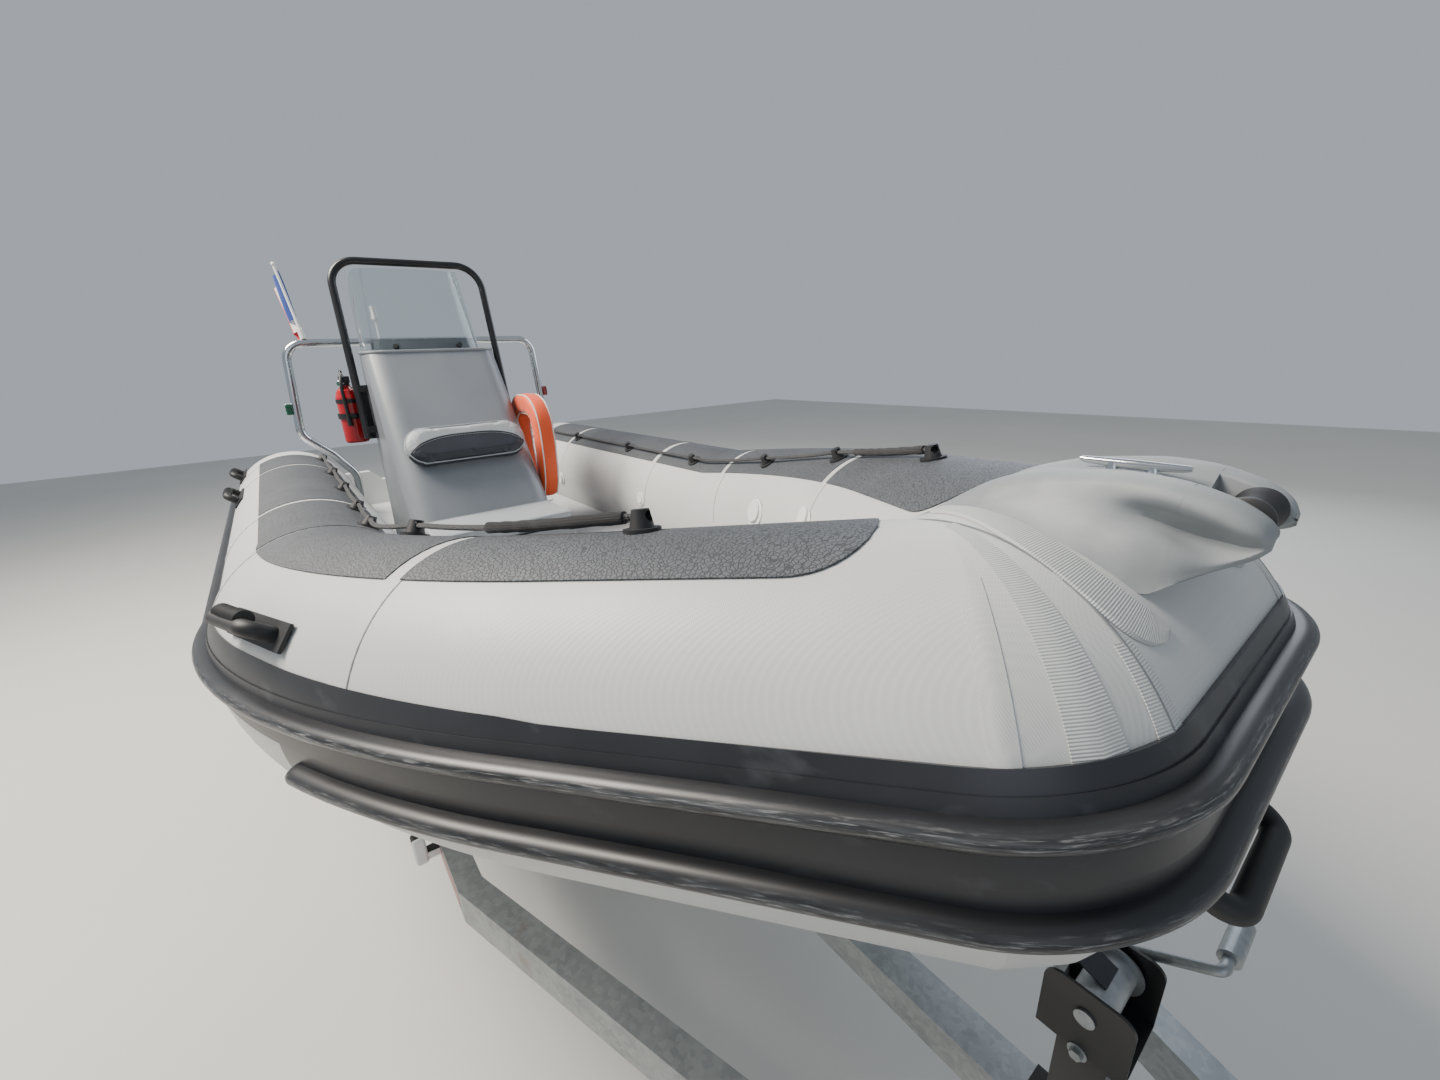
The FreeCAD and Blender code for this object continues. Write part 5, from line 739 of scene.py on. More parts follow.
# %% [markdown]
# ## Overlap tapes and seams
# Where two panels of a tube meet, a tape of the same cloth covers the joint and a dark line of glue and
# dirt shows along its edge. At the bow corner the gores are covered by ribbed tapes that fold over the
# mitre, so each of those is laid across its fold.

# %% Tapes and seams
TAPE_TOP, TAPE_SIDE = -88.0, 69.0
# how far along the collar each plain tape lies: the panel joints that show in the photograph
JOINTS = [level_at(920), level_at(1926), bend_at(2.7), bend_at(24.8), LEVEL + 0.12]


def gore_tape(shell, number, widths, low, high, side, start, end):
    """A tape folded over a mitre of the bow corner, from one half width at its top to one at its foot."""
    tops, lows, flat = [], [], []
    before, after = BEND_TURN + GORE_TURN * (number - GORE), BEND_TURN + GORE_TURN * (number - GORE + 1)
    for k in range(31):
        angle = start + (end - start) * k / 30
        width = widths[0] + (widths[1] - widths[0]) * k / 30
        for off, rows in ((high, tops), (low, lows)):
            fold = collar(number, angle, off, side)
            back = raised(math.cos(before), math.sin(before), 0) - raised(0, 0, 0)
            on = raised(math.cos(after), math.sin(after), 0) - raised(0, 0, 0)
            for way in (back, on):
                way.y *= -side
            rows.append([fold - back * width, fold - back * width * 0.5, fold, fold + on * width * 0.5,
                         fold + on * width])
        flat.append([(TUBE * math.radians(angle), w * width) for w in (-1, -0.5, 0, 0.5, 1)])
    shell.plate(tops, lows, flat)


tapes, seams, gores = Shell(), Shell(), Shell()
for side in (-1, 1):
    for joint in JOINTS:
        for shell, edges, low, high in ((tapes, (-0.021, -0.007, 0.007, 0.021), 0.0002, 0.0011),
                                        (seams, (0.021, 0.0228), 0.0001, 0.0006)):
            columns = [(joint + count_over(w, joint), TAPE_TOP, TAPE_SIDE) for w in edges]
            skin(shell, columns, 30, low, high, side)
    for number, start, narrow, wide in ((GORE + 1, 4.0, 0.006, 0.028), (GORE + 2, 50.0, 0.012, 0.02)):
        gore_tape(gores, number, (narrow, wide), 0.0002, 0.0013, side, start, TAPE_SIDE)
    gore_tape(seams, GORE + 2, (0.0011, 0.0014), 0.0002, 0.0018, side, -10.0, TAPE_SIDE)
    gore_tape(tapes, GORE, (0.012, 0.014), 0.0002, 0.001, side, 29.0, TAPE_SIDE)
tapes.piece("panel_tapes", tube_cloth, slot="pvc_grey", crease=25)
gores.piece("ribbed_corner_tapes", tape_cloth, slot="pvc_grey", crease=25)
seams.piece("seam_lines", seam_glue, slot="pvc_grey", crease=25)
print("panel joints a side:", len(JOINTS), "folded tapes a side:", GORES)

# %% [markdown]
# ## Dressing the solids
# Every solid that is right as it is keeps its shape and only gets its real finish. Where one piece holds
# parts of different stuff, such as the lamps on the arch, each face is given the finish of its place.

# %% Dress the solids
dressed = set()


def dress(names, *looks, pick=None):
    """Gives solids their finish; pick chooses among several from the middle of a face."""
    dressed.update(names.split())
    for name in names.split():
        mesh = nodes[name].data
        mesh.materials.clear()
        for look in looks:
            mesh.materials.append(look.material)
        if pick:
            for face in mesh.polygons:
                face.material_index = pick(face.center)


def arch_look(place):
    """Steel feet, a green lens to starboard and a red one to port, and white for the rest."""
    if place.z < 1.1:
        return 3
    if place.x > -2.06 and abs(place.y) > 0.6:
        return 1 if place.y < 0 else 2
    return 0


dress("tube_starboard tube_port tube_bow", tube_cloth)
dress("carry_handles keel_rollers", moulded_rubber)
dress("hull transom bow_locker bow_locker_lid", gelcoat_white)
dress("deck", deck_grit)
dress("stern_arch", stainless)
dress("console seat_boxes", gelcoat_grey)
dress("console_rail winch_post", black_tube)
dress("steering_wheel console_fittings mudguards", black_plastic)
dress("flag_staff", white_plastic)
dress("fire_extinguisher", red_enamel, black_plastic, pick=lambda p: 1 if p.z > 1.735 else 0)
dress("engine_clamp engine_swivel engine_leg propeller", leg_paint)
dress("side_beams keel_beam cross_members suspension_arms trailer_supports winch coupling_head "
      "jockey_tube jockey_stem jockey_fork", galvanised)
dress("wheel_rim_port wheel_rim_starboard", wheel_paint)
dress("bunks", carpet)
dress("winch_strap", webbing)
dress("jockey_wheel", moulded_rubber, white_plastic,
      pick=lambda p: 1 if (p.x - 2.523) ** 2 + (p.z - 0.1) ** 2 < 0.06 ** 2 else 0)
dress("arch_fittings", white_plastic, green_lens, red_lens, stainless, pick=arch_look)
dress("trailer_lamps", black_plastic, red_lens, white_plastic,
      pick=lambda p: 1 if p.x < -2.385 else (2 if p.x > 0.395 else 0))
print("dressed:", len(dressed), "of", len(nodes), "solids")

# %% [markdown]
# ## Cushions
# A boat cushion is a foam block in a sewn vinyl cover. The foam pushes the cover out between its seams,
# so the panels crown and the corners pull in. A cloth simulation with inner pressure gives that swell:
# the cover starts a little small, swells for a moment, and no point may move further than the foam is soft.

# %% Tools for cushions
FRAMES, VOXEL, PRESSURE, CORNER_STEPS = 20, 0.006, 4.0, 5
CONSOLE_Y = -146.0


def ring_solid(name, rings):
    """A closed cover between outlines of the same number of points."""
    return Shell().rings(rings).piece(name, vinyl_grey, body=None)


def baked(made):
    """The object's mesh with its modifiers applied."""
    mesh = evaluated(made)
    made.modifiers.clear()
    made.data = mesh
    return mesh


def stuffed(made, cap):
    """Swells a closed cover by its filling; no point moves further than the cap."""
    even = made.modifiers.new("even", "REMESH")
    even.mode, even.voxel_size = "VOXEL", VOXEL
    mesh = baked(made)
    rest = [v.co.copy() for v in mesh.vertices]
    cloth = made.modifiers.new("cover", "CLOTH")
    cloth.settings.use_pressure = True
    cloth.settings.uniform_pressure_force = PRESSURE
    cloth.settings.effector_weights.gravity = 0
    cloth.point_cache.frame_start, cloth.point_cache.frame_end = 1, FRAMES
    for step in range(1, FRAMES + 1):
        scene.frame_set(step)
    mesh = baked(made)
    scene.frame_set(1)
    for vertex, start in zip(mesh.vertices, rest):
        move = vertex.co - start
        if move.length > cap:
            vertex.co = start + move * (cap / move.length)
    smooth = made.modifiers.new("smooth", "SUBSURF")
    smooth.levels = smooth.render_levels = 1
    mesh = baked(made)
    mesh.polygons.foreach_set("use_smooth", [True] * len(mesh.polygons))
    return made


def sewn(made, line, radius, name, look, out=0.0):
    """A cord of piping round a cushion, drawn to its surface."""
    drawn = []
    for place in line:
        _, spot, normal, _ = made.closest_point_on_mesh(place)
        drawn.append(spot + normal * out)
    drawn = curved(drawn + drawn[:1], 4)
    return Shell().tube(drawn, radius, 10).piece(name, look, slot="cushion", crease=60)


def soft(made, look, second=None, pick=None):
    """Gives a cushion its cover and lets it ride on the boat."""
    made.data.materials.clear()
    for cover in (look, second):
        if cover:
            made.data.materials.append(cover.material)
    if pick:
        for face in made.data.polygons:
            face.material_index = pick(face.center)
    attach(made, BOAT)
    return made


def rounded_loop(x0, x1, half, radius, middle=CONSOLE_Y):
    """A rectangle with round corners, as (x, y) pairs in mm."""
    loop = []
    for cx, cy, first in ((x1 - radius, half - radius, 0), (x0 + radius, half - radius, 90),
                          (x0 + radius, radius - half, 180), (x1 - radius, radius - half, 270)):
        for k in range(CORNER_STEPS + 1):
            t = math.radians(first + 90 * k / CORNER_STEPS)
            loop.append((cx + radius * math.cos(t), middle + cy + radius * math.sin(t)))
    return loop


print("cushion tools ready")

# %% Front seat and its backrest pad
# the console's face leans back: x and z of its foot and of its top, in mm
(FOOT_X, FOOT_Z), (TOP_X, TOP_Z) = (1875, 970), (1285, 1876)


def face_x(z):
    """How far forward the console's face is at a height, in mm."""
    return FOOT_X + (z - FOOT_Z) / (TOP_Z - FOOT_Z) * (TOP_X - FOOT_X)


seat_rings = []
for z, inset in ((1129, 9), (1150, 5), (1178, 5), (1188, 14)):
    loop = rounded_loop(face_x(z) + 6, 2006 - inset, 282 - inset, 26)
    seat_rings.append([at(x, y, z) for x, y in loop])
front_seat = stuffed(ring_solid("front_seat_cushion", seat_rings), cap=0.009)
soft(front_seat, vinyl_grey)
seat_edge = [at(x, y, 1192) for x, y in rounded_loop(face_x(1185) + 8, 2006, 284, 24)]
sewn(front_seat, seat_edge, 0.0028, "front_seat_piping", vinyl_grey, 0.0006)

face_out = Vector((1, 0, (FOOT_X - TOP_X) / (TOP_Z - FOOT_Z))).normalized()
face_up = Vector((-face_out.z, 0, face_out.x))
pad_centre = at(face_x(1455), CONSOLE_Y, 1455)


def pad_loop(half_wide, half_tall, out, steps=14):
    """A stadium outline on the console's face, off it by out, in metres."""
    loop = []
    for side in (1, -1):
        for k in range(steps + 1):
            t = math.pi * k / steps - math.pi / 2
            v = Vector((0, side * (half_wide - half_tall + half_tall * math.cos(t)), 0))
            loop.append(pad_centre + v + face_up * (side * half_tall * math.sin(t)) + face_out * out)
    return loop


pad_rings = [pad_loop(0.250, 0.085, 0.004), pad_loop(0.254, 0.089, 0.026), pad_loop(0.252, 0.087, 0.054),
             pad_loop(0.236, 0.071, 0.068)]
backrest = stuffed(ring_solid("front_backrest_pad", pad_rings), cap=0.011)


def seam_height(y):
    """How high over the pad's centre its two colours meet: the seam sweeps down at both ends."""
    return 0.026 - 0.075 * (abs(y) / 0.26) ** 3.2


def lower_panel(place):
    """1 in the dark lower panel of the backrest."""
    v = place - pad_centre
    return 1 if v.dot(face_up) < seam_height(v.y) else 0


soft(backrest, vinyl_grey, vinyl_navy, lower_panel)
sewn(backrest, pad_loop(0.256, 0.091, 0.058, 10), 0.003, "backrest_piping", vinyl_grey)
panel_seam = [pad_centre + Vector((0, y, 0)) + face_up * seam_height(y) + face_out * 0.09
              for y in [-0.236 + 0.472 * k / 30 for k in range(31)]]
seam_drawn = [backrest.closest_point_on_mesh(p)[1] for p in panel_seam]
Shell().tube(curved(seam_drawn, 3), 0.0021, 8).piece("backrest_panel_seam", vinyl_navy, slot="cushion", crease=60)
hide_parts("front_cushions")
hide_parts("front_cushions")
print("front cushions:", len(front_seat.data.polygons) + len(backrest.data.polygons), "faces")

# %% Helm seat and its back
helm_rings = []
for z, inset in ((1313, 10), (1335, 5), (1372, 5), (1390, 18)):
    helm_rings.append([at(x, y, z) for x, y in rounded_loop(598 + inset, 816 - inset, 221 - inset, 34)])
helm_seat = stuffed(ring_solid("helm_seat_cushion", helm_rings), cap=0.010)
soft(helm_seat, vinyl_grey)
helm_edge = [at(x, y, 1390) for x, y in rounded_loop(600, 818, 224, 34)]
sewn(helm_seat, helm_edge, 0.003, "helm_seat_piping", vinyl_navy)
back_rings = []
for x, inset in ((514, 22), (524, 8), (572, 8), (584, 22)):
    loop = rounded_loop(-190, 190, 216 - inset, 40 - inset / 2, middle=0.0)
    back_rings.append([at(x, CONSOLE_Y + y, 1445 + z) for z, y in loop])
helm_back = stuffed(ring_solid("helm_back_cushion", back_rings), cap=0.009)
soft(helm_back, vinyl_grey, vinyl_navy, lambda p: 1 if p.z < 1.36 else 0)
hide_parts("helm_cushions")
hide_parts("helm_cushions")
print("helm cushions:", len(helm_seat.data.polygons) + len(helm_back.data.polygons), "faces")

# %% [markdown]
# ## Horseshoe lifebuoy
# A horseshoe of closed foam sits in a bright nylon cover that closes along its outer edge. The cover is
# made of two faces with a side strip, so two lines of white piping run all the way round, and the slim
# foam gives the cover flat faces with full round edges.

# %% Lifebuoy
BUOY_CENTRE, BUOY_TUBE, BUOY_SIDES = at(1446.0, 202.3, 1395.0), 52.0, 28
# the cover's line across the console's side and up it, in mm
buoy_line = [(-86, -222), (-132, -130), (-150, -20), (-150, 90), (-128, 168), (-70, 208), (0, 214),
             (70, 208), (128, 168), (150, 90), (150, -20), (132, -130), (86, -222)]
buoy_path = curved([Vector((x, 0, z)) for x, z in buoy_line], 8)


def buoy_section(swell):
    """The cover's section: a rounded square whose panels crown, as (across, through) pairs in mm."""
    loop = []
    for k in range(BUOY_SIDES):
        t = 2 * math.pi * k / BUOY_SIDES
        c, s = math.cos(t), math.sin(t)
        reach = swell / (abs(c) ** 3.4 + abs(s) ** 3.4) ** (1 / 3.4)
        loop.append((reach * c * 0.98, reach * s * 0.92))
    return loop


def buoy_ring(index, swell):
    """One section of the cover across its own line."""
    before, after = buoy_path[max(index - 1, 0)], buoy_path[min(index + 1, len(buoy_path) - 1)]
    ahead = (after - before).normalized()
    across = Vector((ahead.z, 0, -ahead.x))
    return [BUOY_CENTRE + (buoy_path[index] + across * a + Vector((0, b, 0))) / 1000
            for a, b in buoy_section(swell)]


buoy_rows = []
count = len(buoy_path)
for index in range(count):
    end = min(index, count - 1 - index)
    taper = (0.35, 0.74, 0.9, 0.97)[end] if end < 4 else 1.0
    pucker = 1 - 0.014 * (1 + math.cos(index * 2 * math.pi / 8)) * (1 if 8 < index < count - 9 else 0)
    buoy_rows.append(buoy_ring(index, (BUOY_TUBE - 3) * taper * pucker))
lifebuoy = Shell().rings(buoy_rows).piece("lifebuoy_cover", orange_cloth, slot="orange_cover", crease=70)
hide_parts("lifebuoy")
# each face's piping runs out along one corner of the section and back along the other
for name, out_corner, back_corner in (("near", 3, 25), ("far", 11, 17)):
    rim = [row[out_corner] for row in buoy_rows[2:-2]] + [row[back_corner] for row in buoy_rows[-3:1:-1]]
    rim = Shell().tube(curved(rim + rim[:1], 2), 0.0032, 8)
    rim.piece("lifebuoy_piping_" + name, piping_white, slot="orange_cover", crease=60)
print("lifebuoy rings:", len(buoy_rows))

# %% [markdown]
# ## Ensign
# The flag hangs limp from its short staff. Cloth keeps its area when it hangs, so the fly falls into
# upright folds: each height of the cloth runs the same length along a folded line.

# %% Ensign
FLAG_WIDTH, FLAG_LENGTH = 0.24, 0.36
staff_foot = at(320, -575, 1971.3)
staff_way = Vector((-0.22, -0.12, 1)).normalized()
# the hoist's two ends up the staff; then the folds, their half width, and how far the fly falls back and down
FLAG_HEAD, FLAG_FOOT = 0.376, 0.136
FOLDS, FOLD_WIDTH, FLY_BACK, FLY_DROP = 5.0, 0.021, 0.335, 0.40
COLUMNS, ROWS = 48, 26


def flag_point(across, down):
    """Where a place of the cloth hangs: across its fly from 0 to 1, down its hoist from 0 to 1."""
    hoist = staff_foot + staff_way * (FLAG_HEAD + (FLAG_FOOT - FLAG_HEAD) * down)
    fly = across * FLAG_LENGTH
    phase = across * FOLDS * math.pi
    depth = min(1.0, across * 6)
    back = 0.008 + fly * FLY_BACK * (1 - 0.12 * down)
    side = FOLD_WIDTH * depth * math.sin(phase) * (0.95 + 0.1 * down)
    lean = 0.004 * math.sin(phase * 0.5 + down * 3)
    return hoist + Vector((-back, side + lean, -fly * FLY_DROP))


rows = [[flag_point(j / COLUMNS, i / ROWS) for j in range(COLUMNS + 1)] for i in range(ROWS + 1)]
flat = [[(j / COLUMNS, i / ROWS) for j in range(COLUMNS + 1)] for i in range(ROWS + 1)]
flag_area = sum(((rows[i][j + 1] - rows[i][j]).cross(rows[i + 1][j] - rows[i][j])).length
                for i in range(ROWS) for j in range(COLUMNS))
ensign = Shell().grid(rows, flat=flat).piece("ensign_cloth", bunting, slot="ensign_cloth", crease=80, closed=False)
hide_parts("ensign")
print("flag area:", round(flag_area, 4), "of", round(FLAG_WIDTH * FLAG_LENGTH, 4), "square metres")

# %% [markdown]
# ## Rub strakes
# The strakes are long extruded D sections. A rubbed strake shows its wear along its own length, so here
# the section is swept over the map, from one stern cone round the bow to the other, and its surface
# coordinates run with it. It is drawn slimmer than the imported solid, at the width that the photograph shows.

# %% Rub strakes
STRAKE_HALF, STRAKE_TALL = 0.0145, 0.027
STRAKE_STEPS = {CONE: 8, LEVEL: 16, BEND: 40, SIDE: 8, GORE: 9, GORE + 1: 9, FRONT: 4}
# columns: across the section from -1 to 1, height from 0 to 1
STRAKE_SECTION = [(-1, 0.01), (-1, 0.24), (-0.93, 0.5), (-0.76, 0.74), (-0.48, 0.91), (-0.2, 0.985), (0, 1.0),
                  (0.2, 0.985), (0.48, 0.91), (0.76, 0.74), (0.93, 0.5), (1, 0.24), (1, 0.01)]


def strake(shell, angle, start):
    """A D section along the collar, from one side round the bow to the other, with round ends."""
    marks = sorted(set(stretch(start, CENTRE, STRAKE_STEPS)) | {start + step for step in (0.006, 0.014, 0.025)})
    runs = [(-1, a) for a in marks] + [(1, a) for a in marks[-2::-1]]
    rows, flat, run, last = [], [], 0.0, None
    for i, (side, along) in enumerate(runs):
        end = min(i, len(runs) - 1 - i)
        swell = (0.3, 0.72, 0.92)[end] if end < 3 else 1.0
        row = []
        for across, high in STRAKE_SECTION:
            off = 0.0018 + STRAKE_TALL * high * swell
            round_to = angle + math.degrees(across * STRAKE_HALF * swell / (TUBE + off))
            row.append(round_collar(along, round_to, off, side))
        crown = row[6]
        run += (crown - last).length if last else 0.0
        last = crown
        rows.append(row)
        flat.append([(run, across * STRAKE_HALF * 2.2) for across, _ in STRAKE_SECTION])
    shell.rings(rows, flat)


strakes = Shell()
strake(strakes, 80.3, CONE + 0.02)
strake(strakes, 100.4, bend_at(21))
strakes = strakes.piece("rubbed_strakes", strake_rubber, slot="rubber_black", crease=50)
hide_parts("rub_strakes")
print("strake faces:", len(strakes.data.polygons))

# %% [markdown]
# ## Bow step
# The step is one rotomoulded piece: two ridges run forward from the tube into blunt noses, a valley
# between them leads to the anchor roller, and a scoop under each ridge gives a hand or a foot its hold. A
# moulding has no flat face anywhere, so its sections are smooth curves and a smooth sheet joins them.

# %% Bow step
# columns: x, valley height, ridge height, crease y, then y and height of edge, scoop, arc and foot
STEP_ROWS = [
    (3776, 1541, 1541, 20, 30, 1541.0, 36, 1541, 42, 1540.5, 50, 1540),
    (3800, 1560, 1560, 34, 50, 1558.5, 58, 1558, 66, 1557.5, 78, 1557),
    (3834, 1582, 1583, 48, 66, 1578, 77, 1577, 88, 1576, 102, 1575.6),
    (3873, 1608, 1609, 60, 78, 1601, 90, 1596, 101, 1592, 117, 1590),
    (3904, 1626, 1627, 68, 84, 1616, 96, 1606, 107, 1600, 124, 1597.5),
    (3939, 1638, 1640, 76, 88, 1629, 99, 1616, 110, 1605.5, 129, 1600),
    (3980, 1646, 1650, 83, 92, 1638, 102, 1622, 113, 1608, 132, 1597.5),
    (4030, 1650, 1656, 88, 95, 1643, 103, 1625, 114, 1606, 132, 1586),
    (4060, 1649, 1658, 89, 95, 1640, 97, 1626, 113, 1604, 130, 1573),
    (4085, 1644, 1657, 89, 94, 1640, 82, 1618, 112, 1605, 126, 1561),
    (4106, 1638, 1655, 88, 93, 1638, 72, 1610, 109, 1602, 120, 1550),
    (4128, 1630, 1650, 86, 91, 1632, 66, 1603, 105, 1592, 112, 1563),
    (4150, 1622, 1643, 84, 88, 1624, 63, 1600, 93, 1587, 97, 1577),
    (4168, 1618, 1634, 80, 84, 1616, 66, 1599, 84, 1592, 85, 1587),
    (4180, 1613, 1625, 74, 77, 1612, 70, 1602, 76, 1598, 75, 1594),
    (4187, 1609, 1615, 64, 67, 1608, 65, 1604, 64, 1603, 62, 1601),
]


def step_half(row):
    """Half of one section, from the middle of its top round to the middle of its underside."""
    x, valley, ridge, crease, edge, edge_z, scoop, scoop_z, arc, arc_z, foot, foot_z = row
    rise = ridge - valley
    under = foot_z + (6 if x > 4110 else -9)
    return [(0, valley), (12, valley + rise * 0.06), (26, valley + rise * 0.5), (crease * 0.5, ridge - rise * 0.06),
            (crease * 0.78, ridge), (crease, ridge - 4), (edge, edge_z), (scoop, scoop_z), (arc, arc_z),
            (foot, foot_z), (foot * 0.95, foot_z - 3), (foot * 0.5, under), (0, under)]


def step_table(steps):
    """The sections' numbers with more stations between them."""
    parts = [curved([Vector((row[0], row[k], row[k + 1])) for row in STEP_ROWS], steps) for k in (1, 4, 6, 8, 10)]
    crease = curved([Vector((row[0], row[3], 0)) for row in STEP_ROWS], steps)
    table = []
    for i, spot in enumerate(crease):
        line = [spot.x, parts[0][i].y, parts[0][i].z, spot.y]
        for part in parts[1:]:
            line += [part[i].y, part[i].z]
        table.append(line)
    return table


def step_solid(rows, section):
    """One closed smooth body through sections of the moulding."""
    return Shell().rings([[at(row[0], y, z) for y, z in section(row)] for row in rows])


def whole_section(row):
    """The full outline across both ridges."""
    half = [(p.x, p.y) for p in curved([Vector((y, z, 0)) for y, z in step_half(row)], 3)]
    return half + [(-y, z) for y, z in half[-2:0:-1]]


def nose_section(side):
    """The outline of one nose beside the roller's slot."""
    def section(row):
        _, _, ridge, crease, edge, edge_z, scoop, scoop_z, arc, arc_z, foot, foot_z = row
        under = foot_z + 6
        points = [(38, ridge - 7), (40, ridge - 2), (crease * 0.64, ridge - 0.3), (crease * 0.82, ridge),
                  (crease, ridge - 4), (edge, edge_z), (scoop, scoop_z), (arc, arc_z), (foot, foot_z),
                  (foot * 0.95, foot_z - 3), (50, under), (40, under + 1), (38, under + 4)]
        return [(side * p.x, p.y) for p in curved([Vector((y, z, 0)) for y, z in points], 3)]
    return section


# where the roller's slot parts the two noses, in mm
SLOT_START = 4121
sections = step_table(4)
body_rows = [row for row in sections if row[0] <= SLOT_START]
nose_rows = [row for row in sections if row[0] > SLOT_START - 6]
bow_step = step_solid(body_rows, whole_section)
for side in (-1, 1):
    nose = step_solid(nose_rows, nose_section(side))
    first = len(bow_step.points)
    bow_step.points += nose.points
    bow_step.flat += nose.flat
    bow_step.faces += [tuple(first + i for i in face) for face in nose.faces]
bow_step = bow_step.piece("moulded_bow_step", step_plastic, slot="moulding_grey", crease=48)
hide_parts("bow_step")

# the cleat lies low over the moulding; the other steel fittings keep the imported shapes
steel = nodes["steel_fittings"].data.copy()
work = bmesh.new()
work.from_mesh(steel)
cleat_box = (at(3930, -40, 1610), at(4100, 40, 1710))
gone = [v for v in work.verts if all(low <= c <= high for low, c, high in zip(cleat_box[0], v.co, cleat_box[1]))]
bmesh.ops.delete(work, geom=gone, context="VERTS")
work.to_mesh(steel)
work.free()
steel = placed(steel, "steel_fittings_kept", stainless)
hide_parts("steel_fittings")
cleat_line = [at(x, 0, 1657 + bend) for x, bend in ((3986, 1.5), (3996, 0.5), (4022, 0), (4043, 0), (4064, 0),
                                                    (4090, 0.5), (4100, 1.5))]
cleat_radii = [0.0032 + 0.0026 * math.sin(math.pi * i / 24) for i in range(25)]
cleat = Shell().tube(curved(cleat_line, 4), cleat_radii, 16)
for x, low in ((4022, 1643), (4064, 1642)):
    cleat.lathe([(0, 0.0), (0.013, 0.0), (0.0125, 0.0035), (0.0072, 0.0065), (0.0058, 0.0145), (0, 0.0145)],
                Matrix.Translation(at(x, 0, low)), 24)
cleat.piece("bow_cleat", stainless, slot="stainless", crease=50)

# the anchor roller: a soft rubber drum with a waist, on the steel pin; distance from the pin, and along it
drum = [(0.0066, -0.033), (0.0225, -0.033), (0.0245, -0.0315), (0.0245, -0.028), (0.0205, -0.019),
        (0.0172, -0.009), (0.0162, 0)]
drum += [(r, -y) for r, y in drum[-2::-1]]
roller = Shell().lathe(drum + drum[:1], facing(at(4158, 0, 1617), (0, 1, 0)), 40)
roller = roller.piece("anchor_roller", moulded_rubber, "bow_roller", "rubber_black", 40)
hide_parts("bow_roller")

# the glued foot: columns are how far along the collar and degrees forward, of the outer and the inner edge
FOOT_EDGES = [((7.30, -12), (7.52, -12)), ((7.13, 5), (7.37, 4)), ((7.02, 17), (7.31, 17)), ((6.975, 29), (7.27, 29)),
              ((6.985, 38), (7.27, 37)), ((7.03, 46), (7.31, 44.5)), ((7.10, 51), (7.36, 48.5)),
              ((7.20, 54.2), (7.38, 50.5)), ((7.30, 55.3), (7.40, 52.2)), ((7.36, 54.6), (7.42, 53.2))]
# across the foot: the share of its width, and how high its top lies off the tube
FOOT_SHARES, FOOT_HEIGHTS = (0, 0.06, 0.35, 0.7, 1), (0.0012, 0.0042, 0.0048, 0.0048, 0.0044)
feet = Shell()
for side in (-1, 1):
    outer = curved([Vector((*one, 0)) for one, _ in FOOT_EDGES], 5)
    inner = curved([Vector((*two, 0)) for _, two in FOOT_EDGES], 5)
    tops, lows, flat, run = [], [], [], 0.0
    for i, (a, b) in enumerate(zip(outer, inner)):
        spots = [a.lerp(b, share) for share in FOOT_SHARES]
        tops.append([collar(p.x, p.y, high, side) for p, high in zip(spots, FOOT_HEIGHTS)])
        lows.append([collar(p.x, p.y, 0.0004, side) for p in spots])
        run += (tops[-1][0] - tops[-2][0]).length if i else 0.0
        flat.append([(run, share * 0.06) for share in FOOT_SHARES])
    feet.plate(tops, lows, flat)
feet.piece("bow_step_glued_feet", tape_cloth, slot="moulding_grey", crease=30)
print("bow step faces:", len(bow_step.data.polygons))

# %% [markdown]
# ## What repeats: Geometry Nodes
# Bolts, stitches, ribs and tread blocks are one small shape set down many times, so a node tree makes
# each kind. A tree gets its sizes as named inputs and its places from a small carrier mesh. It ends in
# realised shapes with their finish, which are then turned into a plain mesh.

# %% Tools for repeated shapes
def planted(name, **sizes):
    """An empty tree with a place for its carrier, a finish and the named sizes."""
    tree = bpy.data.node_groups.new(name, "GeometryNodeTree")
    tree.interface.new_socket("Geometry", in_out="INPUT", socket_type="NodeSocketGeometry")
    tree.interface.new_socket("Finish", in_out="INPUT", socket_type="NodeSocketMaterial")
    for label, value in sizes.items():
        kind = "NodeSocketInt" if isinstance(value, int) else "NodeSocketFloat"
        kind = "NodeSocketVector" if isinstance(value, tuple) else kind
        tree.interface.new_socket(label, in_out="INPUT", socket_type=kind).default_value = value
    tree.interface.new_socket("Geometry", in_out="OUTPUT", socket_type="NodeSocketGeometry")
    return tree, add(tree, "NodeGroupInput").outputs


def set_down(tree, points, shape, rotation):
    """One copy of a shape on each point, turned as asked."""
    inputs = {"Points": points, "Instance": shape, "Rotation": rotation}
    return result(tree, "GeometryNodeInstanceOnPoints", inputs)


def finished(tree, ends, shapes):
    """Ends a tree: the set down shapes are made real and get their finish."""
    real = result(tree, "GeometryNodeRealizeInstances", {"Geometry": shapes})
    coated = result(tree, "GeometryNodeSetMaterial", {"Geometry": real, "Material": ends["Finish"]})
    add(tree, "NodeGroupOutput", {"Geometry": coated})
    return tree


def grown(tree, carrier, name, look, body=BOAT, slot=None, crease=38, **sizes):
    """Runs a tree on a carrier mesh and keeps the result as one plain piece."""
    made = linked(name + "_carrier", carrier)
    layer = made.modifiers.new("repeat", "NODES")
    layer.node_group = tree
    values = {"Finish": look.material, **sizes}
    for item in tree.interface.items_tree:
        if item.item_type == "SOCKET" and item.in_out == "INPUT" and item.name in values:
            layer[item.identifier] = values[item.name]
    mesh = baked(made)
    bpy.data.objects.remove(made)
    return placed(mesh, name, look, body, crease)


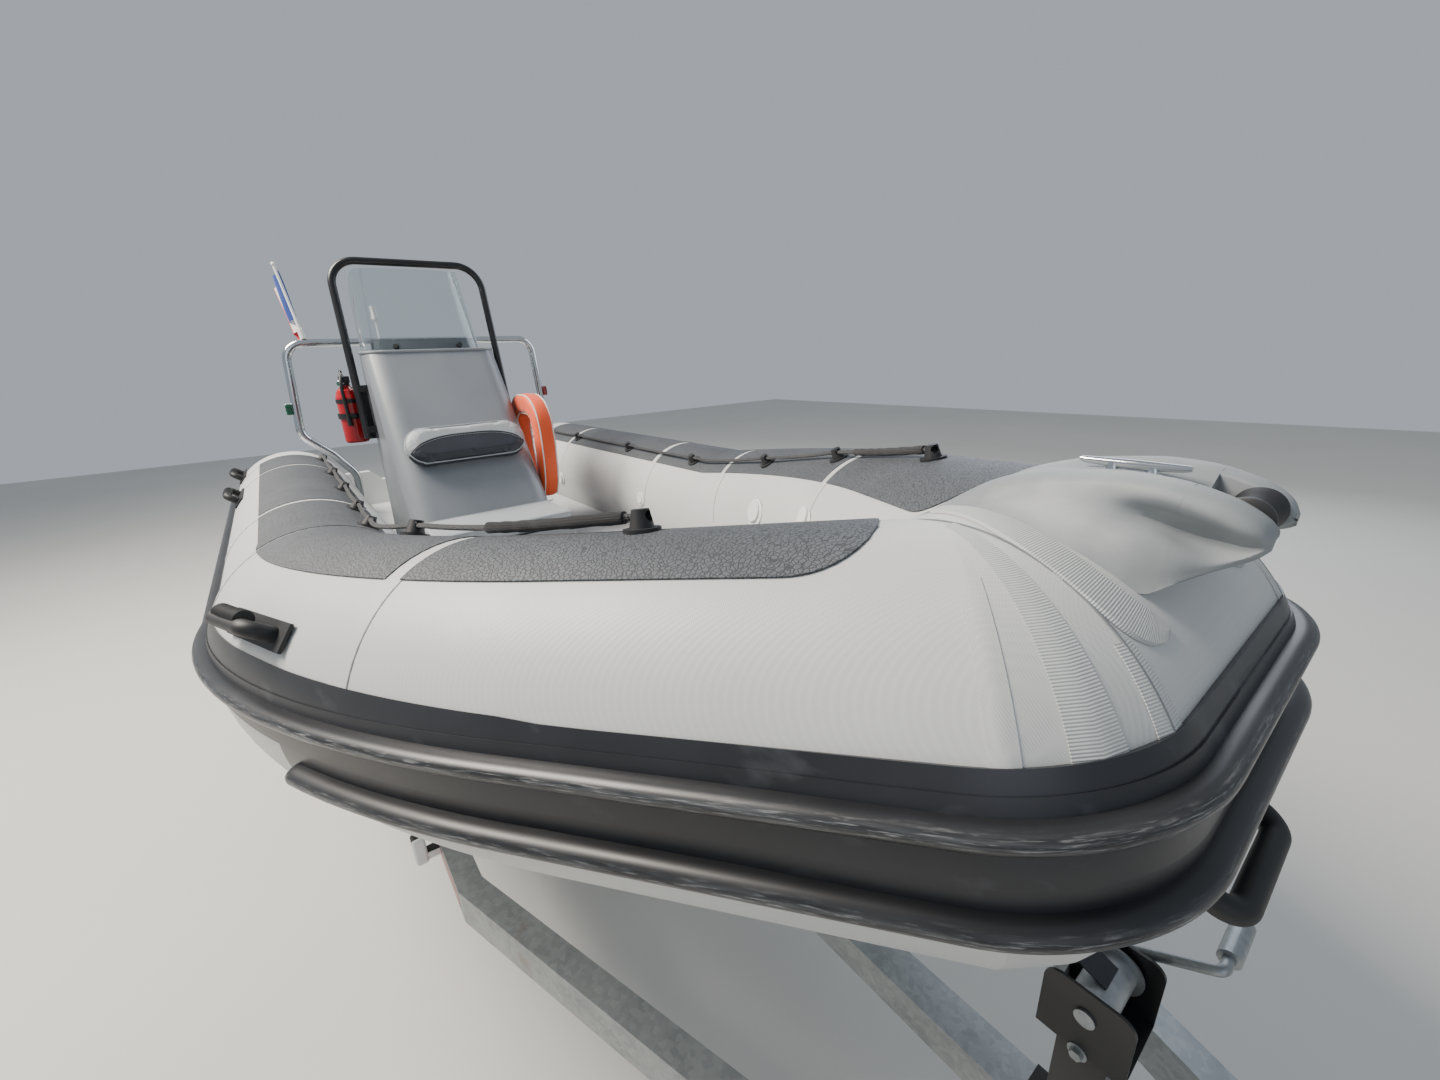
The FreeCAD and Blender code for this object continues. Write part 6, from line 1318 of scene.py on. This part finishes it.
def spots_mesh(name, spots):
    """A carrier of loose points, each with the way it faces, from (place, facing) pairs."""
    mesh = bpy.data.meshes.new(name)
    mesh.from_pydata([tuple(place) for place, _ in spots], [], [])
    layer = mesh.attributes.new("facing", "FLOAT_VECTOR", "POINT")
    for item, (_, out) in zip(layer.data, spots):
        item.vector = Vector(out)
    return mesh


def line_mesh(name, *lines):
    """A carrier of open lines of points."""
    mesh, points, edges = bpy.data.meshes.new(name), [], []
    for line in lines:
        edges += [(len(points) + i, len(points) + i + 1) for i in range(len(line) - 1)]
        points += [tuple(p) for p in line]
    mesh.from_pydata(points, edges, [])
    return mesh


# a fastener: a washer with a head that narrows to its crown, set down on each point along its facing
fastener, ends = planted("fastener", Radius=0.006, Height=0.005, Crown=0.0055, Washer=0.009, Sides=6)
lift = result(fastener, "ShaderNodeCombineXYZ", {"Z": 0.0012})
head = result(fastener, "GeometryNodeMeshCone", {"Vertices": ends["Sides"], "Radius Top": ends["Crown"],
                                                 "Radius Bottom": ends["Radius"], "Depth": ends["Height"]})
head = result(fastener, "GeometryNodeTransform", {"Geometry": head, "Translation": lift})
ring = result(fastener, "GeometryNodeMeshCylinder", {"Vertices": 20, "Radius": ends["Washer"], "Depth": 0.0026})
both_parts = add(fastener, "GeometryNodeJoinGeometry")
for part in (head, ring):
    fastener.links.new(part, both_parts.inputs[0])
out_way = result(fastener, "GeometryNodeInputNamedAttribute", {"Name": "facing"}, data_type="FLOAT_VECTOR")
turned = result(fastener, "FunctionNodeAlignRotationToVector", {"Vector": out_way}, axis="Z")
finished(fastener, ends, set_down(fastener, ends["Geometry"], both_parts.outputs[0], turned))

# beads along a line: thin long ones are stitches, wide flat ones are ribs
beads, ends = planted("beads", Spacing=0.006, Length=0.004, Radius=0.0006, Sides=6)
way = result(beads, "GeometryNodeMeshToCurve", {"Mesh": ends["Geometry"]})
way = result(beads, "GeometryNodeResampleCurve", {"Curve": way, "Length": ends["Spacing"]}, mode="LENGTH")
ahead = result(beads, "GeometryNodeInputTangent")
turned = result(beads, "FunctionNodeAlignRotationToVector", {"Vector": ahead}, axis="Z")
bead = result(beads, "GeometryNodeMeshCylinder", {"Vertices": ends["Sides"], "Radius": ends["Radius"],
                                                  "Depth": ends["Length"]})
finished(beads, ends, set_down(beads, way, bead, turned))

# tread: rows of blocks round a wheel, each row turned a little against the last
tread, ends = planted("tread", Blocks=60, Radius=0.29, Rows=5, Pitch=0.027, Long=0.024, Wide=0.021, High=0.008,
                      Stagger=0.05, Centre=(0.0, 0.0, 0.0))
circle = result(tread, "GeometryNodeMeshCircle", {"Vertices": ends["Blocks"], "Radius": ends["Radius"]})
size = result(tread, "ShaderNodeCombineXYZ", {"X": ends["High"], "Y": ends["Long"], "Z": ends["Wide"]})
block = result(tread, "GeometryNodeMeshCube", {"Size": size})
place = result(tread, "GeometryNodeInputPosition")
outward = result(tread, "FunctionNodeAlignRotationToVector", {"Vector": place}, axis="X")
row = set_down(tread, circle, block, outward)
half_span = combine(tread, "MULTIPLY", combine(tread, "SUBTRACT", ends["Rows"], 1.0), -0.5)
start = result(tread, "ShaderNodeCombineXYZ", {"Z": combine(tread, "MULTIPLY", half_span, ends["Pitch"])})
step = result(tread, "ShaderNodeCombineXYZ", {"Z": ends["Pitch"]})
axle = result(tread, "GeometryNodeMeshLine", {"Count": ends["Rows"], "Start Location": start, "Offset": step})
number = result(tread, "GeometryNodeInputIndex")
turn = result(tread, "ShaderNodeCombineXYZ", {"Z": combine(tread, "MULTIPLY", number, ends["Stagger"])})
upright = result(tread, "GeometryNodeTransform",
                 {"Geometry": set_down(tread, axle, row, turn), "Translation": ends["Centre"],
                  "Rotation": (math.pi / 2, 0.0, 0.0)})
finished(tread, ends, upright)
print("trees:", [tree.name for tree in bpy.data.node_groups])

# %% [markdown]
# ## Tyres and wheels
# A trailer tyre is a round carcass with a flat tread of separate rubber blocks. The carcass is a lathe
# with the tread's grooves as its ground, and the tread tree sets the blocks down on it. They reach just as
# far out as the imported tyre, so the trailer stands as before.

# %% Tyres
WHEEL_X, WHEEL_Y, WHEEL_Z, TYRE_RADIUS = 1050, 850, 298, 0.298
# columns: distance from the axle, place across the tyre, in mm
CARCASS = [(169.2, -52), (169.4, -59.4), (173, -66), (184, -73), (197, -76.5), (206, -79), (209, -80.4),
           (212, -79.6), (228, -82), (244, -81.6), (247, -83), (250, -81.2), (262, -79.5), (274, -76), (283, -70.5),
           (288, -64), (289.4, -56), (290, -30), (290.4, 0)]
profile = [(r / 1000, a / 1000) for r, a in CARCASS + [(r, -a) for r, a in CARCASS[-2::-1]]]
for side, name in ((1, "port"), (-1, "starboard")):
    centre = at(WHEEL_X, side * WHEEL_Y, WHEEL_Z)
    body = "wheel_" + name
    tyre = Shell().lathe(profile + profile[:1], facing(centre, (0, side, 0)), 96)
    tyre = tyre.piece("carcass_" + name, tyre_rubber, body, "tyre", 30)
    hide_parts("tyre_" + name)
    blocks = grown(tread, bpy.data.meshes.new("hub_point"), "tread_blocks_" + name, tyre_rubber, body, "tyre",
                   High=0.0082, Centre=tuple(centre), Radius=TYRE_RADIUS - 0.0044, Blocks=62, Rows=5,
                   Pitch=0.0262, Long=0.0245, Wide=0.0212)
    print(name, "tyre:", len(tyre.data.polygons) + len(blocks.data.polygons), "faces")

# %% [markdown]
# ## Bolts and screws
# A trailer is bolted together and a console is screwed down, so fasteners sit on many faces. A straight
# line sent at a solid finds its face and the way it looks there, and the fastener tree does the rest.

# %% Bolts and screws
def touch(solid, start, way):
    """Where a line from a place in boat millimetres first meets a solid, and how its face looks there."""
    solid = nodes[solid] if isinstance(solid, str) else solid
    hit, spot, normal, _ = solid.ray_cast(at(*start), Vector(way).normalized())
    if not hit:
        print("no face of", solid.name, "in the way of", start)
    return [(spot + normal * 0.0002, normal)] if hit else []


def touches(solid, starts, way):
    """The faces that several parallel lines meet."""
    return [one for start in starts for one in touch(solid, start, way)]


def fasten(name, spots, look, slot, body=BOAT, **sizes):
    """Sets a fastener on each spot."""
    return grown(fastener, spots_mesh(name + "_places", spots), name, look, body, slot, **sizes)


trailer_bolts = []
for x in (235, 285, 1155, 1205, 2225, 2275):
    for side in (-1, 1):
        trailer_bolts += touch("side_beams", (x, side * 900, 510), (0, -side, 0))
for side in (-1, 1):
    trailer_bolts += touches("winch_post", [(4130, side * 200, z) for z in (570, 640, 790)], (0, -side, 0))
    trailer_bolts += touches("coupling_head", [(x, side * 200, 500) for x in (5150, 5210)], (0, -side, 0))
    trailer_bolts += touches("suspension_arms", [(1190, side * 980, z) for z in (430, 400)], (0, -side, 0))
fasten("trailer_bolts", trailer_bolts, galvanised, "galvanised", Radius=0.0095, Height=0.008, Crown=0.0088,
       Washer=0.0135)
screws = []
for share in (-0.8, -0.4, 0.0, 0.4, 0.8):
    screws += touch("console", (1215 - 40 * abs(share), CONSOLE_Y + 258 * share, 2000), (0, 0, -1))
for side in (-1, 1):
    aside = CONSOLE_Y + side * 500
    screws += touches("console", [(x, aside, 1010) for x in (1200, 1450, 1700)], (0, -side, 0))
    screws += touches("seat_boxes", [(x, aside, 1000) for x in (600, 690, 780, 1930)], (0, -side, 0))
screws += touches("bow_locker", [(2600, y, 1060) for y in (-330, 0, 330)], (1, 0, 0))
screws += touches("transom", [(300, y, 1120) for y in (-250, -190, 190, 250)], (-1, 0, 0))
fasten("boat_screws", screws, stainless, "stainless", Radius=0.0048, Height=0.0026, Crown=0.0028,
       Washer=0.0062, Sides=14)
NUT_CIRCLE, NUTS = 50, 5
for side, name in ((1, "port"), (-1, "starboard")):
    starts = [(WHEEL_X + NUT_CIRCLE * math.cos(t), side * 1000, WHEEL_Z + NUT_CIRCLE * math.sin(t))
              for t in (2 * math.pi * k / NUTS for k in range(NUTS))]
    rim_nuts = touches("wheel_rim_" + name, starts, (0, -side, 0))
    fasten("wheel_nuts_" + name, rim_nuts, stainless, "wheel_silver", "wheel_" + name, Radius=0.0095,
           Height=0.014, Crown=0.0088, Washer=0.012)
print("bolts:", len(trailer_bolts), "screws:", len(screws))

# %% [markdown]
# ## Windscreen
# The screen is one sheet of clear acrylic that was bent warm, so it has no fold anywhere and its top
# corners are round. Each of its upright lines starts where it leaves the console's top.

# %% Windscreen
# columns: millimetres back from the screen's nose, and the share of its half width there
SCREEN_PLAN = [(0, 0.0), (5, 0.3), (19, 0.58), (44, 0.82), (92, 0.94), (165, 0.985), (270, 1.0)]
# columns: nose, half width and height of the screen's low and top edges
SCREEN_LOW, SCREEN_TOP = Vector((1275, 258, 1816)), Vector((1125, 238, 2235))
# the top edge rounds off from this share of the half width, and falls by this share of the height
ROUND_FROM, WING_DROP = 0.6, 0.34
# the grey foot strip: how far it reaches to each side, its share of the height, the sheet's thickness in mm
FOOT_REACH, FOOT_TALL, SHEET = 0.66, 0.125, 5.0
plan = curved([Vector((back, side * wide, 0)) for side, part in ((-1, SCREEN_PLAN[:0:-1]), (1, SCREEN_PLAN))
               for back, wide in part], 5)


def screen_spot(place, up, inset):
    """A place on the sheet at a share of its height, inset towards the helm."""
    nose, half, high = SCREEN_LOW.lerp(SCREEN_TOP, up)
    return at(nose - inset - place.x, CONSOLE_Y + place.y * (half - inset), high)


outer, inner, foot = [], [], []
for i, place in enumerate(plan):
    aside = abs(2 * i / (len(plan) - 1) - 1)
    turn = max(0.0, (aside - ROUND_FROM) / (1 - ROUND_FROM))
    top = 1 - WING_DROP * (1 - math.sqrt(1 - turn ** 2))
    start, end = screen_spot(place, top, 0), screen_spot(place, 0, 0)
    fall = end - start
    met, spot, _, _ = nodes["console"].ray_cast(start, fall.normalized(), distance=fall.length)
    low = top * (1 - (spot - start).length / fall.length) - 0.004 if met else 0.0
    levels = [low + (top - low) * k / 10 for k in range(11)]
    outer.append([screen_spot(place, up, 0) for up in levels])
    inner.append([screen_spot(place, up, SHEET) for up in levels])
    if aside < FOOT_REACH:
        foot.append([[screen_spot(place, low + FOOT_TALL * k / 3, inset) for k in range(4)]
                     for inset in (5.4, 11.0)])
screen = Shell().plate(outer, inner).piece("bent_screen", acrylic, slot="clear_screen", crease=30)
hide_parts("windscreen")
foot = Shell().plate([row for row, _ in foot], [row for _, row in foot])
foot.piece("screen_foot", gelcoat_grey, slot="gelcoat_grey", crease=30)
knobs = [spot for y in (-142, 129) for spot in touch(screen, (1500, CONSOLE_Y + y, 1893), (-1, 0, 0))]
fasten("screen_knobs", knobs, black_plastic, "black_plastic", Radius=0.012, Height=0.014, Crown=0.0095,
       Washer=0.0125, Sides=18)
print("screen faces:", len(screen.data.polygons))

# %% [markdown]
# ## Engine cowl
# A cowl is a moulded shell with soft edges everywhere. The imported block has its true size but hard
# edges, so a merged copy of it is meshed evenly and its edges are relaxed by a few millimetres.

# %% Engine cowl
cowl_mesh = nodes["engine_cowl"].data.copy()
work = bmesh.new()
work.from_mesh(cowl_mesh)
bmesh.ops.remove_doubles(work, verts=work.verts, dist=1e-5)
work.to_mesh(cowl_mesh)
work.free()
cowl = linked("soft_edged_cowl", cowl_mesh)
even = cowl.modifiers.new("even", "REMESH")
even.mode, even.voxel_size = "VOXEL", 0.009
relax = cowl.modifiers.new("relax", "SMOOTH")
relax.factor, relax.iterations = 0.5, 70
relaxed = baked(cowl)
bpy.data.objects.remove(cowl)
cowl = placed(relaxed, "soft_edged_cowl", engine_paint, "engine", 60)
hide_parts("engine_cowl")
print("cowl faces:", len(cowl.data.polygons))

# %% [markdown]
# ## Seams, beads and parting lines
# A thin bead runs where one moulding meets another: sealant round the foot of the console, a rubber seal
# between the two halves of the engine's cowl, a rolled edge on top. Each follows the solid itself: a flat
# cut through it gives the line, and a tree turns the line into a bead.

# %% Beads that follow a solid
piping, ends = planted("piping", Radius=0.002, Sides=8)
line = result(piping, "GeometryNodeMeshToCurve", {"Mesh": ends["Geometry"]})
section = result(piping, "GeometryNodeCurvePrimitiveCircle",
                 {"Resolution": ends["Sides"], "Radius": ends["Radius"]})
cord = result(piping, "GeometryNodeCurveToMesh", {"Curve": line, "Profile Curve": section, "Fill Caps": True})
finished(piping, ends, cord)


def slice_line(solid, height):
    """The line where a level cut meets a solid, as a carrier mesh."""
    work = bmesh.new()
    work.from_mesh(solid.data)
    bmesh.ops.remove_doubles(work, verts=work.verts, dist=1e-5)
    cut = bmesh.ops.bisect_plane(work, geom=work.verts[:] + work.edges[:] + work.faces[:], dist=1e-7,
                                 plane_co=at(0, 0, height), plane_no=(0, 0, 1))["geom_cut"]
    kept = [e for e in cut if isinstance(e, bmesh.types.BMEdge)]
    points = {v: i for i, v in enumerate(dict.fromkeys(v for e in kept for v in e.verts))}
    mesh = bpy.data.meshes.new(solid.name + "_line")
    mesh.from_pydata([tuple(v.co) for v in points], [tuple(points[v] for v in e.verts) for e in kept], [])
    work.free()
    return mesh


# columns: the solid, the height of the cut in mm, then the bead's name, finish, body, slot and radius
BEADS = [(cowl, 1392, "cowl_seal", moulded_rubber, "engine", "engine_paint", 0.0042),
         (nodes["console"], 973, "console_sealant", piping_white, BOAT, "gelcoat_grey", 0.0045),
         (nodes["console"], 1872, "console_rolled_edge", gelcoat_grey, BOAT, "gelcoat_grey", 0.007),
         (nodes["bow_locker_lid"], 1161, "lid_edge", gelcoat_white, "bow_locker_lid", "gelcoat_white", 0.0018)]
for solid, height, name, look, body, slot, radius in BEADS:
    grown(piping, slice_line(solid, height), name, look, body, slot, Radius=radius)
print("beads on solids:", len(BEADS))

# %% [markdown]
# ## Stitches and grip ribs
# The backrest's two colours meet in a sewn seam with a row of stitches on each side, and the rubber
# handles have fine ribs where a hand holds them. Both are beads along a line.

# %% Stitches and ribs
thread = finish("bonded_nylon_thread", "#C9CCCE", "#B9BCBE", 0.7, patch=20)
stitch_lines = []
for lift in (-0.006, 0.006):
    drawn = []
    for place in panel_seam:
        _, spot, normal, _ = backrest.closest_point_on_mesh(place + face_up * lift)
        drawn.append(spot + normal * 0.0004)
    stitch_lines.append(curved(drawn, 2))
stitches = grown(beads, line_mesh("stitch_lines", *stitch_lines), "backrest_stitches", thread, slot="cushion",
                 Spacing=0.0062, Length=0.0042, Radius=0.0007)
# half a handle's length, its place round the tube in degrees, and how far its grip stands off the tube
HANDLE_HALF, HANDLE_ANGLE, HANDLE_OFF = 0.055, 52, 0.0473
rib_lines = []
for along in (level_at(340), level_at(1027), bend_at(16.9)):
    for side in (-1, 1):
        step = count_over(HANDLE_HALF, along) / 4
        rib_lines.append([collar(along + k * step, HANDLE_ANGLE, HANDLE_OFF, side) for k in range(-4, 5)])
ribs = grown(beads, line_mesh("rib_lines", *rib_lines), "handle_ribs", moulded_rubber, slot="rubber_black",
             Spacing=0.0068, Length=0.0032, Radius=0.0156, Sides=22)
print("stitch faces:", len(stitches.data.polygons), "rib faces:", len(ribs.data.polygons))

# %% [markdown]
# ## Helm
# The dash is a black panel that slopes up from the wheel. It holds two round dials, a row of rocker
# switches and an ignition lock. The dials carry plain strokes round their edge, as a blank gauge does.

# %% Dash panel and dials
dash_low, dash_high = at(1070, CONSOLE_Y, 1690), at(1165, CONSOLE_Y, 1876)
dash_up = (dash_high - dash_low).normalized()
dash_out = Vector((-dash_up.z, 0, dash_up.x))


def on_dash(y, share, off=0.0):
    """A place on the dash: mm to port of its middle, share of its height, metres off it."""
    return dash_low + (dash_high - dash_low) * share + Vector((0, y / 1000, 0)) + dash_out * off


def dash_place(y, share, off=0.0):
    """The same place, with its Z axis out of the dash and its Y axis up it."""
    return facing(on_dash(y, share, off), dash_out, dash_up)


panel_spots = [(on_dash(y, share, 0.0052), dash_out) for share in (0.30, 0.68) for y in (-190, 190)]
panel_board = Shell().block(dash_place(0, 0.49, 0.0028), (0.42, 0.118, 0.0046), 0.0018, 2)
panel_board.piece("dash_panel", black_plastic, slot="black_plastic")
bezels, faces, marks, switches = Shell(), Shell(), Shell(), Shell()
for y, radius in ((-118, 0.042), (-28, 0.042)):
    place = dash_place(y, 0.5, 0.0052)
    bezels.lathe([(radius - 0.004, 0.0), (radius - 0.004, 0.004), (radius - 0.002, 0.006), (radius, 0.005),
                  (radius + 0.002, 0.001), (radius + 0.002, 0.0), (radius - 0.004, 0.0)], place, 40)
    faces.lathe([(0, 0.0024), (radius - 0.0042, 0.0024), (radius - 0.0042, 0.0), (0, 0.0)], place, 40)
    for k in range(11):
        t = math.radians(-60 + 30 * k)
        spot = place @ Matrix.Translation((-math.cos(t) * radius * 0.76, math.sin(t) * radius * 0.76, 0.0027))
        marks.block(spot @ Matrix.Rotation(-t, 4, "Z"), (0.006, 0.0012, 0.0005), 0.0001, 1)
    marks.block(place @ Matrix.Translation((-0.008, 0.006, 0.003)) @ Matrix.Rotation(-0.7, 4, "Z"),
                (0.026, 0.0014, 0.0008), 0.0002, 1)
for k in range(5):
    y = 45 + k * 27
    switches.block(dash_place(y, 0.5, 0.0078), (0.019, 0.034, 0.0062), 0.002, 2)
    rocker = dash_place(y, 0.56, 0.0112) @ Matrix.Rotation(0.16, 4, "X")
    switches.block(rocker, (0.014, 0.014, 0.0042), 0.001, 1)
bezels.lathe([(0, 0.0), (0.013, 0.0), (0.013, 0.004), (0.009, 0.007), (0.006, 0.0075), (0, 0.0075)],
             dash_place(178, 0.24, 0.0), 24)
bezels.block(dash_place(178, 0.24, 0.017), (0.0022, 0.016, 0.02), 0.0008, 1)
bezels.piece("dial_bezels", stainless, slot="stainless")
faces.piece("dial_faces", dark_glass, slot="black_plastic")
marks.piece("dial_marks", white_plastic, slot="white_plastic")
switches.piece("rocker_switches", black_plastic, slot="black_plastic")
fasten("panel_screws", panel_spots, stainless, "stainless", Radius=0.0034, Height=0.002, Crown=0.002,
       Washer=0.0044, Sides=12)
print("dials: 2, switches: 5")

# %% [markdown]
# ## Extinguisher fittings
# A powder extinguisher hangs on the console's side. A steel band with a catch holds it, a small round
# gauge sits in its head, and a short rubber hose leaves the head and turns down along the bottle.

# %% Extinguisher fittings
bottle = Matrix.Translation(at(1105, -508, 0))
BAND_IN, BAND_OUT, BAND_HALF = 0.0503, 0.0516, 0.009
bands = Shell()
for z in (1.602, 1.668):
    low, high = z - BAND_HALF, z + BAND_HALF
    bands.lathe([(BAND_IN, low), (BAND_OUT, low), (BAND_OUT, high), (BAND_IN, high), (BAND_IN, low)], bottle, 40)
bands.block(Matrix.Translation(at(1160, -508, 1602)), (0.012, 0.03, 0.02), 0.003, 2)
bands.piece("extinguisher_bands", black_plastic, slot="black_plastic")
hose_line = [at(*place) for place in ((1105, -508, 1762), (1140, -520, 1772), (1164, -528, 1745),
                                      (1169, -530, 1690), (1166, -529, 1600), (1164, -528, 1560))]
hose = Shell().tube(curved(hose_line, 6), 0.0075, 14).tube(curved(hose_line[-2:], 2), [0.0095, 0.0105, 0.0115], 14)
hose.piece("extinguisher_hose", moulded_rubber, slot="rubber_black", crease=60)
gauge_place = facing(at(1126, -530, 1745), (0.7, -0.7, 0), (0, 0, 1))
gauge = Shell().lathe([(0, -0.012), (0.013, -0.012), (0.013, 0.003), (0.011, 0.0045), (0, 0.0045)], gauge_place, 24)
gauge.piece("extinguisher_gauge", stainless, slot="stainless")
face = Shell().lathe([(0, 0.0046), (0.0095, 0.0046), (0.0095, 0.0052), (0, 0.0052)], gauge_place, 24)
face.piece("extinguisher_gauge_face", green_lens, slot="black_plastic")
print("extinguisher: two bands, hose and gauge")

# %% [markdown]
# ## Cowl, trailer and tube details
# The cowl breathes through a slatted intake at its back and has steel trim on its sides, red reflective
# tape warns along the trailer's beams, and white rings sit round the valves of the tubes.

# %% Small details
slats = Shell()
for spot, normal in touches(cowl, [(-900, 0, 1640 - 16 * k) for k in range(6)], (1, 0, 0)):
    slats.block(facing(spot, normal), (0.17, 0.0065, 0.007), 0.0016, 1)
slats.piece("intake_slats", black_plastic, "engine", "black_plastic")
trim = Shell()
for side in (-1, 1):
    for spot, normal in touches(cowl, [(x, side * 400, 1480) for x in range(-520, -170, 50)], (0, -side, 0)):
        trim.block(facing(spot, normal), (0.048, 0.010, 0.0016), 0.0005, 1)
trim.piece("cowl_side_trim", stainless, "engine", "stainless")
tape = Shell()
for side in (-1, 1):
    for x in (420, 820, 1350, 1750, 2450, 2850):
        tape.block(Matrix.Translation(at(x, side * 700.4, 510)), (0.26, 0.0006, 0.05), 0.0002, 1)
tape.piece("reflective_tape", red_tape, slot="lamp")
# columns: metres along the side tube, degrees round it, the valve's radius
VALVES = [(0.647, -91, 0.026), (1.610, -84, 0.020), (2.572, -74, 0.038), (3.002, -70, 0.030)]
valve_rings, valve_spots = Shell(), []
for run, angle, r in VALVES:
    on_level = level_at(1000 * (LEVEL_START + run))
    along = on_level if run < LEVEL_RUN else bend_at(math.degrees((run - LEVEL_RUN - RISE_LEAD) / BEND_RADIUS))
    for side in (-1, 1):
        foot, tip = collar(along, angle, 0.0012, side), collar(along, angle, 0.02, side)
        valve_spots.append((foot, r + 0.004))
        valve_rings.lathe([(r + 0.002, 0.0), (r + 0.013, 0.0), (r + 0.013, 0.0018), (r + 0.009, 0.0042),
                           (r + 0.002, 0.005), (r + 0.002, 0.0)], facing(foot, tip - foot), 30)
valve_rings.piece("valve_rings", white_plastic, slot="rubber_black")
dress("rubber_fittings", moulded_rubber, white_plastic,
      pick=lambda p: 1 if any((p - spot).length < reach + 0.02 for spot, reach in valve_spots) else 0)
print("slats, trim, tape and valve rings fitted")

# %% [markdown]
# ## Floor and light
# The boat stands on a plain pale floor. A large soft panel stands high on the starboard quarter, where
# the sun was, and two weaker ones fill the shadows, so that dark rubber keeps its form.

# %% Floor and light
HALF_FLOOR = 15.0
floor_mesh = bpy.data.meshes.new("floor")
floor_mesh.from_pydata([(x * HALF_FLOOR, y * HALF_FLOOR, 0) for x, y in ((-1, -1), (1, -1), (1, 1), (-1, 1))],
                       [], [(0, 1, 2, 3)])
floor = linked("floor", floor_mesh)
floor_paint = finish("studio_floor", "#C9C8C4", "#C3C2BE", 0.85, patch=2500, grain=8.0, depth=0.02)
floor_mesh.materials.append(floor_paint.material)


def panel(name, place, target, size, power, tint):
    """A square soft light that looks at a target."""
    light = bpy.data.lights.new(name, "AREA")
    light.size = size
    light.energy = power
    light.color = colour(tint)[:3]
    made = linked(name, light)
    made.location = place
    made.rotation_euler = (Vector(target) - Vector(place)).to_track_quat("-Z", "Y").to_euler()


panel("key", (-2.2, -3.4, 6.2), (0.4, 0.0, 1.0), 3.0, 1100, "#FFF6EA")
panel("bow_fill", (6.5, -3.5, 3.6), (0.8, 0.0, 1.0), 4.0, 45, "#EEF4FF")
panel("side_fill", (-1.0, 6.5, 4.2), (-0.2, 0.0, 1.0), 5.0, 200, "#EEF4FF")
world = bpy.data.worlds.new("studio")
world.use_nodes = True
sky = world.node_tree.nodes["Background"].inputs
sky["Color"].default_value = colour("#DDE6F0")
sky["Strength"].default_value = 0.56
scene.world = world
print("stage: floor and three panels")
